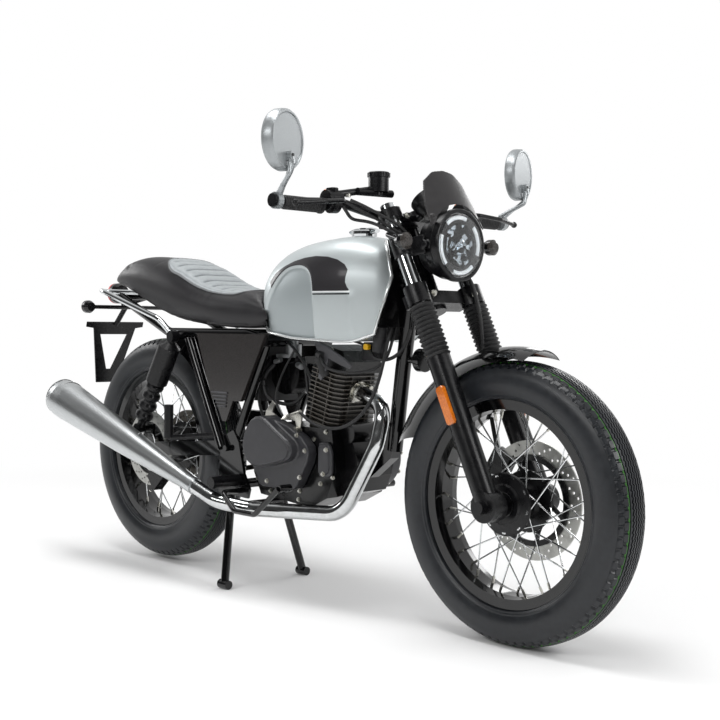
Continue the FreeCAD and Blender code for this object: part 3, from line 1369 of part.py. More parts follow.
def shocks():
    """Two shocks: an eye at each end, a coil spring, and a shroud over the upper half."""
    side = -float(d.shock_half_spacing)
    top = V(float(d.shock_top_x), side, float(d.shock_top_z))
    bottom = V(float(d.shock_bottom_x), side, float(d.shock_bottom_z))
    length = (top - bottom).Length
    lie = FreeCAD.Placement(bottom, FreeCAD.Rotation(V(0, 1, 0), top - bottom))
    coils = int(d.spring_coils)
    coil_low = length * 0.10
    coil_high = length * 0.52
    pitch = (coil_high - coil_low) / coils
    points = [(0.0, 0.0), (d.shock_body_radius * 0.6, 0.0), (d.shock_body_radius * 0.6, coil_low)]
    for index in range(coils):
        points.append((d.shock_body_radius, coil_low + pitch * (index + 0.1)))
        points.append((d.spring_coil_radius * 0.96, coil_low + pitch * (index + 0.32)))
        points.append((d.spring_coil_radius, coil_low + pitch * (index + 0.5)))
        points.append((d.spring_coil_radius * 0.96, coil_low + pitch * (index + 0.68)))
        points.append((d.shock_body_radius, coil_low + pitch * (index + 0.9)))
    points += [
        (d.shock_body_radius, coil_high),
        (d.shroud_radius, coil_high),
        (d.shroud_radius, length * 0.90),
        (d.shock_body_radius * 0.6, length * 0.95),
        (d.shock_body_radius * 0.6, length),
        (0.0, length),
    ]
    spring = turned("ShockBody", points, lie)
    half = float(d.shock_eye_radius) * 0.8
    eyes = [
        rod("ShockEyeTop", top + V(0, -half, 0), top + V(0, half, 0), d.shock_eye_radius),
        rod("ShockEyeLow", bottom + V(0, -half, 0), bottom + V(0, half, 0), d.shock_eye_radius),
    ]
    both_sides("rear_shocks", joined("ShockWhole", [spring] + eyes))


# Engine

CLUTCH_FACE_SHARES = (
    (-1.10, -0.16), (-1.04, 0.16), (-0.89, 0.43), (-0.74, 0.60), (-0.55, 0.70), (-0.35, 0.73), (-0.12, 0.68),
    (0.44, 0.36), (0.86, 0.13), (1.00, -0.02), (1.04, -0.18), (0.96, -0.34), (0.79, -0.46),
    (0.10, -0.64), (-0.40, -0.72), (-0.70, -0.70), (-0.90, -0.60), (-1.02, -0.44),
)
CLUTCH_BASE_SHARES = (
    (-1.28, -0.10), (-1.20, 0.25), (-1.03, 0.50), (-0.75, 0.66), (-0.40, 0.72), (-0.10, 0.66), (0.60, 0.46),
    (1.10, 0.22), (1.38, -0.02), (1.44, -0.20), (1.38, -0.46), (0.95, -1.16), (0.80, -1.27),
    (-0.50, -1.31), (-0.70, -1.24), (-0.88, -0.90), (-1.20, -0.40),
)
POINTS_COVER_SHARES = (
    (-0.50, 0.92), (0.10, 1.00), (0.36, 0.84), (0.55, 0.42), (0.57, -0.70), (0.42, -0.90), (0.10, -1.00), (-0.50, -0.95),
)


def layer(name, shares, x, z, radius, wall, depth):
    """One flat step of a cover on the right of the case, its outline given in shares of a radius."""
    outline = [(x + radius * along, z + radius * high) for along, high in shares]
    return plate(name, outline, depth, at(0, wall - float(depth) / 2, 0))


CARB_CASE_SHARES = (
    (-1.0, 0.85), (1.0, 0.85), (1.0, -0.10), (0.93, -0.40), (0.76, -0.66), (0.42, -0.91), (0.0, -1.0),
    (-0.42, -0.91), (-0.76, -0.66), (-0.93, -0.40), (-1.0, -0.10),
)


def layer_at(name, shares, x, z, radius, half_width):
    """A flat-sided body on the machine's middle plane, its outline in shares of a radius."""
    outline = [(x + radius * along, z + radius * high) for along, high in shares]
    return plate(name, outline, half_width * 2)


def cylinder_place():
    """The frame of the cylinder: on top of the case, leaning forward."""
    foot = V(float(d.cylinder_x), 0, float(d.case_top_z + d.fit_gap))
    return FreeCAD.Placement(foot, FreeCAD.Rotation(V(0, 1, 0), float(d.cylinder_lean_angle)))


def slab(name, half_length, half_width, corner, thickness, place):
    """A level plate with cut corners, in the frame of the leaning cylinder."""
    long_side = half_length - corner
    wide_side = half_width - corner
    outline = [
        (half_length, wide_side),
        (long_side, half_width),
        (-long_side, half_width),
        (-half_length, wide_side),
        (-half_length, -wide_side),
        (-long_side, -half_width),
        (long_side, -half_width),
        (half_length, -wide_side),
    ]
    level = FreeCAD.Placement(V(0, 0, float(thickness) / 2), FreeCAD.Rotation(V(1, 0, 0), -90))
    return plate(name, outline, thickness, place.multiply(level))


def engine():
    low = d.engine_bottom_z
    high = d.case_top_z
    front = d.engine_front_x
    rear = d.engine_rear_x
    mid = (low + high) / 2
    outline = [
        (rear, mid - d.case_step),
        (rear + d.case_step, low + d.case_step / 2),
        (front - d.case_step * 3, low),
        (front - d.case_step, low + d.case_step),
        (front, mid),
        (front - d.case_step / 2, high),
        (rear + d.case_step * 2, high),
        (rear, mid + d.case_step * 1.5),
    ]
    nose = plate("CaseNose", [
        (front - d.case_step, low + d.case_step),
        (front + d.case_nose * 0.5, low + d.case_step * 1.5),
        (front + d.case_nose, mid - d.case_step / 2),
        (front + d.case_nose, mid + d.case_step),
        (front + d.case_nose * 0.4, high - d.case_step / 2),
        (front - d.case_step, high - d.case_step / 2),
    ], d.case_half_width * 1.25)
    shaft = V(float(front + d.case_nose / 4), 0, float(high - d.case_step / 3))
    side = V(0, float(d.case_half_width) * 0.7, 0)
    starter = rod("Starter", shaft - side, shaft + side, d.starter_radius)
    case = plate("CaseBody", outline, d.case_half_width * 2)
    keep("engine_cases", joined("engine_cases", [case, nose, starter]))

    wall = -float(d.case_half_width + d.fit_gap)
    radius = d.clutch_cover_radius
    clutch = joined("ClutchCover", [
        layer("ClutchBase", CLUTCH_BASE_SHARES, d.clutch_cover_x, d.clutch_cover_z, radius,
              wall, d.clutch_cover_depth * 0.5),
        layer("ClutchFace", CLUTCH_FACE_SHARES, d.clutch_cover_x, d.clutch_cover_z, radius,
              wall, d.clutch_cover_depth * 0.88),
        layer("ClutchCap", CLUTCH_FACE_SHARES, d.clutch_cover_x, d.clutch_cover_z, radius * 0.93,
              wall, d.clutch_cover_depth),
    ])
    points = joined("PointsCover", [
        layer("PointsBase", POINTS_COVER_SHARES, d.points_cover_x, d.points_cover_z, d.points_cover_radius,
              wall, d.points_cover_depth * 0.6),
        layer("PointsFace", POINTS_COVER_SHARES, d.points_cover_x, d.points_cover_z,
              d.points_cover_radius * 0.8, wall, d.points_cover_depth),
    ])
    radius = d.generator_cover_radius
    depth = d.generator_cover_depth
    generator = turned("GeneratorCover", [
        (0.0, 0.0),
        (radius, 0.0),
        (radius, depth * 0.6),
        (radius * 0.85, depth * 0.9),
        (radius * 0.5, depth),
        (0.0, depth),
    ], at(d.generator_cover_x, d.case_half_width + d.fit_gap, d.generator_cover_z))
    keep("engine_covers", together("engine_covers", [clutch, points, generator]))

    base = d.case_top_z + d.fit_gap
    tall = d.cylinder_top_z - base
    lean = cylinder_place()
    reach = d.cylinder_half_length
    width = d.cylinder_half_width
    fin = d.fin_reach
    foot = lean.multiply(at(0, 0, -fin))
    pieces = [slab("CylinderCore", reach - fin, width - fin, d.fin_corner - fin / 3, tall + fin, foot)]
    for index in range(int(d.fin_count)):
        height = d.fin_pitch * (index + 1)
        pieces.append(slab(f"Fin{index}", reach, width, d.fin_corner, d.fin_thickness, lean.multiply(at(0, 0, height))))
    rib = d.fin_thickness
    rib_height = d.fin_pitch * (d.fin_count - 1)
    for index, share in enumerate((-0.4, 0.4)):
        across = reach * share
        along = width * share
        pieces.append(block(f"RibAcross{index}", (across - rib / 2, -(width - rib), d.fin_pitch),
                            (rib, (width - rib) * 2, rib_height), lean))
        pieces.append(block(f"RibAlong{index}", (-(reach - rib), along - rib / 2, d.fin_pitch),
                            ((reach - rib) * 2, rib, rib_height), lean))
    cover = [
        (-reach * 0.94, tall),
        (reach * 0.94, tall),
        (reach * 0.90, tall + d.head_cover_height * 0.55),
        (reach * 0.55, tall + d.head_cover_height),
        (-reach * 0.55, tall + d.head_cover_height),
        (-reach * 0.90, tall + d.head_cover_height * 0.55),
    ]
    pieces.append(plate("HeadCover", cover, width * 1.5, lean))
    floor = block("CylinderKnife", (d.engine_rear_x, -d.case_length, base - d.case_length),
                  (d.case_length, d.case_length * 2, d.case_length))
    keep("engine_cylinder", cut_from("engine_cylinder", joined("CylinderSolid", pieces), floor))

    port = float(tall) - float(d.fin_pitch) * 4
    throat_start = lean.multVec(V(-float(reach + d.fit_gap), 0, port))
    throat_end = lean.multVec(V(-float(reach + d.carb_length), 0, port))
    case = layer_at("CarbCase", CARB_CASE_SHARES, d.carb_x, d.carb_z, d.carb_body_radius, d.carb_half_width)
    keep("carburettor", joined("carburettor", [rod("CarbThroat", throat_start, throat_end, d.carb_radius), case]))
    box_front = d.carb_x - d.carb_body_radius - d.fit_gap
    box_top = d.cross_tube_z - d.cross_tube_radius - d.fit_gap
    keep("air_box", block("air_box", (box_front - d.air_box_length, -d.air_box_half_width, d.air_box_bottom_z),
                          (d.air_box_length, d.air_box_half_width * 2, box_top - d.air_box_bottom_z)))


def exhaust():
    port_height = float(d.cylinder_top_z - d.case_top_z) - float(d.fin_pitch) * 4
    port = cylinder_place().multVec(V(float(d.cylinder_half_length + d.header_radius * 0.4), -float(d.port_side),
                                      port_height))
    front = V(float(d.muffler_front_x), -float(d.muffler_side), float(d.muffler_front_z))
    rear = V(float(d.muffler_rear_x), -float(d.muffler_side + d.muffler_flare), float(d.muffler_rear_z))
    into = (front - rear).normalize()
    points = [
        port,
        V(float(d.header_front_x), -float(d.header_side) * 0.42, port.z - float(d.header_radius) * 1.6),
        V(float(d.header_front_x - d.header_radius * 0.2), -float(d.header_side) * 0.62, float(d.header_mid_z)),
        V(float(d.header_knee_x), -float(d.header_side) * 0.95, float(d.header_low_z + d.header_radius)),
        V(float(d.header_turn_x), -float(d.header_side) * 1.33, float(d.header_low_z)),
        front + into * float(d.header_radius * 5),
        front,
    ]
    keep("exhaust_header", tube("exhaust_header", points, d.header_radius, d.header_radius * 4))
    length = (rear - front).Length
    sleeve = d.muffler_front_radius
    profile = [
        (0.0, d.fit_gap),
        (sleeve, d.fit_gap),
        (sleeve, length * 0.06),
        (d.muffler_rear_radius * 0.72, length * 0.45),
        (d.muffler_rear_radius, length * 0.90),
        (d.muffler_rear_radius, length * 0.945),
        (d.muffler_rear_radius * 0.96, length * 0.97),
        (d.muffler_rear_radius * 0.85, length * 0.99),
        (d.muffler_tip_radius, length),
        (d.muffler_tip_radius - d.tube_wall, length),
        (d.muffler_tip_radius - d.tube_wall, length * 0.96),
        (0.0, length * 0.96),
    ]
    keep("muffler", turned("muffler", profile,
                           FreeCAD.Placement(front, FreeCAD.Rotation(V(0, 1, 0), rear - front))))


# Side panels, tail and small fittings

def side_panels():
    outline = [
        (d.panel_front_x, d.panel_top_z),
        (d.panel_rear_x, d.panel_top_z),
        (d.panel_rear_x + d.panel_slant, d.panel_mid_z),
        (d.panel_front_x - d.panel_slant * 1.4, d.panel_mid_z),
    ]
    side = -(d.panel_half_spacing + d.panel_thickness / 2)
    vent_top = d.panel_mid_z + d.panel_thickness / 2
    vent = plate("PanelVent", [
        (d.panel_front_x - d.panel_slant * 1.85, vent_top),
        (d.panel_rear_x + d.panel_slant * 1.14, vent_top),
        (d.pivot_x - d.panel_thickness * 1.6, vent_top - d.panel_slant * 0.85),
        (d.pivot_x, vent_top - d.panel_slant * 0.85),
    ], d.panel_thickness * 0.7, at(0, side, 0))
    panel = plate("Panel", outline, d.panel_thickness, at(0, side, 0))
    both_sides("side_panels", joined("PanelRight", [panel, vent]))


def tail():
    middle = V(float(d.tail_light_x), 0, float(d.tail_light_z))
    place = FreeCAD.Placement(middle, FreeCAD.Rotation(V(0, 1, 0), V(-1, 0, 0)))
    radius = d.tail_light_radius
    depth = d.tail_light_depth
    keep("tail_light", turned("tail_light", [
        (0.0, -depth),
        (radius * 0.8, -depth),
        (radius, -depth * 0.6),
        (radius, -depth * 0.1),
        (radius * 0.8, 0.0),
        (0.0, depth * 0.1),
    ], place))
    side = -float(d.rail_half_spacing + d.rail_radius + d.grab_rail_radius + d.fit_gap)
    rail = tube("GrabRail", [
        V(float(d.grab_front_x), side, float(d.grab_front_z)),
        V(float(d.grab_front_x) - float(d.grab_rail_radius) * 4, side * 1.14, float(d.grab_front_z + d.grab_rail_radius * 5)),
        V(float(d.grab_rear_x) + float(d.grab_rail_radius) * 10, side * 1.14, float(d.grab_rear_z)),
        V(float(d.grab_rear_x), side * 0.7, float(d.grab_rear_z)),
        V(float(d.grab_rear_x), -side * 0.7, float(d.grab_rear_z)),
        V(float(d.grab_rear_x) + float(d.grab_rail_radius) * 10, -side * 1.14, float(d.grab_rear_z)),
        V(float(d.grab_front_x) - float(d.grab_rail_radius) * 4, -side * 1.14, float(d.grab_front_z + d.grab_rail_radius * 5)),
        V(float(d.grab_front_x), -side, float(d.grab_front_z)),
    ], d.grab_rail_radius, d.grab_rail_radius * 8)
    keep("grab_rail", rail)


def rear_fittings():
    """The blank plate's bracket, the arm that holds the lamp, and the rear indicators."""
    top_z = float(d.tail_light_z - d.tail_light_radius * 2.8)
    back = float(d.tail_light_x)
    wide = float(d.plate_width) / 2
    thick = float(d.plate_thickness)
    outline = [
        V(0, -wide, 0),
        V(0, wide, 0),
        V(0, wide, -thick * 4),
        V(0, wide * 0.74, -thick * 5),
        V(0, wide * 0.36, -float(d.plate_height)),
        V(0, -wide * 0.36, -float(d.plate_height)),
        V(0, -wide * 0.74, -thick * 5),
        V(0, -wide, -thick * 4),
    ]
    sheet_metal = Part.Face(Part.makePolygon(outline + [outline[0]])).extrude(V(thick, 0, 0))
    window = [
        V(0, -wide * 0.48, -float(d.plate_height) * 0.20),
        V(0, wide * 0.48, -float(d.plate_height) * 0.20),
        V(0, wide * 0.08, -float(d.plate_height) * 0.78),
        V(0, -wide * 0.08, -float(d.plate_height) * 0.78),
    ]
    hole = Part.Face(Part.makePolygon(window + [window[0]])).extrude(V(thick * 2, 0, 0))
    hole.translate(V(-thick / 2, 0, 0))
    panel = shaped("BracketSheet", sheet_metal.cut(hole))
    panel.Placement = FreeCAD.Placement(V(back, 0, top_z), FreeCAD.Rotation(V(0, 1, 0), float(d.plate_slant_angle)))
    tail = V(float(d.rail_tail_x) - float(d.brace_radius * 2 + d.fit_gap), 0, float(d.rail_tail_z))
    lamp_back = V(back + float(d.tail_light_depth), 0, float(d.tail_light_z))
    arm = tube("TailArm", [tail, V(lamp_back.x + float(d.brace_radius) * 4, 0, tail.z - float(d.brace_radius) * 2),
                           V(back + thick, 0, top_z - thick * 2)], d.brace_radius, d.brace_radius * 4)
    post = rod("LampPost", V(lamp_back.x + float(d.fit_gap + d.brace_radius), 0, tail.z - float(d.brace_radius) * 4),
               V(lamp_back.x + float(d.fit_gap + d.brace_radius), 0, lamp_back.z), d.brace_radius)
    hook = V(float(d.rear_indicator_x), 0, float(d.rear_indicator_z))
    hanger = rod("IndicatorHanger", hook - V(0, 0, float(d.indicator_stem_radius)), V(hook.x, 0, tail.z - float(d.brace_radius)),
                 d.brace_radius)
    keep("plate_bracket", joined("plate_bracket", [panel, arm, post, hanger]))
    stem_y = float(d.rail_half_spacing + d.rail_radius + d.grab_rail_radius * 2 + d.fit_gap * 2)
    ball_y = stem_y + float(d.indicator_length)
    x = float(d.rear_indicator_x)
    z = float(d.rear_indicator_z)
    lamp_piece = turned("RearIndicator", [
        (0.0, -d.indicator_length / 2),
        (d.indicator_radius * 0.7, -d.indicator_length / 2),
        (d.indicator_radius, -d.indicator_length * 0.1),
        (d.indicator_radius, d.indicator_length * 0.3),
        (d.indicator_radius * 0.6, d.indicator_length / 2),
        (0.0, d.indicator_length / 2),
    ], FreeCAD.Placement(V(x, -ball_y, z), FreeCAD.Rotation(V(0, 1, 0), V(-1, 0, 0))))
    stem = rod("RearIndicatorStem", V(x, -float(d.brace_radius + d.fit_gap), z), V(x, -ball_y, z),
               d.indicator_stem_radius)
    right = joined("RearIndicatorRight", [lamp_piece, stem])
    both_sides("rear_indicators", right)


def front_indicators():
    """One on each stanchion, clamped above the ear of the lamp."""
    side = -float(d.fork_half_spacing)
    low = d.ear_clamp_at + d.ear_clamp_height + d.fit_gap
    centre = fork_point(0, side, low + d.indicator_stem_radius * 2)
    out = centre + V(float(d.indicator_radius * 4), -float(d.indicator_length * 1.7), -float(d.indicator_radius))
    lamp_piece = turned("FrontIndicator", [
        (0.0, -d.indicator_length / 2),
        (d.indicator_radius * 0.7, -d.indicator_length / 2),
        (d.indicator_radius, -d.indicator_length * 0.1),
        (d.indicator_radius, d.indicator_length * 0.3),
        (d.indicator_radius * 0.6, d.indicator_length / 2),
        (0.0, d.indicator_length / 2),
    ], FreeCAD.Placement(out, FreeCAD.Rotation(V(0, 1, 0), V(1, 0, 0))))
    beside = centre - V(0, float(d.yoke_collar_radius + d.indicator_stem_radius), 0)
    stem = tube("FrontIndicatorStem", [centre, beside, out], d.indicator_stem_radius, d.indicator_stem_radius * 2)
    clamp = rod("IndicatorClamp", fork_point(0, side, low), fork_point(0, side, low + d.indicator_stem_radius * 4),
                d.stanchion_radius + d.tube_wall * 1.5)
    bore = rod("IndicatorBore", fork_point(0, side, low - d.cut_over),
               fork_point(0, side, low + d.indicator_stem_radius * 6), d.stanchion_radius + d.fit_gap)
    both_sides("front_indicators", cut_from("FrontIndicatorRight", joined("FrontIndicatorSolid",
                                                                         [lamp_piece, stem, clamp]), bore))


SCREEN_WIDTH_SHARES = (1.0, 1.0, 0.93, 0.74, 0.40, 0.0)
SCREEN_HEIGHT_SHARES = (0.0, 0.15, 0.45, 0.82, 0.97, 1.0)


def fly_screen():
    """A small curved screen above the lamp, leaning back, arched over the lamp's rim."""
    tall = float(d.screen_height)
    half = float(d.screen_half_width)
    radius = float(d.screen_radius)
    wall = float(d.screen_wall)
    right = [V(0, -half * width, tall * height) for width, height in zip(SCREEN_WIDTH_SHARES, SCREEN_HEIGHT_SHARES)]
    left = [V(0, -point.y, point.z) for point in reversed(right[:-1])]
    corners = right + left + [right[0]]
    blank = Part.Face(Part.makePolygon(corners)).extrude(V(-radius, 0, 0))
    outer = Part.makeCylinder(radius, tall * 3, V(-radius, 0, -tall))
    inner = Part.makeCylinder(radius - wall, tall * 3, V(-radius, 0, -tall))
    skin = outer.cut(inner).common(blank)
    lean = FreeCAD.Rotation(V(0, 1, 0), -float(d.screen_lean_angle))
    foot = V(float(d.screen_foot_x), 0, float(d.screen_foot_z))
    piece = shaped("ScreenSkin", skin)
    piece.Placement = FreeCAD.Placement(foot, lean)
    middle = V(float(d.lamp_centre_x), 0, float(d.lamp_centre_z))
    span = V(float(d.lamp_depth * 2), 0, 0)
    room = rod("LampArch", middle - span, middle + span, d.lamp_radius + d.screen_lamp_gap)
    arched = cut_from("ScreenArched", piece, room)
    pins = []
    for name, way in (("Right", -1), ("Left", 1)):
        angle = math.radians(float(d.screen_pin_angle))
        out = V(0, way * math.cos(angle), math.sin(angle))
        start = V(float(d.lamp_centre_x - d.lamp_rim_width * 1.6), 0, float(d.lamp_centre_z))
        lead = V(float(d.lamp_rim_width), 0, 0)
        pins.append(rod("ScreenPin" + name, start + out * float(d.lamp_radius * 0.95 + d.screen_wall),
                        start + lead + out * float(d.lamp_radius + d.screen_lamp_gap * 2.2), d.screen_wall * 1.6))
    keep("fly_screen", joined("fly_screen", [arched] + pins))


def calipers():
    """Brake calipers: a body that bridges the disc with a slot, and a lug to what carries it."""
    for label, line, disc_radius, centre, angle in (
            ("front_caliper", FRONT_DISC_LINE, d.front_disc_radius, FRONT_AXLE, float(d.front_caliper_angle)),
            ("rear_caliper", REAR_DISC_LINE, d.rear_disc_radius, REAR_AXLE, float(d.rear_caliper_angle))):
        turn = FreeCAD.Rotation(V(0, 1, 0), -angle)
        place = FreeCAD.Placement(centre, turn)
        middle = disc_radius - d.caliper_height * 0.32
        way = 1 if float(line) > 0 else -1
        near = float(line) - way * float(d.caliper_inner_reach)
        low_y = near if way > 0 else near - float(d.caliper_width)
        body = block(label + "Body", (middle - d.caliper_height / 2, low_y, -d.caliper_length / 2),
                     (d.caliper_height, d.caliper_width, d.caliper_length), place)
        slot = block(label + "Slot", (middle - d.caliper_height * 2, float(line) - float(d.disc_thickness) * 1.25,
                                      -d.caliper_length),
                     (d.caliper_height * 2 + d.caliper_height * 0.38, d.disc_thickness * 2.5, d.caliper_length * 2), place)
        lug_y = near + way * float(d.caliper_width)
        if label == "front_caliper":
            target = fork_point(-d.lower_leg_radius - d.fit_gap - d.pivot_bolt_radius, d.fork_half_spacing,
                                d.front_disc_radius)
        else:
            target = V(float(d.front_disc_radius) * 0.5, way * (float(d.arm_half_spacing - d.arm_width / 2)
                                                                - float(d.fit_gap + d.pivot_bolt_radius)),
                       float(REAR_AXLE_Z) - float(d.arm_height) * 0.2)
        start = place.multVec(V(float(middle), lug_y - way * float(d.pivot_bolt_radius), 0))
        lug = rod(label + "Lug", start, target, d.pivot_bolt_radius)
        leg = rod(label + "LegRoom", fork_point(0, d.fork_half_spacing, 0),
                  fork_point(0, d.fork_half_spacing, d.lower_leg_top), d.lower_leg_radius + d.fit_gap)
        keep(label, cut_from(label, joined(label + "Solid", [body, lug]), together(label + "Room", [slot, leg])))


def chain_points(grow):
    """The outline round the two sprockets, grown outwards."""
    rear_r = float(d.sprocket_radius + d.fit_gap) + grow
    front_r = float(d.drive_sprocket_radius) + grow
    front = V(float(d.drive_sprocket_x), 0, float(d.drive_sprocket_z))
    line = front - REAR_AXLE
    lean = math.atan2(line.z, line.x)
    swing = math.acos((rear_r - front_r) / line.Length)
    edges = []
    ends = {}
    for name, centre, radius in (("rear", REAR_AXLE, rear_r), ("front", front, front_r)):
        for way in (1, -1):
            turn = lean + way * swing
            ends[name, way] = V(centre.x + radius * math.cos(turn), 0, centre.z + radius * math.sin(turn))
    rear_mid = V(REAR_AXLE.x - rear_r * math.cos(lean), 0, REAR_AXLE.z - rear_r * math.sin(lean))
    front_mid = V(front.x + front_r * math.cos(lean), 0, front.z + front_r * math.sin(lean))
    edges.append(Part.LineSegment(ends["rear", 1], ends["front", 1]).toShape())
    edges.append(Part.Arc(ends["front", 1], front_mid, ends["front", -1]).toShape())
    edges.append(Part.LineSegment(ends["front", -1], ends["rear", -1]).toShape())
    edges.append(Part.Arc(ends["rear", -1], rear_mid, ends["rear", 1]).toShape())
    return Part.Wire(edges)


def chain():
    width = float(d.chain_width)
    inner = Part.Face(chain_points(0.0)).extrude(V(0, width, 0))
    outer = Part.Face(chain_points(float(d.chain_height))).extrude(V(0, width, 0))
    loop = outer.cut(inner)
    loop.translate(V(0, float(d.sprocket_line) - width / 2, 0))
    keep("chain", shaped("chain", loop))
    top = REAR_AXLE_Z + d.sprocket_radius + d.chain_height * 2
    outline = [
        (d.chain_guard_rear_x, top),
        (d.chain_guard_rear_x, top + d.chain_guard_wall),
        (d.chain_guard_front_x, top + d.chain_guard_wall),
        (d.chain_guard_front_x, top),
    ]
    cover = plate("GuardTop", outline, d.chain_guard_width, at(0, d.sprocket_line + d.chain_guard_width * 0.2, 0))
    drop = d.arm_height
    side_plate = plate("GuardSide", [
        (d.chain_guard_rear_x, top),
        (d.chain_guard_front_x, top),
        (d.chain_guard_front_x, top - drop),
        (d.chain_guard_rear_x + drop, top - drop),
    ], d.chain_guard_wall, at(0, d.sprocket_line + d.chain_guard_width * 0.7 - d.chain_guard_wall / 2, 0))
    arm_top = d.pivot_z + d.arm_height * 0.35
    foot = block("GuardFoot", (float(d.chain_guard_front_x) - float(drop) / 2,
                               float(d.arm_half_spacing - d.arm_width / 2), float(arm_top)),
                 (drop / 2, d.chain_guard_wall * 2, top - arm_top))
    bottom = block("GuardKnife", (0, 0, 0), (d.wheelbase, d.wheelbase, d.arm_height + d.fit_gap * 2))
    pivot = V(float(d.pivot_x), 0, float(d.pivot_z))
    lie = FreeCAD.Placement(REAR_AXLE, FreeCAD.Rotation(V(1, 0, 0), pivot - REAR_AXLE))
    bottom.Placement = lie.multiply(at(0, 0, -(d.arm_height / 2 + d.fit_gap)))
    keep("chain_guard", cut_from("chain_guard", joined("GuardSolid", [cover, side_plate, foot]), bottom))


def foot_controls():
    """Pegs for rider and passenger, the brake pedal and the gear lever."""
    face = float(d.peg_plate_half_spacing + d.peg_plate_thickness / 2 + d.fit_gap)
    peg = rod("RiderPeg", V(float(d.peg_x), -face - float(d.peg_length), float(d.peg_z)),
              V(float(d.peg_x), -face, float(d.peg_z)), d.peg_radius * 0.92)
    both_sides("rider_pegs", peg)
    x = float(d.passenger_peg_x)
    y = -float(d.passenger_peg_y)
    z = float(d.passenger_peg_z)
    folded = rod("PassengerPeg", V(x, y, z), V(x, y, z + float(d.peg_length)), d.peg_radius * 0.75)
    top, foot = stay_line()
    seat_point = foot + (top - foot) * ((z + float(d.peg_radius) - foot.z) / (top.z - foot.z))
    hanger = rod("PegHanger", V(x, y, z), seat_point, d.pivot_bolt_radius)
    stay_room = rod("StayRoom", foot, top, d.stay_radius + d.fit_gap)
    both_sides("passenger_pegs", cut_from("PassengerPegRight", joined("PassengerPegSolid", [folded, hanger]), stay_room))
    out = -float(d.pedal_side)
    low = float(d.header_low_z)
    pedal = tube("PedalArm", [
        V(float(d.peg_x + d.peg_radius * 0.5), -face, float(d.peg_z - d.peg_radius * 1.6)),
        V(float(d.peg_x + d.peg_radius * 0.5), -face - float(d.pedal_radius) * 2, float(d.peg_z - d.peg_radius * 1.6)),
        V(float(d.peg_x + d.peg_radius * 2), out, float(d.peg_z - d.peg_radius * 1.3)),
        V(float(d.header_turn_x), out, low),
        V(float(d.pedal_tip_x - d.peg_length), out, low),
        V(float(d.pedal_tip_x), out, float(d.pedal_tip_z)),
    ], d.pedal_radius, d.pedal_radius * 3)
    pad = rod("PedalPad", V(float(d.pedal_tip_x), out, float(d.pedal_tip_z)),
              V(float(d.pedal_tip_x), out + float(d.peg_length) * 0.4, float(d.pedal_tip_z)), d.pedal_radius * 1.4)
    keep("brake_pedal", joined("brake_pedal", [pedal, pad]))
    cover_face = float(d.case_half_width + d.fit_gap)
    left = cover_face + float(d.generator_cover_depth)
    lever = tube("GearArm", [
        V(float(d.gear_shaft_x), cover_face, float(d.gear_shaft_z)),
        V(float(d.gear_shaft_x), left, float(d.gear_shaft_z)),
        V(float(d.gear_tip_x), left + float(d.pedal_radius) * 2, float(d.gear_tip_z)),
    ], d.pedal_radius, d.pedal_radius * 2)
    toe = rod("GearToe", V(float(d.gear_tip_x), left, float(d.gear_tip_z)),
              V(float(d.gear_tip_x), left + float(d.peg_length) * 0.5, float(d.gear_tip_z)), d.pedal_radius * 1.4)
    keep("gear_lever", joined("gear_lever", [lever, toe]))


def horn():
    back = V(float(d.horn_x), 0, float(d.horn_z))
    body = turned("HornBody", [
        (0.0, 0.0),
        (d.horn_radius * 0.6, 0.0),
        (d.horn_radius, d.horn_depth * 0.4),
        (d.horn_radius, d.horn_depth),
        (0.0, d.horn_depth),
    ], FreeCAD.Placement(back, FreeCAD.Rotation(V(0, 1, 0), V(1, 0, 0))))
    head_foot, knee, bottom = down_tube_points()
    seat_point = knee + (head_foot - knee) * ((back.z - knee.z) / (head_foot.z - knee.z))
    stay = rod("HornStay", V(back.x + float(d.horn_depth) / 2, 0, back.z), seat_point, d.pivot_bolt_radius)
    stay_room = rod("HornStayRoom", knee - (head_foot - knee), head_foot, d.down_tube_radius + d.fit_gap)
    keep("horn", cut_from("horn", joined("HornSolid", [body, stay]), stay_room))


# Stands

def centre_stand():
    """Two splayed legs on a cross tube; the feet rest on the floor ahead of the pivot."""
    pivot = V(float(d.stand_pivot_x), 0, float(d.stand_pivot_z))
    reach = float(d.peg_plate_half_spacing - d.peg_plate_thickness / 2 - d.fit_gap)
    foot_r = float(d.stand_foot_radius)
    pieces = [rod("StandTube", pivot - V(0, reach, 0), pivot + V(0, reach, 0), d.stand_tube_radius)]
    for name, way in (("Right", -1), ("Left", 1)):
        top = pivot + V(0, way * float(d.stand_half_spacing), 0)
        foot = V(float(d.stand_foot_x), way * float(d.stand_foot_half_spacing), foot_r)
        pieces.append(rod("StandLeg" + name, top, foot, d.stand_tube_radius * 0.85))
        pieces.append(rod("StandFoot" + name, foot - V(foot_r * 1.5, 0, 0), foot + V(foot_r * 1.5, 0, 0),
                          d.stand_foot_radius))
    brace_share = 0.22
    for_brace = []
    for way in (-1, 1):
        top = pivot + V(0, way * float(d.stand_half_spacing), 0)
        foot = V(float(d.stand_foot_x), way * float(d.stand_foot_half_spacing), foot_r)
        for_brace.append(top + (foot - top) * brace_share)
    pieces.append(rod("StandBrace", for_brace[0], for_brace[1], d.stand_tube_radius * 0.7))
    keep("centre_stand", joined("centre_stand", pieces))


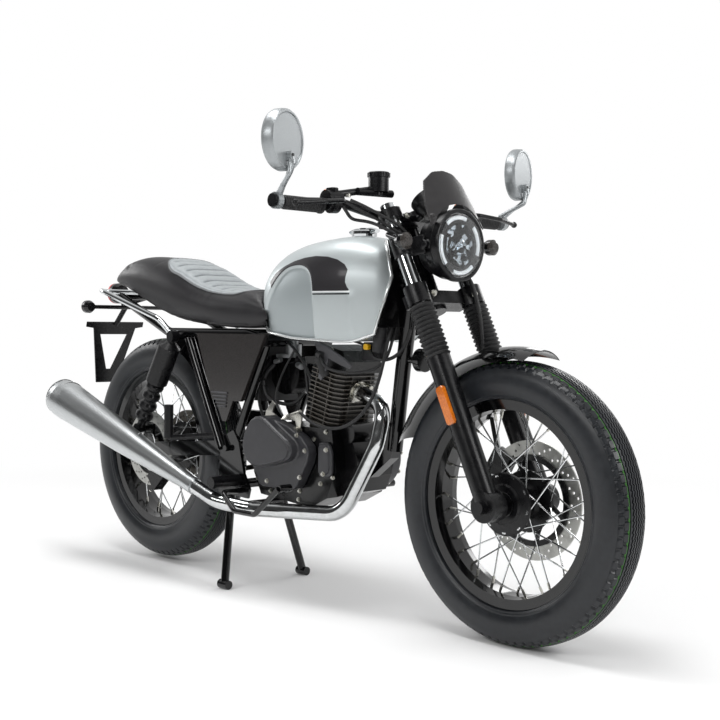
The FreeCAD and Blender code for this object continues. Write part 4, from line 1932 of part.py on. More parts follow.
def side_stand():
    """The left stand, folded up to the rear."""
    face = float(d.peg_plate_half_spacing + d.peg_plate_thickness / 2 + d.fit_gap)
    tilt = math.radians(float(d.side_stand_tilt_angle))
    eye_radius = float(d.stand_tube_radius) * 1.3
    out = V(-math.sin(tilt), math.cos(tilt), 0)
    pivot = V(float(d.side_stand_x), face + float(d.side_stand_reach), float(d.side_stand_z))
    end = pivot - V(float(d.side_stand_length), 0, 0)
    leg = rod("SideLeg", pivot, end, d.stand_tube_radius * 0.8)
    inward = (float(d.side_stand_reach) - eye_radius * math.sin(tilt)) / math.cos(tilt)
    eye = rod("SideEye", pivot - out * inward, pivot + out * float(d.stand_tube_radius), d.stand_tube_radius * 1.3)
    foot = block("SideFoot", (end.x - float(d.stand_foot_radius), end.y - float(d.stand_tube_radius), end.z
                              - float(d.stand_tube_radius) * 0.8),
                 (d.stand_foot_radius, d.stand_tube_radius * 2, d.stand_tube_radius * 2.6))
    keep("side_stand", joined("side_stand", [leg, eye, foot]))


def finish_and_write():
    doc.recompute()
    for piece in doc.Objects:
        bad = [word for word in piece.State if word in ("Invalid", "Error")]
        if bad:
            raise RuntimeError(f"{piece.Name} is {bad}")
    os.makedirs("parts", exist_ok=True)
    for label, piece in made.items():
        shape = piece.Shape
        if shape.isNull() or not shape.isValid() or not shape.Solids:
            raise RuntimeError(f"{label} has no valid solid")
        shape.exportStep(f"parts/{label}.step")
        print(f"{label}: {len(shape.Solids)} solids, {shape.Volume / 1000.0:.1f} cm3")


wheels()
fork()
handlebar()
mirrors()
lamp()
gauge()
fenders()
tank()
seat()
frame()
swinging_arm()
shocks()
engine()
exhaust()
side_panels()
tail()
rear_fittings()
front_indicators()
fly_screen()
calipers()
chain()
foot_controls()
horn()
centre_stand()
side_stand()
finish_and_write()
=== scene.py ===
import math

import bmesh
import bpy
import numpy as np
from mathutils import Matrix, Vector
from mathutils.bvhtree import BVHTree


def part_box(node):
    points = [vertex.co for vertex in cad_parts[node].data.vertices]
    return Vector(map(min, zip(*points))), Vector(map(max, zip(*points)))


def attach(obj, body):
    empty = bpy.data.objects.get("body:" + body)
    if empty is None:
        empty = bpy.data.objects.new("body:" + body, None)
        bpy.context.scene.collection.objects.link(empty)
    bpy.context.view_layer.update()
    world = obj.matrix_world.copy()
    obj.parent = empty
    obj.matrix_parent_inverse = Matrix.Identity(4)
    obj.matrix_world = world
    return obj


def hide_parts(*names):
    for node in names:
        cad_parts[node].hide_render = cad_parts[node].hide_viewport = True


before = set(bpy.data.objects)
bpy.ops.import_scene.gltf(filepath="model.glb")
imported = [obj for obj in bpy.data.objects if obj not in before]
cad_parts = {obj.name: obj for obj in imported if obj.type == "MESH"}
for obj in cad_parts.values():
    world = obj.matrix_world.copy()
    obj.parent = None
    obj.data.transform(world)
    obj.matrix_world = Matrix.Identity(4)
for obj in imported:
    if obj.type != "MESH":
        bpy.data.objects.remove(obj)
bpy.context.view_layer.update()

# Studio
# The machine stands on a seamless white floor that fades into the white room behind it. Long
# soft lamps hang above and round it, and the wall on the camera's side of the room is dark.

CAMERA_PLACE = Vector((2.975, -2.086, 0.704))
CAMERA_AZIMUTH = math.radians(45.947)
CAMERA_ELEVATION = math.radians(1.663)
CAMERA_ROLL = math.radians(0.554)
CAMERA_LENS = 59.89
FLOOR_RADIUS = 9.0
FLOOR_MIDDLE = (0.65, 0.0, 0.0)
FLOOR_SIDES = 96
FLOOR_CLEAR_RADIUS = 1.6
FLOOR_FADE_RADIUS = 3.2
WALL_BLEND = 0.55
ROOM_LIGHT = 0.50
PALE_WALL_LIGHT = 0.70
DARK_WALL_LIGHT = 0.05
DARK_WALL_SIDE = Vector((0.12, -0.97, 0.12))
SOFT_LAMPS = {
    "lamp_overhead": ((0.5, -0.5, 3.0), (2.8, 0.8), 46.0),
    "lamp_right": ((0.9, -3.4, 2.3), (3.4, 0.5), 40.0),
    "lamp_front": ((3.6, 0.2, 1.8), (1.6, 0.6), 24.0),
    "lamp_left": ((0.2, 3.2, 1.9), (2.4, 0.8), 26.0),
    "lamp_behind": ((-3.0, -0.6, 1.8), (1.6, 0.8), 22.0),
}
LAMP_AIM = Vector((0.6, 0.0, 0.5))


def linear(code):
    """An sRGB hex colour as the linear colour that a shader takes."""
    parts = [int(code[i:i + 2], 16) / 255 for i in (1, 3, 5)]
    return [c / 12.92 if c <= 0.04045 else ((c + 0.055) / 1.055) ** 2.4 for c in parts] + [1.0]


def add(tree, kind, settings=None, links=None):
    """One node with its settings and links, each named by the property or the socket.

    A link comes from an output or from a node, which then gives its first output.
    """
    made = tree.nodes.new("ShaderNode" + kind)
    for name, value in (settings or {}).items():
        if isinstance(name, str) and hasattr(made, name):
            setattr(made, name, value)
        else:
            made.inputs[name].default_value = value
    for name, source in (links or {}).items():
        output = source.outputs[0] if hasattr(source, "outputs") else source
        tree.links.new(output, made.inputs[name])
    return made


def put(name, data):
    """A new object in the scene."""
    made = bpy.data.objects.new(name, data)
    bpy.context.scene.collection.objects.link(made)
    return made


def on_circle(radius, turn, height=0.0):
    """A point at an angle on a circle round Z."""
    return radius * math.cos(turn), radius * math.sin(turn), height


def make_camera():
    data = bpy.data.cameras.new("camera")
    data.lens = CAMERA_LENS
    camera = put("camera", data)
    bpy.context.scene.camera = camera
    flat = math.cos(CAMERA_ELEVATION)
    back = Vector((math.sin(CAMERA_AZIMUTH) * flat, -math.cos(CAMERA_AZIMUTH) * flat,
                   math.sin(CAMERA_ELEVATION)))
    right = Vector((0, 0, 1)).cross(back).normalized()
    up = back.cross(right)
    turned_right = right * math.cos(CAMERA_ROLL) + up * math.sin(CAMERA_ROLL)
    turned_up = up * math.cos(CAMERA_ROLL) - right * math.sin(CAMERA_ROLL)
    turn = Matrix((turned_right, turned_up, back)).transposed()
    camera.matrix_world = Matrix.LocRotScale(CAMERA_PLACE, turn, None)


def make_room():
    world = bpy.data.worlds.new("white_room")
    bpy.context.scene.world = world
    world.use_nodes = True
    tree = world.node_tree
    tree.nodes.clear()
    path = add(tree, "LightPath").outputs
    place = add(tree, "TexCoord").outputs["Generated"]
    toward = add(tree, "VectorMath", {"operation": "DOT_PRODUCT", 1: DARK_WALL_SIDE.normalized()},
                 {0: place})
    wall = add(tree, "MapRange", {
        "interpolation_type": "SMOOTHSTEP", "From Min": 0.0, "From Max": WALL_BLEND,
        "To Min": PALE_WALL_LIGHT, "To Max": DARK_WALL_LIGHT}, {"Value": toward.outputs["Value"]})
    lit = add(tree, "MapRange", {"To Min": ROOM_LIGHT},
              {"Value": path["Is Glossy Ray"], "To Max": wall})
    clear = add(tree, "Math", {"operation": "MAXIMUM"},
                {0: path["Is Camera Ray"], 1: path["Is Transmission Ray"]})
    level = add(tree, "MapRange", {"To Max": 1.0}, {"Value": clear, "To Min": lit})
    light = add(tree, "Background", {"Color": linear("#ffffff")}, {"Strength": level})
    add(tree, "OutputWorld", None, {"Surface": light})


def make_floor():
    mesh = bpy.data.meshes.new("studio_floor")
    ring = [on_circle(FLOOR_RADIUS, 2 * math.pi * i / FLOOR_SIDES) for i in range(FLOOR_SIDES)]
    mesh.from_pydata(ring, [], [list(range(FLOOR_SIDES))])
    paper = bpy.data.materials.new("white_paper")
    paper.use_nodes = True
    tree = paper.node_tree
    tree.nodes.clear()
    place = add(tree, "TexCoord").outputs["Object"]
    reach = add(tree, "VectorMath", {"operation": "DISTANCE", 1: FLOOR_MIDDLE}, {0: place})
    fade = add(tree, "MapRange", {
        "interpolation_type": "SMOOTHSTEP", "From Min": FLOOR_CLEAR_RADIUS,
        "From Max": FLOOR_FADE_RADIUS}, {"Value": reach.outputs["Value"]})
    sheet = add(tree, "BsdfDiffuse", {"Color": linear("#f7f7f7")})
    white = add(tree, "Emission", {"Color": linear("#ffffff"), "Strength": 1.0})
    mixed = add(tree, "MixShader", None, {0: fade, 1: sheet, 2: white})
    add(tree, "OutputMaterial", None, {"Surface": mixed})
    mesh.materials.append(paper)
    floor = put("studio_floor", mesh)


def make_lamps():
    for name, (place, size, power) in SOFT_LAMPS.items():
        data = bpy.data.lights.new(name, "AREA")
        data.shape = "RECTANGLE"
        data.size, data.size_y = size
        data.energy = power
        lamp = put(name, data)
        lamp.location = place
        lamp.rotation_mode = "QUATERNION"
        lamp.rotation_quaternion = (LAMP_AIM - lamp.location).to_track_quat("-Z", "Y")


bpy.context.scene.view_settings.view_transform = "Standard"
make_camera()
make_room()
make_floor()
make_lamps()

# Frame
# Welded steel tubes and plates: one big backbone, a down tube, the seat rails and the stays round
# the engine, with the swinging arm behind. All are powder coated in gloss black.

MILLIMETRE = 0.001
CLOUD_SCALE = 0.05
NOISE_LOW, NOISE_HIGH = 0.35, 0.65
METAL = {"Metallic": 1.0}


def new_finish(name, settings):
    """A new material with its shader's settings, and its tree, its shader and where it reads."""
    made = bpy.data.materials.new(name)
    made.use_nodes = True
    tree = made.node_tree
    shader = tree.nodes["Principled BSDF"]
    for socket, value in (settings or {}).items():
        shader.inputs[socket].default_value = value
    return made, tree, shader, add(tree, "TexCoord").outputs["Object"]


def wire(tree, shader, colour, shine=None, bump=None):
    """Joins a colour, a roughness and a relief to a shader."""
    for made, socket in ((colour, "Base Color"), (shine, "Roughness"), (bump, "Normal")):
        if made:
            tree.links.new(made.outputs[0], shader.inputs[socket])


def surface(name, colours, grain, rough, relief=0.0, settings=None, mottle=0.5):
    """A finish whose grain mixes two colours and roughnesses; mottle adds soft clouds.

    The grain's width and the relief's height are in millimetres.
    """
    made, tree, shader, place = new_finish(name, settings)
    grain = grain * MILLIMETRE
    noise = add(tree, "TexNoise", {"Scale": 1 / grain, "Detail": 5.0}, {"Vector": place})
    broad = add(tree, "TexNoise", {"Scale": CLOUD_SCALE / grain, "Detail": 2.0}, {"Vector": place})
    clouds = add(tree, "Math", {"operation": "MULTIPLY", 1: mottle}, {0: broad.outputs["Fac"]})
    both = add(tree, "Math", {"operation": "MULTIPLY_ADD", 1: 1.0 - mottle},
               {0: noise.outputs["Fac"], 2: clouds})
    share = add(tree, "MapRange", {"From Min": NOISE_LOW, "From Max": NOISE_HIGH},
                {"Value": both})
    colour = add(tree, "MixRGB", {"Color1": linear(colours[0]), "Color2": linear(colours[1])},
                 {"Fac": share})
    shine = add(tree, "MapRange", {"To Min": rough[0], "To Max": rough[1]}, {"Value": share})
    bump = relief and add(tree, "Bump", {"Strength": 1.0, "Distance": relief * MILLIMETRE},
                          {"Height": noise.outputs["Fac"]})
    wire(tree, shader, colour, shine, bump)
    return made


def opened(finish):
    """A finish's tree and shader, its colour so far and where it reads, to paint more over it."""
    tree = finish.node_tree
    shader = tree.nodes["Principled BSDF"]
    plain = shader.inputs["Base Color"].links[0].from_socket
    return tree, shader, plain, add(tree, "TexCoord").outputs["Object"]


def finish_nodes(finish, *names):
    """Gives these CAD nodes a finish."""
    for name in names:
        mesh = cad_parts[name].data
        mesh.materials.clear()
        mesh.materials.append(finish)


# Powder coat: deep black under a hard clear gloss, with faint orange peel about 4 mm wide.
GLOSS_BLACK = surface("gloss_black_powder_coat", ("#050506", "#09090a"), 4, (0.08, 0.14), 0.02,
                      {"Specular IOR Level": 0.45, "Coat Weight": 0.25, "Coat Roughness": 0.04})
finish_nodes(GLOSS_BLACK, "frame_backbone", "frame_down_tube", "frame_stays", "seat_rails",
             "swinging_arm", "front_fender", "rear_fender", "horn", "centre_stand", "side_stand",
             "rear_rim", "front_rim", "carburettor", "brake_pedal", "gear_lever")
# Satin enamel: soft black with a fine sprayed grain of about 1 mm, used on castings and brackets.
SATIN_BLACK = surface("satin_black_enamel", ("#08080a", "#0e0e10"), 1, (0.24, 0.34), 0.02,
                      {"Specular IOR Level": 0.35})
finish_nodes(SATIN_BLACK, "lower_yoke", "upper_yoke", "fork_lowers", "front_caliper",
             "rear_caliper", "chain_guard", "rider_pegs", "passenger_pegs", "plate_bracket",
             "handlebar", "bar_controls", "rear_shocks", "gauge")
# Moulded plastic: black with a leathery mould grain of about 1.5 mm.
BLACK_PLASTIC = surface("moulded_black_plastic", ("#19191b", "#212123"), 1.5, (0.48, 0.60), 0.05)
finish_nodes(BLACK_PLASTIC, "air_box")
# Textured screen plastic: dark brown-grey with a fine leather grain of about 1 mm.
SCREEN_VINYL = surface("textured_screen_plastic", ("#1b191a", "#232122"), 1, (0.36, 0.46), 0.06)

# Engine
# An air-cooled single: black cast cases with a finned cylinder and head, and dark grey covers over
# the clutch at the right and the generator at the left, each held by a ring of plated screws.

CYLINDER_TILT = math.radians(12.5)
CYLINDER_LEAN = Vector((math.sin(CYLINDER_TILT), 0.0, math.cos(CYLINDER_TILT)))
CYLINDER_FOOT = Vector((0.740, 0.0, 0.4483))
HEAD_COVER_AT = 0.1500
CLUTCH_SCREWS = ((0.556, 0.330), (0.612, 0.303), (0.675, 0.293), (0.738, 0.324), (0.757, 0.392),
                 (0.726, 0.428), (0.664, 0.456), (0.560, 0.446), (0.808, 0.338), (0.818, 0.398))
CASE_SCREWS = ((0.704, 0.284), (0.756, 0.419), (0.800, 0.440), (0.826, 0.330), (0.782, 0.310),
               (0.540, 0.300), (0.590, 0.272), (0.700, 0.262), (0.560, 0.436))
HEAD_SCREWS = ((0.780, 0.640), (0.862, 0.628), (0.900, 0.604), (0.800, 0.664))
GENERATOR_AT = (0.765, 0.362)
GENERATOR_SCREWS = 9
GENERATOR_FIRST_TURN = 0.2
GENERATOR_SCREW_RADIUS = 0.071
SCREW_SIZE = (0.0045, 0.005)
HEAD_SCREW_SIZE = (0.006, 0.007)
BESIDE_MACHINE = 0.3
PLUG_PLATE = ((0.745, 0.658), (0.752, 0.668), (0.800, 0.648), (0.856, 0.622), (0.880, 0.606),
              (0.874, 0.598), (0.850, 0.604), (0.822, 0.614), (0.800, 0.622), (0.790, 0.590),
              (0.772, 0.566), (0.760, 0.572), (0.768, 0.610), (0.764, 0.634))
CLUTCH_ARM = ((0.640, 0.462), (0.655, 0.474), (0.690, 0.480), (0.716, 0.490), (0.724, 0.478),
              (0.716, 0.444), (0.706, 0.436), (0.700, 0.462), (0.676, 0.462))
CABLE_BRACKET = ((0.566, 0.452), (0.574, 0.480), (0.600, 0.508), (0.612, 0.500), (0.600, 0.478),
                 (0.618, 0.470), (0.606, 0.456))
# A rod is its two ends, its radius and the number of its sides.
CLUTCH_SPINDLE = ((0.708, -0.101, 0.438), (0.708, -0.118, 0.438), 0.009, 20)
CLUTCH_CABLE_END = ((0.650, -0.101, 0.468), (0.722, -0.112, 0.488), 0.0035, 10)
PLUG_CAP_TOP = Vector((0.768, -0.092, 0.624))
PLUG_CAP_FOOT = Vector((0.780, -0.078, 0.578))
PLUG_CAP_ELBOW = ((0.764, -0.090, 0.630), (0.782, -0.094, 0.626), 0.010, 16)
LEAD_SIDES = 10
NEARLY_UPRIGHT = 0.2
# A run is the radius of a lead and the places that it passes.
SPARK_LEADS = (
    (0.0038, ((0.776, -0.094, 0.628), (0.800, -0.104, 0.606), (0.855, -0.100, 0.590),
              (0.905, -0.080, 0.590), (0.946, -0.050, 0.612), (0.958, -0.030, 0.660),
              (0.950, -0.010, 0.700))),
    (0.0030, ((0.640, -0.100, 0.470), (0.612, -0.098, 0.500), (0.604, -0.080, 0.560),
              (0.640, -0.060, 0.640))),
)
CLUTCH_CABLE = (
    (0.0042, ((0.716, -0.108, 0.484), (0.760, -0.112, 0.464), (0.820, -0.112, 0.452),
              (0.880, -0.108, 0.460), (0.930, -0.098, 0.494), (0.962, -0.086, 0.552),
              (0.972, -0.070, 0.620), (0.968, -0.045, 0.690), (0.975, -0.020, 0.760))),
)
BREATHER_HOSES = (
    (0.0050, ((0.560, -0.060, 0.600), (0.540, -0.078, 0.560), (0.552, -0.080, 0.520),
              (0.600, -0.074, 0.500), (0.650, -0.064, 0.505), (0.668, -0.050, 0.530))),
    (0.0040, ((0.530, -0.050, 0.610), (0.516, -0.072, 0.560), (0.520, -0.080, 0.500),
              (0.530, -0.070, 0.450))),
    (0.0046, ((0.668, -0.055, 0.620), (0.690, -0.062, 0.560), (0.700, -0.066, 0.500),
              (0.690, -0.060, 0.460))),
    (0.0036, ((0.596, -0.050, 0.660), (0.640, -0.062, 0.640), (0.690, -0.070, 0.600),
              (0.720, -0.074, 0.560))),
)


def smooth(mesh, angle=None):
    """Smooth shading; with an angle, edges sharper than it stay crisp."""
    mesh.polygons.foreach_set("use_smooth", [True] * len(mesh.polygons))
    if angle:
        mesh.set_sharp_from_angle(angle=math.radians(angle))
    mesh.update()


def joined(name, body, finish, shapes, smooth_angle=40.0):
    """Shapes joined in one piece on a body; a shape is points, faces and maybe a placement."""
    points, faces = [], []
    for own_points, own_faces, *place in shapes:
        start = len(points)
        points += [tuple(place[0] @ Vector(p) if place else Vector(p)) for p in own_points]
        faces += [[index + start for index in face] for face in own_faces]
    mesh = bpy.data.meshes.new(name)
    mesh.from_pydata(points, [], faces)
    mesh.materials.append(finish)
    smooth(mesh, smooth_angle)
    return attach(put(name, mesh), body)


def skin(rings, count, round_ring=True, ends_meet=False):
    """The faces between rings of so many points each, listed ring by ring."""
    faces = []
    for ring in range(rings if ends_meet else rings - 1):
        here, after = ring * count, (ring + 1) % rings * count
        for i in range(count if round_ring else count - 1):
            j = (i + 1) % count
            faces.append([here + i, here + j, after + j, after + i])
    return faces


def capped(rings, count):
    """The same with a face over the first and the last ring."""
    first, last = list(range(count)), (rings - 1) * count
    return skin(rings, count) + [first[::-1], [last + i for i in first]]


def inside_out(faces):
    """Four-cornered faces that look the other way."""
    return [[a, d, c, b] for a, b, c, d in faces]


def lathe(profile, steps):
    """A row of (radius, along) points turned about Z, as points and faces."""
    points = [on_circle(r, 2 * math.pi * i / steps, z) for i in range(steps) for r, z in profile]
    return points, inside_out(skin(steps, len(profile), False, True))


def facing(place, direction):
    """The placement that puts a turned shape's Z along a direction."""
    turn = Vector(direction).to_track_quat("Z", "Y")
    return Matrix.Translation(place) @ turn.to_matrix().to_4x4()


def screw_shape(radius, height):
    """A hex head on a thin round washer."""
    head, sides = lathe([(0, height), (radius * 0.9, height), (radius, height * 0.8),
                         (radius, height * 0.2)], 6)
    washer, rim = lathe([(radius, height * 0.2), (radius * 1.35, height * 0.2),
                         (radius * 1.35, -height * 0.4)], 16)
    return head + washer, sides + [[i + len(head) for i in face] for face in rim]


def rod_shape(start, end, radius, sides=8):
    """A plain round bar between two points."""
    start, end = Vector(start), Vector(end)
    long = (end - start).length
    points, faces = lathe([(0, 0), (radius, 0), (radius, long), (0, long)], sides)
    place = facing(start, end - start)
    return [place @ Vector(point) for point in points], faces


def shape_of(mesh):
    """A mesh as points and faces."""
    return [v.co.copy() for v in mesh.vertices], [list(p.vertices) for p in mesh.polygons]


SEEN_TREES = {}


def on_node(node, x, z, side):
    """The point of a CAD node that shows from one side of the machine at (x, z), or None."""
    if node not in SEEN_TREES:
        SEEN_TREES[node] = BVHTree.FromPolygons(*shape_of(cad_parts[node].data))
    start = Vector((x, side * BESIDE_MACHINE, z))
    return SEEN_TREES[node].ray_cast(start, Vector((0, -side, 0)))[0]


def screws(node, places, side, size=SCREW_SIZE):
    """Screws driven into a CAD node from one side, at those of the (x, z) places that meet it."""
    found = [on_node(node, x, z, side) for x, z in places]
    return [(*screw_shape(*size), facing(spot, (0, side, 0))) for spot in found if spot]


def spline_through(places, values, samples):
    """A natural cubic spline through the values at the places, read at the samples."""
    places, values = np.array(places, float), np.array(values, float)
    count = len(places)
    gaps = np.diff(places)
    system = np.zeros((count, count))
    right = np.zeros(count)
    system[0, 0] = system[-1, -1] = 1
    for i in range(1, count - 1):
        system[i, i - 1:i + 2] = gaps[i - 1], 2 * (gaps[i - 1] + gaps[i]), gaps[i]
        rise, before = values[i + 1] - values[i], values[i] - values[i - 1]
        right[i] = 3 * (rise / gaps[i] - before / gaps[i - 1])
    bend = np.linalg.solve(system, right)
    at = np.clip(np.searchsorted(places, samples) - 1, 0, count - 2)
    step = samples - places[at]
    slope = (values[at + 1] - values[at]) / gaps[at] - gaps[at] * (2 * bend[at] + bend[at + 1]) / 3
    twist = (bend[at + 1] - bend[at]) / (3 * gaps[at])
    return values[at] + slope * step + bend[at] * step ** 2 + twist * step ** 3


def swept(path, wide, high, sides):
    """An oval section carried along a path, closed at both ends."""
    points = []
    for index, here in enumerate(path):
        along = (path[min(index + 1, len(path) - 1)] - path[max(index - 1, 0)]).normalized()
        across = along.cross(Vector((0, 0, 1)))
        if across.length < NEARLY_UPRIGHT:
            across = along.cross(Vector((0, 1, 0)))
        across.normalize()
        up = across.cross(along)
        for step in range(sides):
            x, y, _ = on_circle(1.0, 2 * math.pi * step / sides)
            points.append(here + across * wide * x + up * high * y)
    return points, capped(len(path), sides)


def run_through(places, step=0.005):
    """A smooth path through some places, with a point at about each step."""
    places = [Vector(place) for place in places]
    along = [0.0]
    for a, b in zip(places, places[1:]):
        along.append(along[-1] + (b - a).length)
    samples = np.linspace(0, along[-1], max(int(along[-1] / step), 8))
    runs = [spline_through(along, [place[i] for place in places], samples) for i in range(3)]
    return [Vector(point) for point in zip(*runs)]


def leads(name, body, runs):
    """Round leads, hoses or cables joined in one piece."""
    shapes = [swept(run_through(places), size, size, LEAD_SIDES) for size, places in runs]
    joined(name, body, RUBBER, shapes, 60.0)


def plate_shape(outline, thickness, depth):
    """A flat plate with a chamfered face, from (x, z) places, set at a depth in the right side."""
    count = len(outline)
    middle = Vector((sum(x for x, _ in outline) / count, sum(z for _, z in outline) / count))
    points = []
    for scale, high in ((1.0, 0.0), (1.0, thickness * 0.7), (0.925, thickness)):
        for place in outline:
            x, z = middle + (Vector(place) - middle) * scale
            points.append((x, depth - high, z))
    return points, capped(3, count)


def as_shown(thing):
    """The mesh of an object with its modifiers applied."""
    graph = bpy.context.evaluated_depsgraph_get()
    return bpy.data.meshes.new_from_object(thing.evaluated_get(graph))


def even_copy(node, name, voxel, passes=0):
    """A copy of a CAD node in even faces, its edges rounded by some passes of smoothing."""
    copy = put(name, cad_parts[node].data.copy())
    remesh = copy.modifiers.new("even_faces", "REMESH")
    remesh.mode = "VOXEL"
    remesh.voxel_size = voxel
    if passes:
        round_off = copy.modifiers.new("round_off", "SMOOTH")
        round_off.factor = 0.5
        round_off.iterations = passes
    mesh = as_shown(copy)
    copy.modifiers.clear()
    copy.data = mesh
    mesh.materials.clear()
    return copy


def softened(node, body, finish, voxel=0.002, passes=6):
    """A CAD node's shape with its edges rounded as a casting's or a moulding's are."""
    soft = even_copy(node, node + "_soft", voxel, passes)
    soft.data.materials.append(finish)
    smooth(soft.data)
    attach(soft, body)
    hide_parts(node)


# Gaiter rubber: dull black with a dusty grain of about 1 mm.
RUBBER = surface("gaiter_rubber", ("#131314", "#1d1d1e"), 1, (0.45, 0.62), 0.03)
# Cast finish: black enamel over sand-cast aluminium, a pebbled grain of about 2 mm.
ENGINE_BLACK = surface("engine_black_enamel", ("#050506", "#0b0b0c"), 2, (0.14, 0.26), 0.08,
                       {"Specular IOR Level": 0.45})
finish_nodes(ENGINE_BLACK, "engine_cases")


def finned_casting():
    """Black enamel fins whose rims below the head cover carry a warm grey painted highlight."""
    made = surface("finned_black_casting", ("#080808", "#101010"), 2, (0.24, 0.36), 0.05)
    tree, shader, plain, place = opened(made)
    along_lean = {"operation": "DOT_PRODUCT", 1: CYLINDER_LEAN}
    flat = add(tree, "VectorMath", along_lean, {0: add(tree, "NewGeometry").outputs["Normal"]})
    face = add(tree, "Math", {"operation": "ABSOLUTE"}, {0: flat.outputs["Value"]})
    rim = add(tree, "MapRange", {"From Min": 0.35, "From Max": 0.10}, {"Value": face})
    high = add(tree, "VectorMath", along_lean, {0: place})
    cover_height = CYLINDER_FOOT.dot(CYLINDER_LEAN) + HEAD_COVER_AT
    below = add(tree, "Math", {"operation": "LESS_THAN", 1: cover_height},
                {0: high.outputs["Value"]})
    edge = add(tree, "Math", {"operation": "MULTIPLY"}, {0: rim, 1: below})
    # Painted highlight: the fin rims, the faces that look across the cylinder, are mixed towards a
    # warm grey.
    fin_rim_highlight = add(tree, "MixRGB", {"Color2": linear("#4c4843")}, {"Fac": edge, "Color1": plain})
    wire(tree, shader, fin_rim_highlight)
    return made


finish_nodes(finned_casting(), "engine_cylinder")
# Dark grey wrinkle paint on the covers: matt, with a dense grain of about 1 mm.
COVER_GREY = surface("grey_cover_paint", ("#2b2b2e", "#343437"), 1, (0.34, 0.42), 0.03)
softened("engine_covers", "frame", COVER_GREY)
# Zinc plate: bright steel with a faint yellow cast and soft edges in its shine.
ZINC = surface("zinc_plated_steel", ("#b9b7ae", "#d6d5cf"), 3, (0.22, 0.38), 0.0, METAL)

generator_ring = []
for index in range(GENERATOR_SCREWS):
    x, z, _ = on_circle(GENERATOR_SCREW_RADIUS,
                        GENERATOR_FIRST_TURN + 2 * math.pi * index / GENERATOR_SCREWS)
    generator_ring.append((GENERATOR_AT[0] + x, GENERATOR_AT[1] + z))
joined("engine_screws", "frame", ZINC,
       screws("engine_covers", CLUTCH_SCREWS, -1) + screws("engine_cases", CASE_SCREWS, -1)
       + screws("engine_cases", CASE_SCREWS, 1) + screws("engine_covers", generator_ring, 1))

# Moulded cover over the spark plug: dark grey plastic with a fine grain of about 2 mm.
COVER_PLASTIC = surface("grey_moulded_cover", ("#3a3a3d", "#48484b"), 2, (0.36, 0.46), 0.04)
joined("plug_cover", "frame", COVER_PLASTIC, [plate_shape(PLUG_PLATE, 0.006, -0.084)], 30.0)
joined("clutch_arm", "frame", ZINC, [
    *screws("engine_cylinder", HEAD_SCREWS, -1, HEAD_SCREW_SIZE),
    plate_shape(CLUTCH_ARM, 0.005, -0.104), plate_shape(CABLE_BRACKET, 0.004, -0.098),
    rod_shape(*CLUTCH_SPINDLE), rod_shape(*CLUTCH_CABLE_END)], 35.0)
boots = [rod_shape(PLUG_CAP_TOP, PLUG_CAP_FOOT, 0.013, 20), rod_shape(*PLUG_CAP_ELBOW)]
for index in range(4):
    ring = PLUG_CAP_TOP.lerp(PLUG_CAP_FOOT, 0.15 + 0.2 * index)
    along = (PLUG_CAP_FOOT - PLUG_CAP_TOP).normalized()
    boots.append(rod_shape(ring, ring + along * 0.003, 0.0145, 20))
joined("plug_cap", "frame", RUBBER, boots, 35.0)
leads("spark_lead", "frame", SPARK_LEADS)
leads("clutch_cable", "frame", CLUTCH_CABLE)
leads("breather_hoses", "frame", BREATHER_HOSES)

# Intake and exhaust
# A black carburettor with cast aluminium fittings feeds the head from behind. The polished steel
# header, held by a flange and two studs, falls in front of the engine, turns back below it and
# runs up into a cone silencer of brushed steel with three bands.

# Cast aluminium: dull silver with a fine pebble grain of about 1 mm.
CAST_ALUMINIUM = surface("cast_aluminium", ("#8d8f90", "#a9abac"), 1, (0.35, 0.5), 0.05, METAL)
# The scratches of brushed metal, in metres.
SCRATCH_LENGTH = 0.06
SCRATCH_PITCH = 0.0008
# The size of a bevelled box's front face, as shares of its width and height.
FACE_SHARES = (0.84, 0.95)


def brushed(name, colours, along, rough):
    """Brushed metal: scratches about 0.8 mm apart and 60 mm long that run along a direction."""
    made, tree, shader, place = new_finish(name, METAL)
    turn = Vector(along).to_track_quat("X", "Z").inverted().to_euler()
    lie = add(tree, "Mapping", {"Rotation": turn}, {"Vector": place})
    scratch = (1 / SCRATCH_LENGTH, 1 / SCRATCH_PITCH, 1 / SCRATCH_PITCH)
    stretch = add(tree, "Mapping", {"Scale": scratch}, {"Vector": lie})
    noise = add(tree, "TexNoise", {"Scale": 1.0, "Detail": 4.0}, {"Vector": stretch})
    share = noise.outputs["Fac"]
    shine = add(tree, "MapRange", {"To Min": rough[0], "To Max": rough[1]}, {"Value": share})
    bump = add(tree, "Bump", {"Strength": 0.4, "Distance": 0.05 * MILLIMETRE}, {"Height": share})
    colour = add(tree, "MixRGB", {"Color1": linear(colours[0]), "Color2": linear(colours[1])},
                 {"Fac": share})
    wire(tree, shader, colour, shine, bump)
    return made


def bevelled_box(size, bevel):
    """A box with cut corners, centred at its back face, as points and faces."""
    x, y, z = size[0] / 2, size[1], size[2] / 2
    outline = [(x - bevel, z), (x, z - bevel), (x, -z + bevel), (x - bevel, -z),
               (-x + bevel, -z), (-x, -z + bevel), (-x, z - bevel), (-x + bevel, z)]
    points = [(a, 0, b) for a, b in outline]
    points += [(a, -y + bevel / 2, b) for a, b in outline]
    points += [(a * FACE_SHARES[0], -y, b * FACE_SHARES[1]) for a, b in outline]
    return points, capped(3, 8)


MUFFLER_LINE = (0.357, 0.008, -0.212)
HEADER_PORT = Vector((0.822, -0.012, 0.542))
PORT_LINE = Vector((0.86, -0.14, -0.34)).normalized()
# Each ring of the flange: where it starts and ends along the port, and its radius.
FLANGE_RINGS = ((0.0, 0.010, 0.027), (0.010, 0.018, 0.022))
FLANGE_STUD_TURNS = (0.7, 3.84)
MUFFLER_REAR = Vector((-0.300, -0.198, 0.482))
MUFFLER_AXIS = (Vector((0.395, -0.155, 0.270)) - MUFFLER_REAR).normalized()
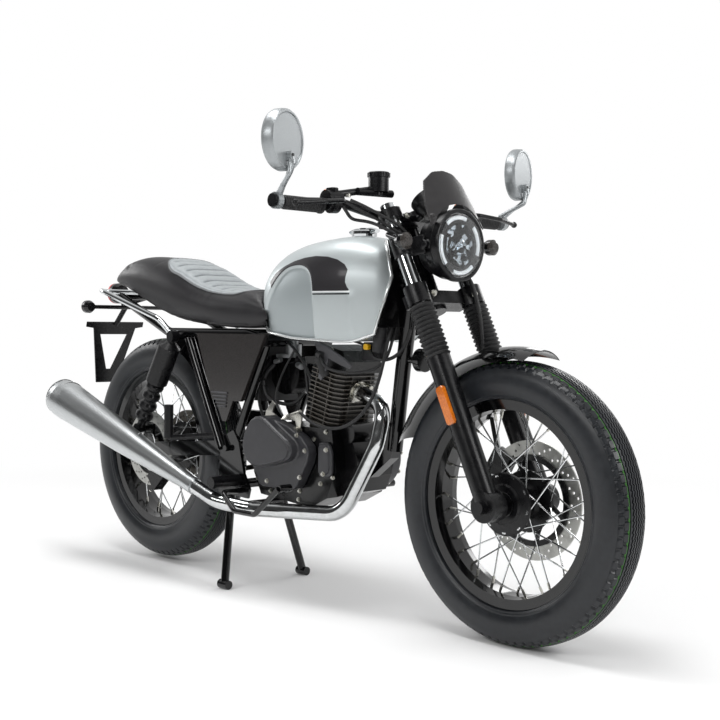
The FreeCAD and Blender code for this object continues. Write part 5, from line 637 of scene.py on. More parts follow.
# Each band: how far it lies from the rear end, and its radius.
MUFFLER_BANDS = ((0.012, 0.0555), (0.045, 0.0580), (0.430, 0.0440))
CARBURETTOR_TOP = ((0.600, -0.030, 0.618), (0.600, -0.030, 0.652), 0.021, 32)
CARBURETTOR_CABLE_NUT = ((0.600, -0.030, 0.652), (0.600, -0.030, 0.662), 0.012, 24)
CARBURETTOR_JET = ((0.636, -0.046, 0.600), (0.668, -0.062, 0.596), 0.008, 16)
CARBURETTOR_INLET = ((0.560, -0.060, 0.606), (0.590, -0.064, 0.612), 0.006, 16)

# Brushed stainless steel: long fine scratches along the cone that spread its highlights.
MUFFLER_STEEL = brushed("brushed_stainless_steel", ("#b4b7b8", "#d4d7d8"), MUFFLER_LINE,
                        (0.26, 0.40))
# Polished stainless steel: nearly a mirror, with faint clouding.
HEADER_STEEL = surface("polished_stainless_steel", ("#c4c6c6", "#dcdedf"), 12,
                       (0.06, 0.16), 0.0, METAL)
finish_nodes(MUFFLER_STEEL, "muffler")
finish_nodes(HEADER_STEEL, "exhaust_header")

flange = [rod_shape(HEADER_PORT + PORT_LINE * start, HEADER_PORT + PORT_LINE * end, radius, 28)
          for start, end, radius in FLANGE_RINGS]
for turn in FLANGE_STUD_TURNS:
    arm = Vector((0, math.cos(turn), math.sin(turn)))
    arm = (arm - PORT_LINE * arm.dot(PORT_LINE)).normalized() * 0.028
    stud = HEADER_PORT + arm
    flange.append(rod_shape(stud, stud + PORT_LINE * 0.026, 0.0055, 12))
joined("exhaust_flange", "frame", ZINC, flange, 30.0)
bands = []
for reach, outer in MUFFLER_BANDS:
    inner = outer - 0.002
    section = [(inner, 0), (outer, 0.001), (outer, 0.004), (inner, 0.005), (inner, 0)]
    bands.append((*lathe(section, 48), facing(MUFFLER_REAR + MUFFLER_AXIS * reach, MUFFLER_AXIS)))
joined("muffler_bands", "frame", HEADER_STEEL, bands, 30.0)
joined("carburettor_fittings", "frame", CAST_ALUMINIUM, [
    rod_shape(*CARBURETTOR_TOP), rod_shape(*CARBURETTOR_CABLE_NUT), rod_shape(*CARBURETTOR_JET),
    rod_shape(*CARBURETTOR_INLET),
    (*bevelled_box((0.060, 0.014, 0.010), 0.003), Matrix.Translation((0.590, -0.044, 0.622)))
], 35.0)

# Chain drive
# A steel roller chain runs from the engine's small sprocket to the large one on the rear hub.

# Oiled steel: grey-brown with a soft shine.
CHAIN_STEEL = surface("oiled_chain_steel", ("#4a4844", "#76726b"), 5, (0.3, 0.5), 0.0, METAL)
finish_nodes(CHAIN_STEEL, "chain", "rear_sprocket")

# Wheels
# Black rolled rims are laced to black cast hubs by 36 crossed steel spokes. Drilled steel brake
# discs sit on black carriers, the front one at the left and the rear one at the right.

FRONT_AXLE = Vector((1.320, 0.0, 0.315))
REAR_AXLE = Vector((0.0, 0.0, 0.335))
SPOKE_COUNT = 36
SPOKE_RADIUS = 0.0018
SPOKE_SWEEP = math.radians(52.0)
NIPPLE_RADIUS = 0.0032
NIPPLE_LENGTH = 0.016
RIM_INNER_RADIUS = 0.204
SPOKE_EDGE = 0.008
SPOKE_HEAD_OUT = 0.004
SPOKE_HEAD_LENGTH = 0.006
SPOKE_HEAD_SWELL = 1.6
DISC_HALF_THICKNESS = 0.0019
DRILL_GROUPS = 18
DRILL_RADIUS = 0.0031
CARRIER_ARMS = 6
CARRIER_BEND = 0.35
CARRIER_DEPTHS = (0.004, 0.0045)


def wheel_point(axle, radius, turn, side):
    return axle + Vector((radius * math.cos(turn), side, radius * math.sin(turn)))


def make_spokes(name, axle, flange, flange_radius, body):
    """Spokes with their bent heads on the hub and their nipples in the rim."""
    wires, nipples = [], []
    for index in range(SPOKE_COUNT):
        side = 1 if index % 2 else -1
        way = 1 if (index // 2) % 2 else -1
        tip_turn = 2 * math.pi * index / SPOKE_COUNT
        tip = wheel_point(axle, RIM_INNER_RADIUS, tip_turn, side * SPOKE_EDGE)
        root = wheel_point(axle, flange_radius, tip_turn + way * SPOKE_SWEEP, side * flange)
        head = root + Vector((0, side * SPOKE_HEAD_OUT, 0))
        neck = head - Vector((0, side * SPOKE_HEAD_LENGTH, 0))
        along = (tip - root).normalized()
        wires += [rod_shape(root, tip, SPOKE_RADIUS, 6),
                  rod_shape(neck, head, SPOKE_RADIUS * SPOKE_HEAD_SWELL, 8)]
        nipples.append(rod_shape(tip - along * NIPPLE_LENGTH, tip, NIPPLE_RADIUS, 6))
    joined(name + "_spokes", body, SPOKE_STEEL, wires)
    joined(name + "_nipples", body, ZINC, nipples)


def make_hub(name, axle, half, flange, core, body):
    """The cast hub: a waisted barrel, two flanges with a raised lip and two stepped end caps."""
    neck = half - 0.014
    side = [
        (0.010, half - 0.003), (core * 0.55, half - 0.003), (core * 0.62, half),
        (core * 0.92, half), (core, half - 0.003), (core, neck + 0.010),
        (flange - 0.014, neck + 0.008),
        (flange - 0.002, neck + 0.007), (flange, neck + 0.005), (flange, neck + 0.002),
        (flange - 0.002, neck), (core * 0.95, neck * 0.85), (core * 0.80, neck * 0.6),
        (core * 0.78, 0.0),
    ]
    profile = side + [(r, -y) for r, y in reversed(side[:-1])]
    hub = joined(name, body, SATIN_BLACK, [(*lathe(profile, 72), facing(axle, (0, 1, 0)))], 30.0)
    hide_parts(name)


def band(small, large, half, steps):
    """A flat ring of rectangular section."""
    section = [(small, -half), (large, -half), (large, half), (small, half), (small, -half)]
    return lathe(section, steps)


def make_disc(name, axle, side, radius, inner, body):
    """A brake disc drilled in slanted groups of three, on a black carrier with bent arms."""
    curve = bpy.data.curves.new(name + "_outline", "CURVE")
    curve.dimensions = "2D"
    curve.fill_mode = "BOTH"
    curve.extrude = DISC_HALF_THICKNESS
    circles = [(0.0, 0.0, radius, 120), (0.0, 0.0, inner, 96)]
    for group in range(DRILL_GROUPS):
        for row in range(3):
            reach = inner + (radius - inner) * (0.24 + 0.26 * row)
            x, y, _ = on_circle(reach, 2 * math.pi * (group + row * 0.3) / DRILL_GROUPS)
            circles.append((x, y, DRILL_RADIUS, 12))
    for x, y, size, count in circles:
        spline = curve.splines.new("POLY")
        spline.points.add(count - 1)
        for i, point in enumerate(spline.points):
            a, b, _ = on_circle(size, 2 * math.pi * i / count)
            point.co = (x + a, y + b, 0, 1)
        spline.use_cyclic_u = True
    outline = bpy.data.objects.new(name + "_outline", curve)
    plate = shape_of(bpy.data.meshes.new_from_object(outline))
    bpy.data.objects.remove(outline)
    place = facing(axle + Vector((0, side, 0)), (0, 1, 0))
    disc = joined(name, body, DISC_STEEL, [(*plate, place)], 30.0)
    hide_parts(name)
    out = 1 if side > 0 else -1
    hub_depth, rim_depth = (-depth * out for depth in CARRIER_DEPTHS)
    arms = [(*band(inner * 0.42, inner * 0.62, 0.003, 48),
             place @ Matrix.Translation((0, 0, hub_depth))),
            (*band(inner * 0.90, inner * 1.03, 0.0025, 64),
             place @ Matrix.Translation((0, 0, rim_depth)))]
    heads = []
    for index in range(CARRIER_ARMS):
        turn = 2 * math.pi * index / CARRIER_ARMS
        start = on_circle(inner * 0.50, turn, hub_depth)
        end = on_circle(inner * 0.97, turn + CARRIER_BEND, rim_depth)
        arms.append((*rod_shape(start, end, 0.0055, 8), place))
        spot = wheel_point(axle, inner * 0.52, 2 * math.pi * (index + 0.5) / CARRIER_ARMS,
                           side + 0.001 * out)
        heads.append((*screw_shape(0.006, 0.004), facing(spot, (0, out, 0))))
    carrier = joined(name + "_carrier", body, SATIN_BLACK, arms, 30.0)
    joined(name + "_screws", body, ZINC, heads)


# Spoke wire: bright drawn stainless steel.
SPOKE_STEEL = surface("drawn_spoke_steel", ("#c2c4c5", "#e0e2e3"), 6, (0.14, 0.26), 0.0, METAL)
# Ground steel: satin grey with turning marks that the pads leave.
DISC_STEEL = surface("ground_disc_steel", ("#a3a39f", "#bfbfbb"), 1, (0.26, 0.40), 0.02, METAL)
make_hub("front_hub", FRONT_AXLE, half=0.048, flange=0.070, core=0.046, body="front_wheel")
make_spokes("front", FRONT_AXLE, flange=0.0375, flange_radius=0.063, body="front_wheel")
make_disc("front_disc", FRONT_AXLE, side=0.058, radius=0.135, inner=0.100, body="front_wheel")
make_hub("rear_hub", REAR_AXLE, half=0.059, flange=0.074, core=0.048, body="rear_wheel")
make_spokes("rear", REAR_AXLE, flange=0.0485, flange_radius=0.067, body="rear_wheel")
make_disc("rear_disc", REAR_AXLE, side=-0.069, radius=0.110, inner=0.078, body="rear_wheel")

# Tyres
# Vintage road tyres: sawtooth grooves round the crown, two rows of small blocks on each shoulder
# and smooth ringed walls. A thin green moulding line runs beside the right shoulder.

TYRE_BED = 0.2173
TYRE_BEAD = 0.2303
TYRE_TEETH = 160
STEPS_A_TOOTH = 4
GROOVE_DEPTH = 0.0050
GROOVES = (0.0, 0.0085, 0.0170)
GROOVE_WALLS = ((-0.0022, 0), (-0.0015, 1), (0.0015, 1), (0.0022, 0))
EDGE_GROOVE = 0.0250
EDGE_GROOVE_WALLS = ((-0.0014, 0), (-0.0009, 1), (0.0009, 1), (0.0014, 0))
SAW_REACH = 0.0018
BLOCKS_FROM = 0.0285
BLOCK_CUT = 0.9
BLOCK_SHARES = (0.0, 0.5, 0.86)
BLOCK_GAP_SHARE = 0.93
INNER_GAPS, OUTER_GAPS, GAP_STEPS = (0, 1), (4, 5), 8
BEAD_INSET = 0.0043
GREEN_LINE_SIDE = -0.0272
GREEN_LINE_HALF = 0.0006
SHOULDER_WIDTH_SHARE = 0.87
SHOULDER_DROP_SHARE = 0.18
WALL_SHARES = ((0.82, 0.87), (0.76, 0.925), (0.68, 0.970), (0.58, 0.995), (0.50, 1.0),
               (0.42, 0.99), (0.34, 0.965), (0.27, 0.925), (0.24, 0.905), (0.225, 0.912),
               (0.20, 0.890), (0.185, 0.872), (0.17, 0.875), (0.15, 0.85))
SAW_SHARES = (-1.0, -0.35, 0.3, 1.0)


def tread_columns(half):
    """Columns across the crown: side, depth and which pattern moves or cuts it."""
    columns = [(centre + offset, deep * GROOVE_DEPTH, "saw")
               for centre in GROOVES for offset, deep in GROOVE_WALLS]
    columns += [(EDGE_GROOVE + offset, deep * GROOVE_DEPTH, "plain")
                for offset, deep in EDGE_GROOVE_WALLS]
    row = (half * SHOULDER_WIDTH_SHARE - 0.0290) / 2
    for index, pattern in enumerate(("inner_row", "outer_row")):
        start = BLOCKS_FROM + row * index
        columns += [(start + row * share, 0.0, pattern) for share in BLOCK_SHARES]
        columns.append((start + row * BLOCK_GAP_SHARE, GROOVE_DEPTH * 0.5, "plain"))
    left = [(-side, deep, pattern) for side, deep, pattern in columns if side > 0.0020]
    return sorted(columns + left)


def make_tyre(name, axle, radius, width, rim_width, body):
    half = width / 2
    height = radius - TYRE_BED
    columns = tread_columns(half)
    steps = TYRE_TEETH * STEPS_A_TOOTH
    wall = [(TYRE_BED + height * high, half * wide) for high, wide in WALL_SHARES]
    wall += [(TYRE_BEAD, rim_width / 2 - BEAD_INSET), (TYRE_BED, rim_width / 2 - BEAD_INSET)]
    right_wall = [(r, -y) for r, y in reversed(wall)]
    points = []
    for step in range(steps):
        saw = SAW_SHARES[step % STEPS_A_TOOTH] * SAW_REACH
        crown = []
        for side, deep, pattern in columns:
            if pattern == "saw":
                side += saw
            gaps = {"inner_row": INNER_GAPS, "outer_row": OUTER_GAPS}.get(pattern, ())
            if step % GAP_STEPS in gaps:
                deep = GROOVE_DEPTH * BLOCK_CUT
            drop = SHOULDER_DROP_SHARE * height * (abs(side) / (half * SHOULDER_WIDTH_SHARE)) ** 3
            crown.append((radius - drop - deep, side))
        ring = right_wall + crown + wall
        points += [wheel_point(axle, r, 2 * math.pi * step / steps, y) for r, y in ring]
    faces = skin(steps, len(ring), True, True)
    tyre = joined(name + "_rubber", body, TYRE_RUBBER, [(points, faces)], 35.0)
    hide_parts(name)


def tyre_rubber():
    """Tyre rubber: near-black with a grey bloom, and the green line at one side of the crown."""
    made = surface("tyre_rubber", ("#14161a", "#212428"), 14, (0.30, 0.42), 0.04)
    tree, shader, plain, place = opened(made)
    split = add(tree, "SeparateXYZ", None, {0: place})
    near = add(tree, "Math", {"operation": "COMPARE", 1: GREEN_LINE_SIDE, 2: GREEN_LINE_HALF},
               {0: split.outputs["Y"]})
    striped = add(tree, "MixRGB", {"Color2": linear("#2c6a18")}, {"Fac": near, "Color1": plain})
    wire(tree, shader, striped)
    return made


TYRE_RUBBER = tyre_rubber()
make_tyre("front_tyre", FRONT_AXLE, radius=0.315, width=0.108, rim_width=0.080,
          body="front_wheel")
make_tyre("rear_tyre", REAR_AXLE, radius=0.325, width=0.120, rim_width=0.088,
          body="rear_wheel")

# Fork
# Chromed stanchions slide in black cast legs below ribbed rubber gaiters. A long orange
# reflector is riveted to the outside of each leg's upper end.

RAKE = math.radians(25.5)
LEG_SIDE = 0.093
REFLECTOR_SIZE = (0.025, 0.008, 0.090)
REFLECTOR_AT = 0.238


def fork_point(forward, side, up):
    """A point of the fork: forward of and along the steering line, from the front axle."""
    return FRONT_AXLE + Vector((forward * math.cos(RAKE) - up * math.sin(RAKE), side,
                                forward * math.sin(RAKE) + up * math.cos(RAKE)))


# Places of the hose as (forward, side, up) of the fork.
BRAKE_HOSE = ((0.034, 0.052, 0.600), (0.040, 0.058, 0.540), (0.030, 0.066, 0.460),
              (-0.010, 0.070, 0.340), (-0.044, 0.078, 0.240), (-0.066, 0.080, 0.140))
BRAKE_HOSE_RADIUS = 0.0052
# Hard chrome: a clear mirror with hardly any clouding.
CHROME = surface("hard_chrome", ("#d5d8da", "#e6e9ea"), 10, (0.03, 0.08), 0.0, METAL)
finish_nodes(CHROME, "fork_stanchions", "grab_rail", "tank_cap")
# Satin silver plate: soft silver that spreads its highlights.
SATIN_SILVER = surface("satin_silver_plate", ("#9fa3a5", "#a8acae"), 2, (0.34, 0.40), 0.0,
                       {"Metallic": 0.7}, 0.0)
finish_nodes(SATIN_SILVER, "mirrors")
finish_nodes(RUBBER, "fork_gaiters", "grips")
# Reflector plastic: clear orange acrylic over small prisms of about 3 mm.
REFLECTOR_ORANGE = surface("orange_reflector_acrylic", ("#a84c06", "#dc7a12"), 3,
                           (0.10, 0.22), 0.25, {"Coat Weight": 1.0, "Coat Roughness": 0.03})

softened("fly_screen", "fork", SCREEN_VINYL, voxel=0.0016, passes=8)
softened("headlight_shell", "fork", SATIN_BLACK, voxel=0.0018, passes=8)
reflectors, yoke_bolts = [], []
for side in (-1, 1):
    middle = fork_point(0.0, side * (LEG_SIDE + 0.026), REFLECTOR_AT)
    lie = Matrix.Translation(middle) @ Matrix.Rotation(-RAKE, 4, "Y")
    if side > 0:
        lie = lie @ Matrix.Rotation(math.pi, 4, "Z")
    reflectors.append((*bevelled_box(REFLECTOR_SIZE, 0.005), lie))
    for up in (0.700, 0.500):
        spot = fork_point(0.030, side * (LEG_SIDE - 0.022), up)
        yoke_bolts.append((*screw_shape(0.0055, 0.006),
                           facing(spot, fork_point(1, 0, 0) - fork_point(0, 0, 0))))
joined("fork_reflectors", "fork", REFLECTOR_ORANGE, reflectors, 20.0)
leads("brake_hose", "fork", [(BRAKE_HOSE_RADIUS, [fork_point(*place) for place in BRAKE_HOSE])])
joined("yoke_bolts", "fork", ZINC, yoke_bolts, 35.0)

# Headlamp
# A black steel bucket with a clear lens. Behind it a black ring holds four white halo arcs round
# a faceted reflector with painted reflections. The lamp hangs between two ears on the lower yoke.

LAMP_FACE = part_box("headlight_lens")
LAMP_CENTRE = Vector((LAMP_FACE[0].x, 0.0, (LAMP_FACE[0].z + LAMP_FACE[1].z) / 2))
LENS_RADIUS = (LAMP_FACE[1].z - LAMP_FACE[0].z) / 2
LENS_DEPTH = LAMP_FACE[1].x - LAMP_FACE[0].x
HALO_RADIUS = LENS_RADIUS * 0.86
HALO_WIDTH = LENS_RADIUS * 0.13
HALO_ARC = math.radians(62.0)
HALO_FIRST_TURN = math.radians(12.0)
HALO_STEPS = 20
# The section of an arc, as shares of its width and heights in metres.
HALO_SECTION = ((-0.5, 0.004), (-0.35, 0.0065), (0.35, 0.0065), (0.5, 0.004))
# The front face of the lens, as shares of its radius and of its depth.
LENS_FACE = ((0.98, 0.60), (0.72, 0.82), (0.38, 0.96))
LENS_BACK = ((0.38, 0.96), (0.70, 0.82), (0.95, 0.60))
LENS_THICKNESS = 0.003
FACET_RINGS, FACET_SPANS = 5, 14
LAMP_LIE = facing(LAMP_CENTRE, (1, 0, 0))

# Lens glass: clear and hardly tinted.
LENS_GLASS = surface("clear_lens_glass", ("#f4f8fa", "#ffffff"), 20, (0.0, 0.02), 0.0,
                     {"Transmission Weight": 1.0, "IOR": 1.45})


def faceted_reflector():
    """Aluminium vapour over facets about 13 mm wide, painted near-black with a few bright ones as
    painted reflections.
    """
    made = surface("vapour_aluminium_reflector", ("#3c4045", "#787d82"), 8, (0.06, 0.16), 0.0,
                   METAL)
    tree, shader, _, place = opened(made)
    # Painted reflections: each facet cell is painted a tone between near-black and pale silver, in
    # place of what it would mirror.
    reflection_cells = add(tree, "TexVoronoi", {"Scale": 1 / (13 * MILLIMETRE)}, {"Vector": place})
    tone = add(tree, "SeparateXYZ", None, {0: reflection_cells.outputs["Color"]})
    lit = add(tree, "MapRange", {"From Min": 0.60, "From Max": 0.80}, {"Value": tone.outputs["X"]})
    colour = add(tree, "MixRGB", {"Color1": linear("#08090a"), "Color2": linear("#c9d0d6")},
                 {"Fac": lit})
    wire(tree, shader, colour)
    return made


REFLECTOR_METAL = faceted_reflector()
# Halo plastic: white diffuser with a faint painted glow, an emission of its own though the lamp is
# off.
HALO_WHITE_PAINTED_GLOW = surface("white_halo_diffuser", ("#e8eef2", "#f8fbfd"), 2, (0.25, 0.35), 0.0,
                     {"Emission Color": linear("#ffffff"), "Emission Strength": 0.15})

face = [(LENS_RADIUS * wide, LENS_DEPTH * deep) for wide, deep in LENS_FACE]
back = [(LENS_RADIUS * wide, LENS_DEPTH * deep - LENS_THICKNESS) for wide, deep in LENS_BACK]
lens = joined("headlight_glass", "fork", LENS_GLASS, [(*lathe(
    [(LENS_RADIUS, 0.004), *face, (0.0, LENS_DEPTH), (0.0, LENS_DEPTH - LENS_THICKNESS), *back,
     (LENS_RADIUS * 0.97, 0.004), (LENS_RADIUS, 0.004)], 96), LAMP_LIE)], 50.0)
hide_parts("headlight_lens")
joined("headlight_halo_bed", "fork", SATIN_BLACK, [(*lathe(
    [(0.0, 0.0), (LENS_RADIUS * 0.96, 0.0), (LENS_RADIUS * 0.96, 0.004),
     (LENS_RADIUS * 0.70, 0.004), (LENS_RADIUS * 0.66, 0.0005)], 96), LAMP_LIE)])
arcs = []
for quarter in range(4):
    start = HALO_FIRST_TURN + quarter * math.pi / 2 - HALO_ARC / 2
    points = [on_circle(HALO_RADIUS + HALO_WIDTH * reach, start + HALO_ARC * i / HALO_STEPS, lift)
              for i in range(HALO_STEPS + 1) for reach, lift in HALO_SECTION]
    last = HALO_STEPS * 4
    faces = inside_out(skin(HALO_STEPS + 1, 4, False))
    faces += [[0, 1, 2, 3], [last + 3, last + 2, last + 1, last]]
    arcs.append((points, faces, LAMP_LIE))
joined("headlight_halo", "fork", HALO_WHITE_PAINTED_GLOW, arcs, 30.0)
points, faces = [], []
for ring in range(FACET_RINGS + 1):
    for span in range(FACET_SPANS):
        dent = 0.0008 + 0.0075 * ((ring * 5 + span * 3) % 4) / 3
        points.append(on_circle(LENS_RADIUS * 0.66 * ring / FACET_RINGS,
                                2 * math.pi * (span + 0.5 * (ring % 2)) / FACET_SPANS, dent))
        if ring < FACET_RINGS:
            a, b = ring * FACET_SPANS + span, ring * FACET_SPANS + (span + 1) % FACET_SPANS
            faces += [[a, b, b + FACET_SPANS], [a, b + FACET_SPANS, a + FACET_SPANS]]
joined("headlight_reflector", "fork", REFLECTOR_METAL, [(points, faces, LAMP_LIE)], 1.0)

# Handlebar
# A low black steel bar carries ribbed rubber grips, switch housings, the brake's cylinder and
# black levers. Round mirrors stand on flat silver arms clamped into the bar ends.

GRIP_RIBS = 16
GRIP_INNER, GRIP_OUTER = 0.254, 0.372
GRIP_RADIUS = 0.0150
GRIP_BORE = 0.0112
GRIP_RIB_HEIGHT = 0.0012
MIRROR_TURN = math.radians(18.0)
MIRROR_FACING = Vector((math.cos(MIRROR_TURN), math.sin(MIRROR_TURN), 0.0))
MIRROR_PLACE = Vector((0.992, 0.405, 1.102))
MIRROR_RADIUS = 0.066
MIRROR_HALF_DEPTH = 0.013
# The rim's section, as a share of the mirror's radius, metres beyond it and metres forward.
MIRROR_RIM = ((0.87, 0.0, 0.0), (0.90, 0.0, 0.0035), (0.96, 0.0, 0.0035), (1.0, 0.0, 0.0),
              (1.0, 0.0012, -0.008), (1.0, 0.0012, -0.020), (1.0, -0.002, -0.026))
BAR_END = Vector((0.951, 0.386, 0.976))
SWITCH_INNER, SWITCH_OUTER = Vector((0.957, 0.206, 0.992)), Vector((0.955, 0.246, 0.990))
SWITCH_BULGE = Vector((0.004, 0.0, -0.010))
SWITCH_TOP = Vector((0.0, 0.0, 0.012))
BUTTON_FROM, BUTTON_TO = Vector((-0.010, 0.0, 0.012)), Vector((-0.024, 0.0, 0.020))
PIVOT_FOOT, PIVOT_TOP = Vector((0.996, 0.214, 0.994)), Vector((0.996, 0.214, 1.001))
BOWL_KNURLS = 18
# The brake's cylinder and its neck, from the middle of the fluid bowl's top.
CYLINDER_ENDS = (Vector((-0.003, -0.066, -0.044)), Vector((0.003, 0.040, -0.042)))
BOWL_NECK_ENDS = (Vector((0.0, -0.004, -0.048)), Vector((0.0, -0.004, -0.020)))
BAR_CABLES = (
    (0.0040, ((0.962, 0.205, 0.985), (0.968, 0.190, 0.962), (0.966, 0.172, 0.950),
              (0.990, 0.160, 0.944), (1.012, 0.148, 0.938), (1.040, 0.128, 0.922),
              (1.062, 0.108, 0.905))),
    (0.0034, ((0.972, 0.200, 0.985), (0.984, 0.176, 0.972), (1.004, 0.150, 0.956),
              (1.034, 0.126, 0.934), (1.058, 0.104, 0.915))),
    (0.0034, ((0.985, 0.196, 0.990), (1.006, 0.164, 0.974), (1.030, 0.134, 0.954),
              (1.048, 0.110, 0.938), (1.056, 0.086, 0.920))),
)


def on_side(place, side):
    """A place of the left side, kept there or mirrored to the right."""
    return Vector((place[0], side * place[1], place[2]))


def bar_place(reach, side):
    """A place on the straight end of the bar, whose middle lies between the CAD bar's walls."""
    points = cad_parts["handlebar"].data.vertices
    near = [v.co for v in points if abs(v.co.y - side * GRIP_OUTER) < 0.004]
    middle = sum(near, Vector()) / len(near)
    return Vector((middle.x, side * reach, middle.z))


def make_grips():
    """Each grip: a collar at its inner end and rounded ribs along the rest."""
    length = GRIP_OUTER - GRIP_INNER
    pitch = (length - 0.016) / GRIP_RIBS
    top = GRIP_RADIUS + GRIP_RIB_HEIGHT
    profile = [(GRIP_BORE, 0.0), (GRIP_RADIUS + 0.003, 0.0), (GRIP_RADIUS + 0.003, 0.005),
               (GRIP_RADIUS, 0.006)]
    for rib in range(GRIP_RIBS):
        start = 0.010 + pitch * rib
        profile += [(GRIP_RADIUS, start), (top, start + pitch * 0.15), (top, start + pitch * 0.6),
                    (GRIP_RADIUS, start + pitch * 0.75)]
    profile += [(GRIP_RADIUS, length - 0.002), (GRIP_BORE, length)]
    shapes = []
    for side in (-1, 1):
        inner, outer = bar_place(GRIP_INNER, side), bar_place(GRIP_OUTER, side)
        shapes.append((*lathe(profile, 40), facing(inner, outer - inner)))
    grips = joined("ribbed_grips", "fork", RUBBER, shapes, 45.0)
    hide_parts("grips")


def make_mirror_parts():
    """The flat arm, its clamp ring, the bolt, the raised rim and the glass of each mirror."""
    silver, glass, ends = [], [], []
    rim = [(MIRROR_RADIUS * share + beyond, forward) for share, beyond, forward in MIRROR_RIM]
    pane = [(0.0, 0.0008), (MIRROR_RADIUS * 0.86, 0.0008), (MIRROR_RADIUS * 0.88, 0.0)]
    for side in (-1, 1):
        centre, foot = on_side(MIRROR_PLACE, side), on_side(BAR_END, side)
        outward = Vector((0, side, 0))
        front = facing(centre + MIRROR_FACING * (MIRROR_HALF_DEPTH - 0.002), MIRROR_FACING)
        back = facing(centre - MIRROR_FACING * (MIRROR_HALF_DEPTH + 0.0005), -MIRROR_FACING)
        knuckle = centre + MIRROR_FACING * MIRROR_HALF_DEPTH + Vector((0, 0, -0.034))
        elbow = knuckle + MIRROR_FACING * 0.010 + Vector((0, 0, -0.020))
        arm = run_through((knuckle + MIRROR_FACING * 0.008, elbow, foot.lerp(elbow, 0.5),
                           foot + Vector((0.010, 0, 0.014))), 0.004)
        silver += [(*lathe(rim, 96), front),
                   rod_shape(knuckle - MIRROR_FACING * 0.004, knuckle + MIRROR_FACING * 0.012,
                             0.0085, 24),
                   swept(arm, 0.0070, 0.0045, 12),
                   rod_shape(foot - outward * 0.006, foot + outward * 0.008, 0.0185, 32)]
        ends += [rod_shape(foot + outward * 0.007, foot + outward * 0.015, 0.0150, 28),
                 rod_shape(knuckle + MIRROR_FACING * 0.011, knuckle + MIRROR_FACING * 0.014,
                           0.0042, 6)]
        glass.append((*lathe(pane, 72), back))
    joined("mirror_arms", "fork", SATIN_SILVER, silver, 35.0)
    joined("mirror_glass", "fork", CHROME, glass, 30.0)
    joined("bar_end_plugs", "fork", SATIN_BLACK, ends, 35.0)


def make_switches():
    """Switch housings with their buttons, the brake's fluid bowl and cylinder, the pivots."""
    dark, buttons, bolts = [], [], []
    for side in (-1, 1):
        inner, outer = on_side(SWITCH_INNER, side), on_side(SWITCH_OUTER, side)
        middle = inner.lerp(outer, 0.5)
        lie = Matrix.Translation(middle + SWITCH_TOP) @ Matrix.Rotation(math.radians(-90.0), 4, "X")
        dark += [rod_shape(inner, outer, 0.0210, 32),
                 rod_shape(inner.lerp(outer, 0.30) + SWITCH_BULGE,
                           inner.lerp(outer, 0.78) + SWITCH_BULGE, 0.0225, 32),
                 (*bevelled_box((0.030, 0.014, 0.018), 0.004), lie)]
        buttons.append(rod_shape(middle + BUTTON_FROM, middle + BUTTON_TO, 0.006, 20))
        bolts.append(rod_shape(on_side(PIVOT_FOOT, side), on_side(PIVOT_TOP, side), 0.006, 18))
    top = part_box("bar_controls")[1].z
    near = [v.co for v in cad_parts["bar_controls"].data.vertices if v.co.z > top - 0.004]
    bowl = sum(near, Vector()) / len(near)
    size = max((v - bowl).length for v in near)
    rim = size * 1.05
    cap = [(0, 0.006), (size * 0.96, 0.006), (rim, 0.004), (rim, -0.006), (size, -0.007)]
    dark += [(*lathe(cap, 48), facing(bowl, (0, 0, 1))),
             rod_shape(*(bowl + end for end in CYLINDER_ENDS), 0.0090, 24),
             rod_shape(*(bowl + end for end in BOWL_NECK_ENDS), 0.0120, 24)]
    for index in range(BOWL_KNURLS):
        edge = bowl + Vector(on_circle(rim, 2 * math.pi * index / BOWL_KNURLS, -0.006))
        dark.append(rod_shape(edge, edge + Vector((0, 0, 0.010)), 0.0014, 6))
    joined("switch_housings", "fork", SATIN_BLACK, dark, 35.0)
    joined("switch_buttons", "fork", REFLECTOR_ORANGE, buttons, 35.0)
    joined("lever_pivots", "fork", ZINC, bolts, 35.0)


make_mirror_parts()
make_switches()
leads("bar_cables", "fork", [(radius, [on_side(place, side) for place in places])
                             for side in (-1, 1) for radius, places in BAR_CABLES])

# Tank
# A pressed steel tank in metallic silver. Its sides carry a graphite patch over two pinstripes and
# a shallow knee recess, and its lower edge is a rolled seam painted a lighter silver as a
# highlight.

TANK_FRONT, TANK_REAR = 0.985, 0.505
TANK_LOW, TANK_TOP = 0.664, 0.924
TANK_HALF = 0.138
TANK_X_SHARES = (0.0, 0.03, 0.075, 0.15, 0.277, 0.448, 0.619, 0.752, 0.867, 0.944, 1.0)
TANK_LOW_SHARES = (0.20, 0.12, 0.07, 0.02, 0.0, 0.015, 0.03, 0.06, 0.10, 0.22, 0.36)
TANK_TOP_SHARES = (0.66, 0.80, 0.895, 0.955, 1.0, 0.99, 0.95, 0.875, 0.76, 0.63, 0.48)
TANK_WIDTH_SHARES = (0.50, 0.60, 0.70, 0.82, 0.93, 1.0, 0.99, 0.92, 0.76, 0.53, 0.30)
TANK_ARCH_WIDTH_SHARES = (0.88, 1.0, 0.95, 0.66, 0.0)
TANK_ARCH_HEIGHT_SHARES = (0.0, 0.38, 0.68, 0.92, 1.0)
NOTCH_HEIGHT_SHARES = (-0.10, 0.11, 0.60, 0.90, 1.20)
NOTCH_DEPTH_SHARES = (0.268, 0.235, 0.123, 0.161, 0.20)
NOTCH_REACH = 0.150
KNEE_OUTLINE = ((0.470, 0.640), (0.470, 0.690), (0.560, 0.716), (0.603, 0.768), (0.632, 0.800),
                (0.655, 0.824), (0.680, 0.841), (0.710, 0.847), (0.740, 0.847), (0.765, 0.838),
                (0.781, 0.818), (0.787, 0.785), (0.787, 0.740), (0.782, 0.700), (0.780, 0.640))
KNEE_DEPTH = 0.0070
KNEE_SLOPE = 0.012
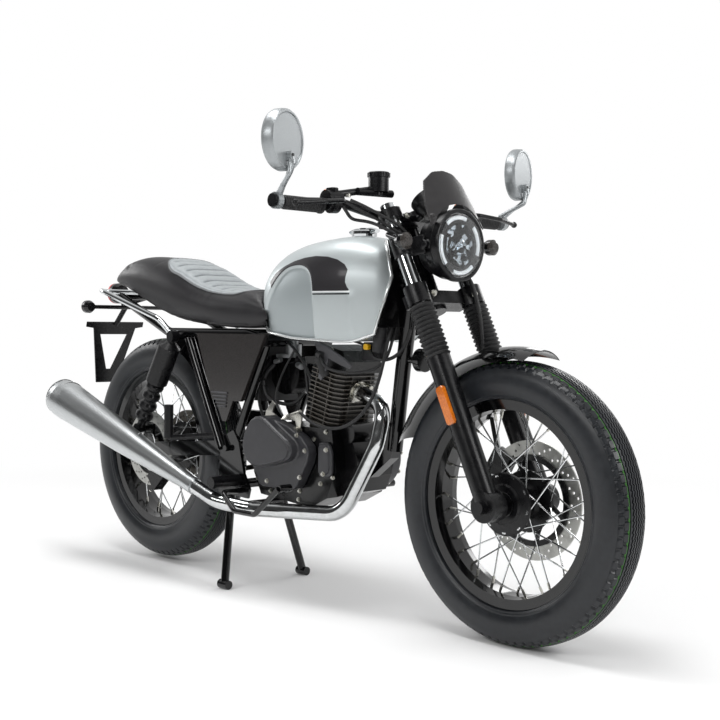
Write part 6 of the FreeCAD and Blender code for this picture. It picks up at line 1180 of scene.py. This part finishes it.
KNEE_RIM = (0.008, 0.004, 0.0010)
RIDGE_AT = 0.903
RIDGE_WIDTH = 0.010
RIDGE_LOW, RIDGE_TOP, RIDGE_FADE = 0.672, 0.790, 0.02
RIDGE_HEIGHT = 0.0032
PATCH_OUTLINE = ((0.607, 0.812), (0.631, 0.835), (0.667, 0.851), (0.705, 0.863), (0.742, 0.870),
                 (0.780, 0.873), (0.823, 0.870), (0.856, 0.862), (0.880, 0.850), (0.892, 0.836),
                 (0.889, 0.821), (0.889, 0.807), (0.895, 0.795), (0.903, 0.786), (0.700, 0.786),
                 (0.640, 0.780))
# Each stripe: its upper and lower edge and its colour.
PINSTRIPES = ((0.7860, 0.7828, "#eef0f0"), (0.7806, 0.7770, "#101011"))
STRIPE_MIDDLE, STRIPE_HALF = 0.8460, 0.0570
SKIN_ROWS, SKIN_COLUMNS = 150, 110
SEAM_WIDE, SEAM_HIGH = 0.0046, 0.0036
CAP_AT = 0.830
EAR_LINE = ((0.0, -0.002), (0.022, 0.001), (0.046, -0.004))
COIL = ((0.936, -0.052, 0.640), (0.944, -0.052, 0.700), 0.016, 28)
COIL_CLAMP = ((0.940, -0.052, 0.668), (0.941, -0.052, 0.674), 0.0175, 28)
LOOM_LEADS = (
    (0.0045, ((0.905, -0.050, 0.652), (0.925, -0.060, 0.630), (0.960, -0.050, 0.622),
              (0.990, -0.022, 0.650), (1.000, -0.008, 0.700))),
    (0.0035, ((0.900, -0.040, 0.645), (0.880, -0.058, 0.660), (0.850, -0.070, 0.668),
              (0.800, -0.066, 0.668))),
    (0.0035, ((0.944, -0.052, 0.700), (0.955, -0.050, 0.720), (0.968, -0.036, 0.750))),
)


def arch_curve(low, top, half):
    """A section: a smooth arch from the right lower edge over the top to the left one."""
    side = [(half * wide, low + (top - low) * high)
            for wide, high in zip(TANK_ARCH_WIDTH_SHARES, TANK_ARCH_HEIGHT_SHARES)]
    whole = [(-y, z) for y, z in side] + [(y, z) for y, z in reversed(side[:-1])]
    steps = [0.0]
    for (ya, za), (yb, zb) in zip(whole, whole[1:]):
        steps.append(steps[-1] + math.hypot(yb - ya, zb - za))
    samples = np.linspace(0, steps[-1], SKIN_COLUMNS)
    return [spline_through(steps, [place[i] for place in whole], samples) for i in range(2)]


def outline_distance(points, outline):
    """The distance from each (x, z) to a closed outline, negative inside."""
    ends = np.array(outline)
    best = np.full(len(points), 1e9)
    inside = np.zeros(len(points), bool)
    for a, b in zip(ends, np.roll(ends, -1, 0)):
        along = b - a
        share = np.clip(((points - a) @ along) / (along @ along), 0, 1)
        best = np.minimum(best, np.hypot(*(points - a - share[:, None] * along).T))
        crosses = (a[1] > points[:, 1]) != (b[1] > points[:, 1])
        where = a[0] + (points[:, 1] - a[1]) * along[0] / (along[1] if along[1] else 1e-9)
        inside ^= crosses & (points[:, 0] < where)
    return np.where(inside, -best, best)


def rounded_outline(outline, passes=3):
    """An outline with its corners cut again and again, so that it runs smoothly."""
    points = np.array(outline, float)
    for _ in range(passes):
        after = np.roll(points, -1, 0)
        cut = [points * 0.75 + after * 0.25, points * 0.25 + after * 0.75]
        points = np.stack(cut, 1).reshape(-1, 2)
    return points


def tank_height(share):
    return TANK_LOW + (TANK_TOP - TANK_LOW) * share


def tank_stations():
    """Places along the tank with each one's low edge, top and half width, closer at the ends."""
    share = (1 - np.cos(np.linspace(0, math.pi, SKIN_ROWS))) / 2
    share = share * 0.5 + np.linspace(0, 1, SKIN_ROWS) * 0.5
    low = tank_height(spline_through(TANK_X_SHARES, TANK_LOW_SHARES, share))
    top = tank_height(spline_through(TANK_X_SHARES, TANK_TOP_SHARES, share))
    half = TANK_HALF * spline_through(TANK_X_SHARES, TANK_WIDTH_SHARES, share)
    return TANK_FRONT - (TANK_FRONT - TANK_REAR) * share, low, top, half


def points_of(mesh):
    return np.array([v.co for v in mesh.vertices])


def move(mesh, co):
    """Puts a mesh's points at new places."""
    mesh.vertices.foreach_set("co", co.astype(np.float32).ravel())
    mesh.update()


def store(mesh, name, values):
    """Keeps one number for each point of a mesh, for its material to read."""
    layer = mesh.attributes.new(name, "FLOAT", "POINT")
    layer.data.foreach_set("value", np.asarray(values, np.float32))


def notch_tip(height):
    """Where along x the room between the two front lobes begins, at a height."""
    share = (height - TANK_LOW) / (TANK_TOP - TANK_LOW)
    depth = np.interp(share, NOTCH_HEIGHT_SHARES, NOTCH_DEPTH_SHARES)
    return TANK_FRONT - (TANK_FRONT - TANK_REAR) * depth


def notch_wedge():
    """The wedge that is cut out between the lobes, as points and faces."""
    points = []
    for z in map(tank_height, NOTCH_HEIGHT_SHARES):
        tip = float(notch_tip(z))
        ahead = tip + NOTCH_REACH
        points += [(tip, 0, z), (ahead, -NOTCH_REACH, z), (ahead, NOTCH_REACH, z)]
    return points, capped(len(NOTCH_HEIGHT_SHARES), 3)


def solid_mesh(name, points, faces):
    """A closed mesh whose faces all look outwards."""
    made = bmesh.new()
    corners = [made.verts.new(point) for point in points]
    for face in faces:
        made.faces.new([corners[i] for i in face])
    bmesh.ops.recalc_face_normals(made, faces=made.faces)
    mesh = bpy.data.meshes.new(name)
    made.to_mesh(mesh)
    made.free()
    return mesh


def make_tank():
    x, low, top, half = tank_stations()
    arches = [arch_curve(low[row], top[row], half[row]) for row in range(SKIN_ROWS)]
    points = [(x[row], a, b) for row, (y, z) in enumerate(arches) for a, b in zip(y, z)]
    whole = put("tank_whole", solid_mesh("tank_whole", points, capped(SKIN_ROWS, SKIN_COLUMNS)))
    wedge = put("tank_wedge", solid_mesh("tank_wedge", *notch_wedge()))
    cut = whole.modifiers.new("notch", "BOOLEAN")
    cut.operation, cut.solver, cut.object = "DIFFERENCE", "EXACT", wedge
    shape = shape_of(as_shown(whole))
    for thing in (whole, wedge):
        bpy.data.objects.remove(thing)
    tank = joined("fuel_tank_skin", "frame", TANK_PAINT, [shape], 38.0)
    mesh = tank.data
    co = points_of(mesh)
    flank = (np.abs(co[:, 1]) > 0.05) & (np.abs(co[:, 1]) > co[:, 0] - notch_tip(co[:, 2]) - 0.0005)
    knee = np.where(flank, outline_distance(co[:, [0, 2]], rounded_outline(KNEE_OUTLINE)), 1.0)
    patch = np.where(flank, outline_distance(co[:, [0, 2]], np.array(PATCH_OUTLINE)), 1.0)
    # Painted shade: the walls of the notch between the front lobes take the black finish, as they
    # lie in shadow.
    mesh.materials.append(SATIN_BLACK)
    for face in mesh.polygons:
        ahead = abs(face.center.y) - (face.center.x - float(notch_tip(face.center.z)))
        if abs(ahead) < 0.002 and face.normal.x > 0.4 and face.normal.y * face.center.y < 0:
            face.material_index = 1
    store(mesh, "knee", knee)
    store(mesh, "patch", patch)
    sink = np.clip(0.5 - knee / KNEE_SLOPE, 0, 1)
    sink = sink * sink * (3 - 2 * sink) * KNEE_DEPTH
    rim_at, rim_width, rim_height = KNEE_RIM
    rim = np.exp(-((knee - rim_at) / rim_width) ** 2) * rim_height
    ridge = np.exp(-((co[:, 0] - RIDGE_AT) / RIDGE_WIDTH) ** 2) * RIDGE_HEIGHT
    ridge *= np.clip((RIDGE_TOP - co[:, 2]) / RIDGE_FADE, 0, 1)
    ridge *= np.clip((co[:, 2] - RIDGE_LOW) / RIDGE_FADE, 0, 1) * flank
    co[:, 1] -= np.sign(co[:, 1]) * (sink - rim - ridge)
    move(mesh, co)
    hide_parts("fuel_tank")
    return x, arches


def make_seam(x, arches):
    """The rolled seam along the tank's lower edge and up the front edge of each lobe."""
    shapes = []
    for side in (-1, 1):
        path = []
        for column in range(SKIN_COLUMNS // 2 - 2):
            run = [Vector((x[row], y[column], z[column])) for row, (y, z) in enumerate(arches)]
            ahead = [p.x - float(notch_tip(p.z)) - abs(p.y) for p in run]
            row = next(i for i, value in enumerate(ahead) if value <= 0)
            share = ahead[row - 1] / (ahead[row - 1] - ahead[row]) if row else 0.0
            met = run[row - 1].lerp(run[row], share) if row else run[0]
            if column == 0:
                path += [run[i] for i in range(len(run) - 1, row - 1, -1)]
            path.append(met)
        path = [Vector((p.x, side * abs(p.y), p.z)) for p in path]
        thinned = [path[0]]
        for point in path[1:]:
            if (point - thinned[-1]).length > 0.003:
                thinned.append(point)
        shapes.append(swept(thinned, SEAM_WIDE, SEAM_HIGH, 10))
    seam = joined("fuel_tank_seam", "frame", SEAM_HIGHLIGHT, shapes, 60.0)


def tank_paint():
    """Metallic silver under clear coat, with the patch and the stripes sprayed over it."""
    made = surface("metallic_silver_paint", ("#b3babb", "#bcc3c4"), 0.5, (0.40, 0.46), 0.0,
                   {"Metallic": 0.55, "Coat Weight": 0.25, "Coat Roughness": 0.12}, 0.0)
    tree, shader, silver, place = opened(made)
    knee = add(tree, "Attribute", {"attribute_name": "knee"}).outputs["Fac"]
    patch = add(tree, "Attribute", {"attribute_name": "patch"}).outputs["Fac"]
    split = add(tree, "SeparateXYZ", None, {0: place}).outputs
    in_knee = add(tree, "MapRange", {"From Min": -0.001, "From Max": -0.004}, {"Value": knee})
    grey = add(tree, "MixRGB", {"Color2": linear("#9ea6a8")}, {"Fac": in_knee, "Color1": silver})
    out_knee = add(tree, "Math", {"operation": "GREATER_THAN", 1: 0.0045}, {0: knee})
    in_patch = add(tree, "MapRange", {"From Min": 0.0004, "From Max": -0.0004}, {"Value": patch})
    dark = add(tree, "Math", {"operation": "MULTIPLY"}, {0: in_patch, 1: out_knee})
    colour = add(tree, "MixRGB", {"Color2": linear("#2d2b2e")}, {"Fac": dark, "Color1": grey})
    ahead = add(tree, "Math", {"operation": "COMPARE", 1: STRIPE_MIDDLE, 2: STRIPE_HALF},
                {0: split["X"]})
    painted = add(tree, "Math", {"operation": "MULTIPLY"}, {0: ahead, 1: out_knee})
    for top, low, code in PINSTRIPES:
        height = add(tree, "Math", {"operation": "COMPARE", 1: (top + low) / 2, 2: (top - low) / 2},
                     {0: split["Z"]})
        on = add(tree, "Math", {"operation": "MULTIPLY"}, {0: height, 1: painted})
        colour = add(tree, "MixRGB", {"Color2": linear(code)}, {"Fac": on, "Color1": colour})
    wire(tree, shader, colour)
    return made


TANK_PAINT = tank_paint()
# Seam: the tank's silver along the rolled edge, painted lighter as a painted highlight.
SEAM_HIGHLIGHT = surface("silver_seam_painted_highlight", ("#d8dcdc", "#eceeee"), 3, (0.15, 0.25), 0.0,
                      {"Metallic": 0.7, "Coat Weight": 0.5})
make_seam(*make_tank())

cap_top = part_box("tank_cap")[1].z
ears = [rod_shape((CAP_AT, 0, cap_top - 0.004), (CAP_AT, 0, cap_top + 0.005), 0.013, 32)]
for ahead in (-1, 1):
    path = run_through([(CAP_AT + ahead * reach, 0.0, cap_top + lift) for reach, lift in EAR_LINE],
                       0.003)
    ears.append(swept(path, 0.009, 0.005, 12))
joined("tank_cap_ears", "frame", CHROME, ears, 35.0)
joined("ignition_coil", "frame", BLACK_PLASTIC, [
    rod_shape(*COIL), rod_shape(*COIL_CLAMP),
    (*bevelled_box((0.060, 0.030, 0.046), 0.006), Matrix.Translation((0.905, -0.020, 0.640)))
], 35.0)
# Moulded yellow plastic of a plug connector: satin, with a faint grain of about 2 mm.
CONNECTOR_YELLOW = surface("yellow_connector_plastic", ("#d9a400", "#f0be14"), 2, (0.35, 0.45))
joined("wire_connector", "frame", CONNECTOR_YELLOW, [
    (*bevelled_box((0.016, 0.010, 0.014), 0.003), Matrix.Translation((0.905, -0.056, 0.652)))
], 30.0)
leads("loom_leads", "frame", LOOM_LEADS)

# Seat
# A long foam seat in black leathercloth that rises to a hump at the tail. A grey top panel with
# sewn cross channels is let into it behind a raised piping.

PAD_OUTLINE_X = (0.087, 0.120, 0.180, 0.260, 0.340, 0.430, 0.500)
PAD_OUTLINE_HALF = (0.112, 0.104, 0.100, 0.100, 0.098, 0.092, 0.080)
PAD_REAR = 0.070
PAD_FRONT = 0.515
CHANNEL_PITCH = 0.040
CHANNEL_DEPTH = 0.0085
CHANNEL_FROM, CHANNEL_FADE = 0.014, 0.012
PIPING_WIDTH, PIPING_HEIGHT = 0.0032, 0.0026
SEAM_AT, SEAM_WIDTH, SEAM_DEPTH = 0.0070, 0.0024, 0.0024
CLOTH_VOXEL = 0.006
CLOTH_FRAMES = 20
CLOTH_PRESSURE = 4.0
CLOTH_CAP = 0.006
CLOTH_START = 0.002
CLOTH_BASE_HEIGHT = 0.012
CLOTH_BASE_CAP = 0.001


def pad_distance(co):
    """The distance inside the top panel's edge, for each point; negative outside."""
    half = np.interp(co[:, 0], PAD_OUTLINE_X, PAD_OUTLINE_HALF)
    ends = np.minimum(co[:, 0] - PAD_REAR, PAD_FRONT - co[:, 0])
    corner = np.sqrt(np.maximum(half ** 2 - np.maximum(half - ends, 0) ** 2, 0))
    return np.minimum(np.minimum(half, corner) - np.abs(co[:, 1]), ends)


def swell(seat, co):
    """The cushion's points after cloth under pressure has crowned it, each held within a cap."""
    cloth = seat.modifiers.new("swell", "CLOTH")
    cloth.settings.use_pressure = True
    cloth.settings.uniform_pressure_force = CLOTH_PRESSURE
    cloth.settings.effector_weights.gravity = 0.0
    cloth.point_cache.frame_start, cloth.point_cache.frame_end = 1, CLOTH_FRAMES
    for step in range(1, CLOTH_FRAMES + 1):
        bpy.context.scene.frame_set(step)
    swollen = as_shown(seat)
    seat.modifiers.clear()
    moved = points_of(swollen) - co
    bpy.data.meshes.remove(swollen)
    reach = np.linalg.norm(moved, axis=1)
    base = co[:, 2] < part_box("seat")[0].z + CLOTH_BASE_HEIGHT
    cap = np.where(base, CLOTH_BASE_CAP, CLOTH_CAP)
    return co + moved * (np.minimum(reach, cap) / np.maximum(reach, 1e-9))[:, None]


def make_seat():
    seat = even_copy("seat", "seat_cushion", CLOTH_VOXEL)
    mesh = seat.data
    co = points_of(mesh) - np.array([v.normal for v in mesh.vertices]) * CLOTH_START
    move(mesh, co)
    move(mesh, swell(seat, co))
    finer = seat.modifiers.new("finer", "SUBSURF")
    finer.levels = finer.render_levels = 1
    mesh = as_shown(seat)
    seat.modifiers.clear()
    seat.data = mesh
    normals = np.array([v.normal for v in mesh.vertices])
    co = points_of(mesh)
    inside = pad_distance(co)
    inside[normals[:, 2] < 0.1] = -1.0
    wave = np.sqrt(np.abs(np.sin(np.pi * (co[:, 0] - PAD_REAR) / CHANNEL_PITCH)))
    fill = np.clip((inside - CHANNEL_FROM) / CHANNEL_FADE, 0, 1)
    ribs = (wave - 1.0) * CHANNEL_DEPTH * fill
    piping = np.exp(-(inside / PIPING_WIDTH) ** 2) * PIPING_HEIGHT
    seam = np.exp(-((inside - SEAM_AT) / SEAM_WIDTH) ** 2) * SEAM_DEPTH
    move(mesh, co + normals * (ribs + piping - seam)[:, None])
    store(mesh, "pad", inside)
    # How deep each point lies in a channel, read by the material for the painted shade there.
    store(mesh, "channel_shade", (1.0 - wave) * fill)
    mesh.materials.clear()
    mesh.materials.append(SEAT_LEATHER)
    smooth(mesh)
    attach(seat, "frame")
    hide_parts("seat")


def seat_leather():
    """Leathercloth: black with a pebble of about 1.2 mm; the panel inside the piping is grey, with
    painted shade in its channels.
    """
    made = surface("seat_leathercloth", ("#161517", "#1e1d20"), 2, (0.38, 0.48), 0.0,
                   {"Specular IOR Level": 0.4})
    tree, shader, black, place = opened(made)
    pebble = add(tree, "TexVoronoi", {"Scale": 1 / (1.2 * MILLIMETRE)}, {"Vector": place})
    tone = add(tree, "TexNoise", {"Scale": 1 / (14 * MILLIMETRE)}, {"Vector": place})
    top = add(tree, "MixRGB", {"Color1": linear("#8f9496"), "Color2": linear("#a6abad")},
              {"Fac": tone.outputs["Fac"]})
    # Painted shade: the grey panel is darkened towards the bottom of each sewn channel.
    channel_shade = add(tree, "Attribute", {"attribute_name": "channel_shade"})
    depth = add(tree, "MapRange", {"From Min": 0.25, "From Max": 0.85},
                {"Value": channel_shade.outputs["Fac"]})
    grey = add(tree, "MixRGB", {"Color2": linear("#5f6366")}, {"Fac": depth, "Color1": top})
    pad = add(tree, "Attribute", {"attribute_name": "pad"}).outputs["Fac"]
    edge = add(tree, "MapRange", {"From Min": 0.0012, "From Max": 0.0022}, {"Value": pad})
    panel = add(tree, "MixRGB", None, {"Fac": edge, "Color1": black, "Color2": grey})
    cord = add(tree, "Math", {"operation": "COMPARE", 1: 0.0, 2: 0.0024}, {0: pad})
    colour = add(tree, "MixRGB", {"Color2": linear("#6d7072")}, {"Fac": cord, "Color1": panel})
    bump = add(tree, "Bump", {"Strength": 0.35, "Distance": 0.25 * MILLIMETRE},
               {"Height": pebble.outputs["Distance"]})
    wire(tree, shader, colour, None, bump)
    return made


SEAT_LEATHER = seat_leather()
make_seat()

# Side panels and tail
# Flat graphite panels fill the triangle behind each knee. A round red lamp sits in a black cup at
# the tail, inside a chromed grab rail.

RIB_COUNT = 5
RIB_TOP, RIB_PITCH = 0.520, 0.009
RIB_FRONT, RIB_REAR = 0.440, 0.372
RIB_RADIUS = 0.0028
# Each lamp: its finish, the colours of its lens, the way that it faces along X and how deep the
# lens is.
LAMPS = {
    "tail_light": ("red_lamp_acrylic", ("#a30d10", "#d81d1a"), -1, 0.014),
    "front_indicators": ("smoked_front_signal", ("#161413", "#4a4643"), 1, 0.010),
    "rear_indicators": ("smoked_rear_signal", ("#2c2725", "#5a5552"), -1, 0.010),
}

# Graphite paint: dark brown-grey with fine metal flake and a soft shine.
GRAPHITE = surface("graphite_panel_paint", ("#1f1c1b", "#262322"), 0.6, (0.22, 0.30), 0.0,
                   {"Coat Weight": 0.3, "Coat Roughness": 0.10}, 0.0)
finish_nodes(GRAPHITE, "side_panels")

ribs = []
for side in (-1, 1):
    for index in range(RIB_COUNT):
        high = RIB_TOP - RIB_PITCH * index
        ends = [on_node("side_panels", x, high, side)
                for x in (RIB_REAR + 0.006 * index, RIB_FRONT - 0.002 * index)]
        if all(ends):
            lifted = [end + Vector((0, side * 0.001, 0)) for end in ends]
            ribs.append(rod_shape(*lifted, RIB_RADIUS, 10))
joined("side_panel_ribs", "frame", COVER_PLASTIC, ribs)


def lamp_moulding(name, lens, way, at):
    """A lamp in one moulding: a black housing up to a place along X, a prismatic lens beyond it."""
    made = surface(name, ("#0b0b0c", "#111112"), 3, (0.12, 0.22), 0.15)
    tree, shader, plain, place = opened(made)
    split = add(tree, "SeparateXYZ", None, {0: place})
    beyond = add(tree, "Math", {"operation": "GREATER_THAN" if way > 0 else "LESS_THAN", 1: at},
                 {0: split.outputs["X"]})
    prisms = add(tree, "TexVoronoi", {"Scale": 1 / (3 * MILLIMETRE)}, {"Vector": place})
    tint = add(tree, "MixRGB", {"Color1": linear(lens[0]), "Color2": linear(lens[1])},
               {"Fac": prisms.outputs["Distance"]})
    both = add(tree, "MixRGB", None, {"Fac": beyond, "Color1": plain, "Color2": tint})
    wire(tree, shader, both)
    return made


# Lamp acrylic: deep red over prisms of about 3 mm, and smoked grey on the turn signals.
for node, (name, lens, way, depth) in LAMPS.items():
    low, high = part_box(node)
    finish_nodes(lamp_moulding(name, lens, way, high.x - depth if way > 0 else low.x + depth), node)
# The grips are pushed over the bar's ends last.
make_grips()
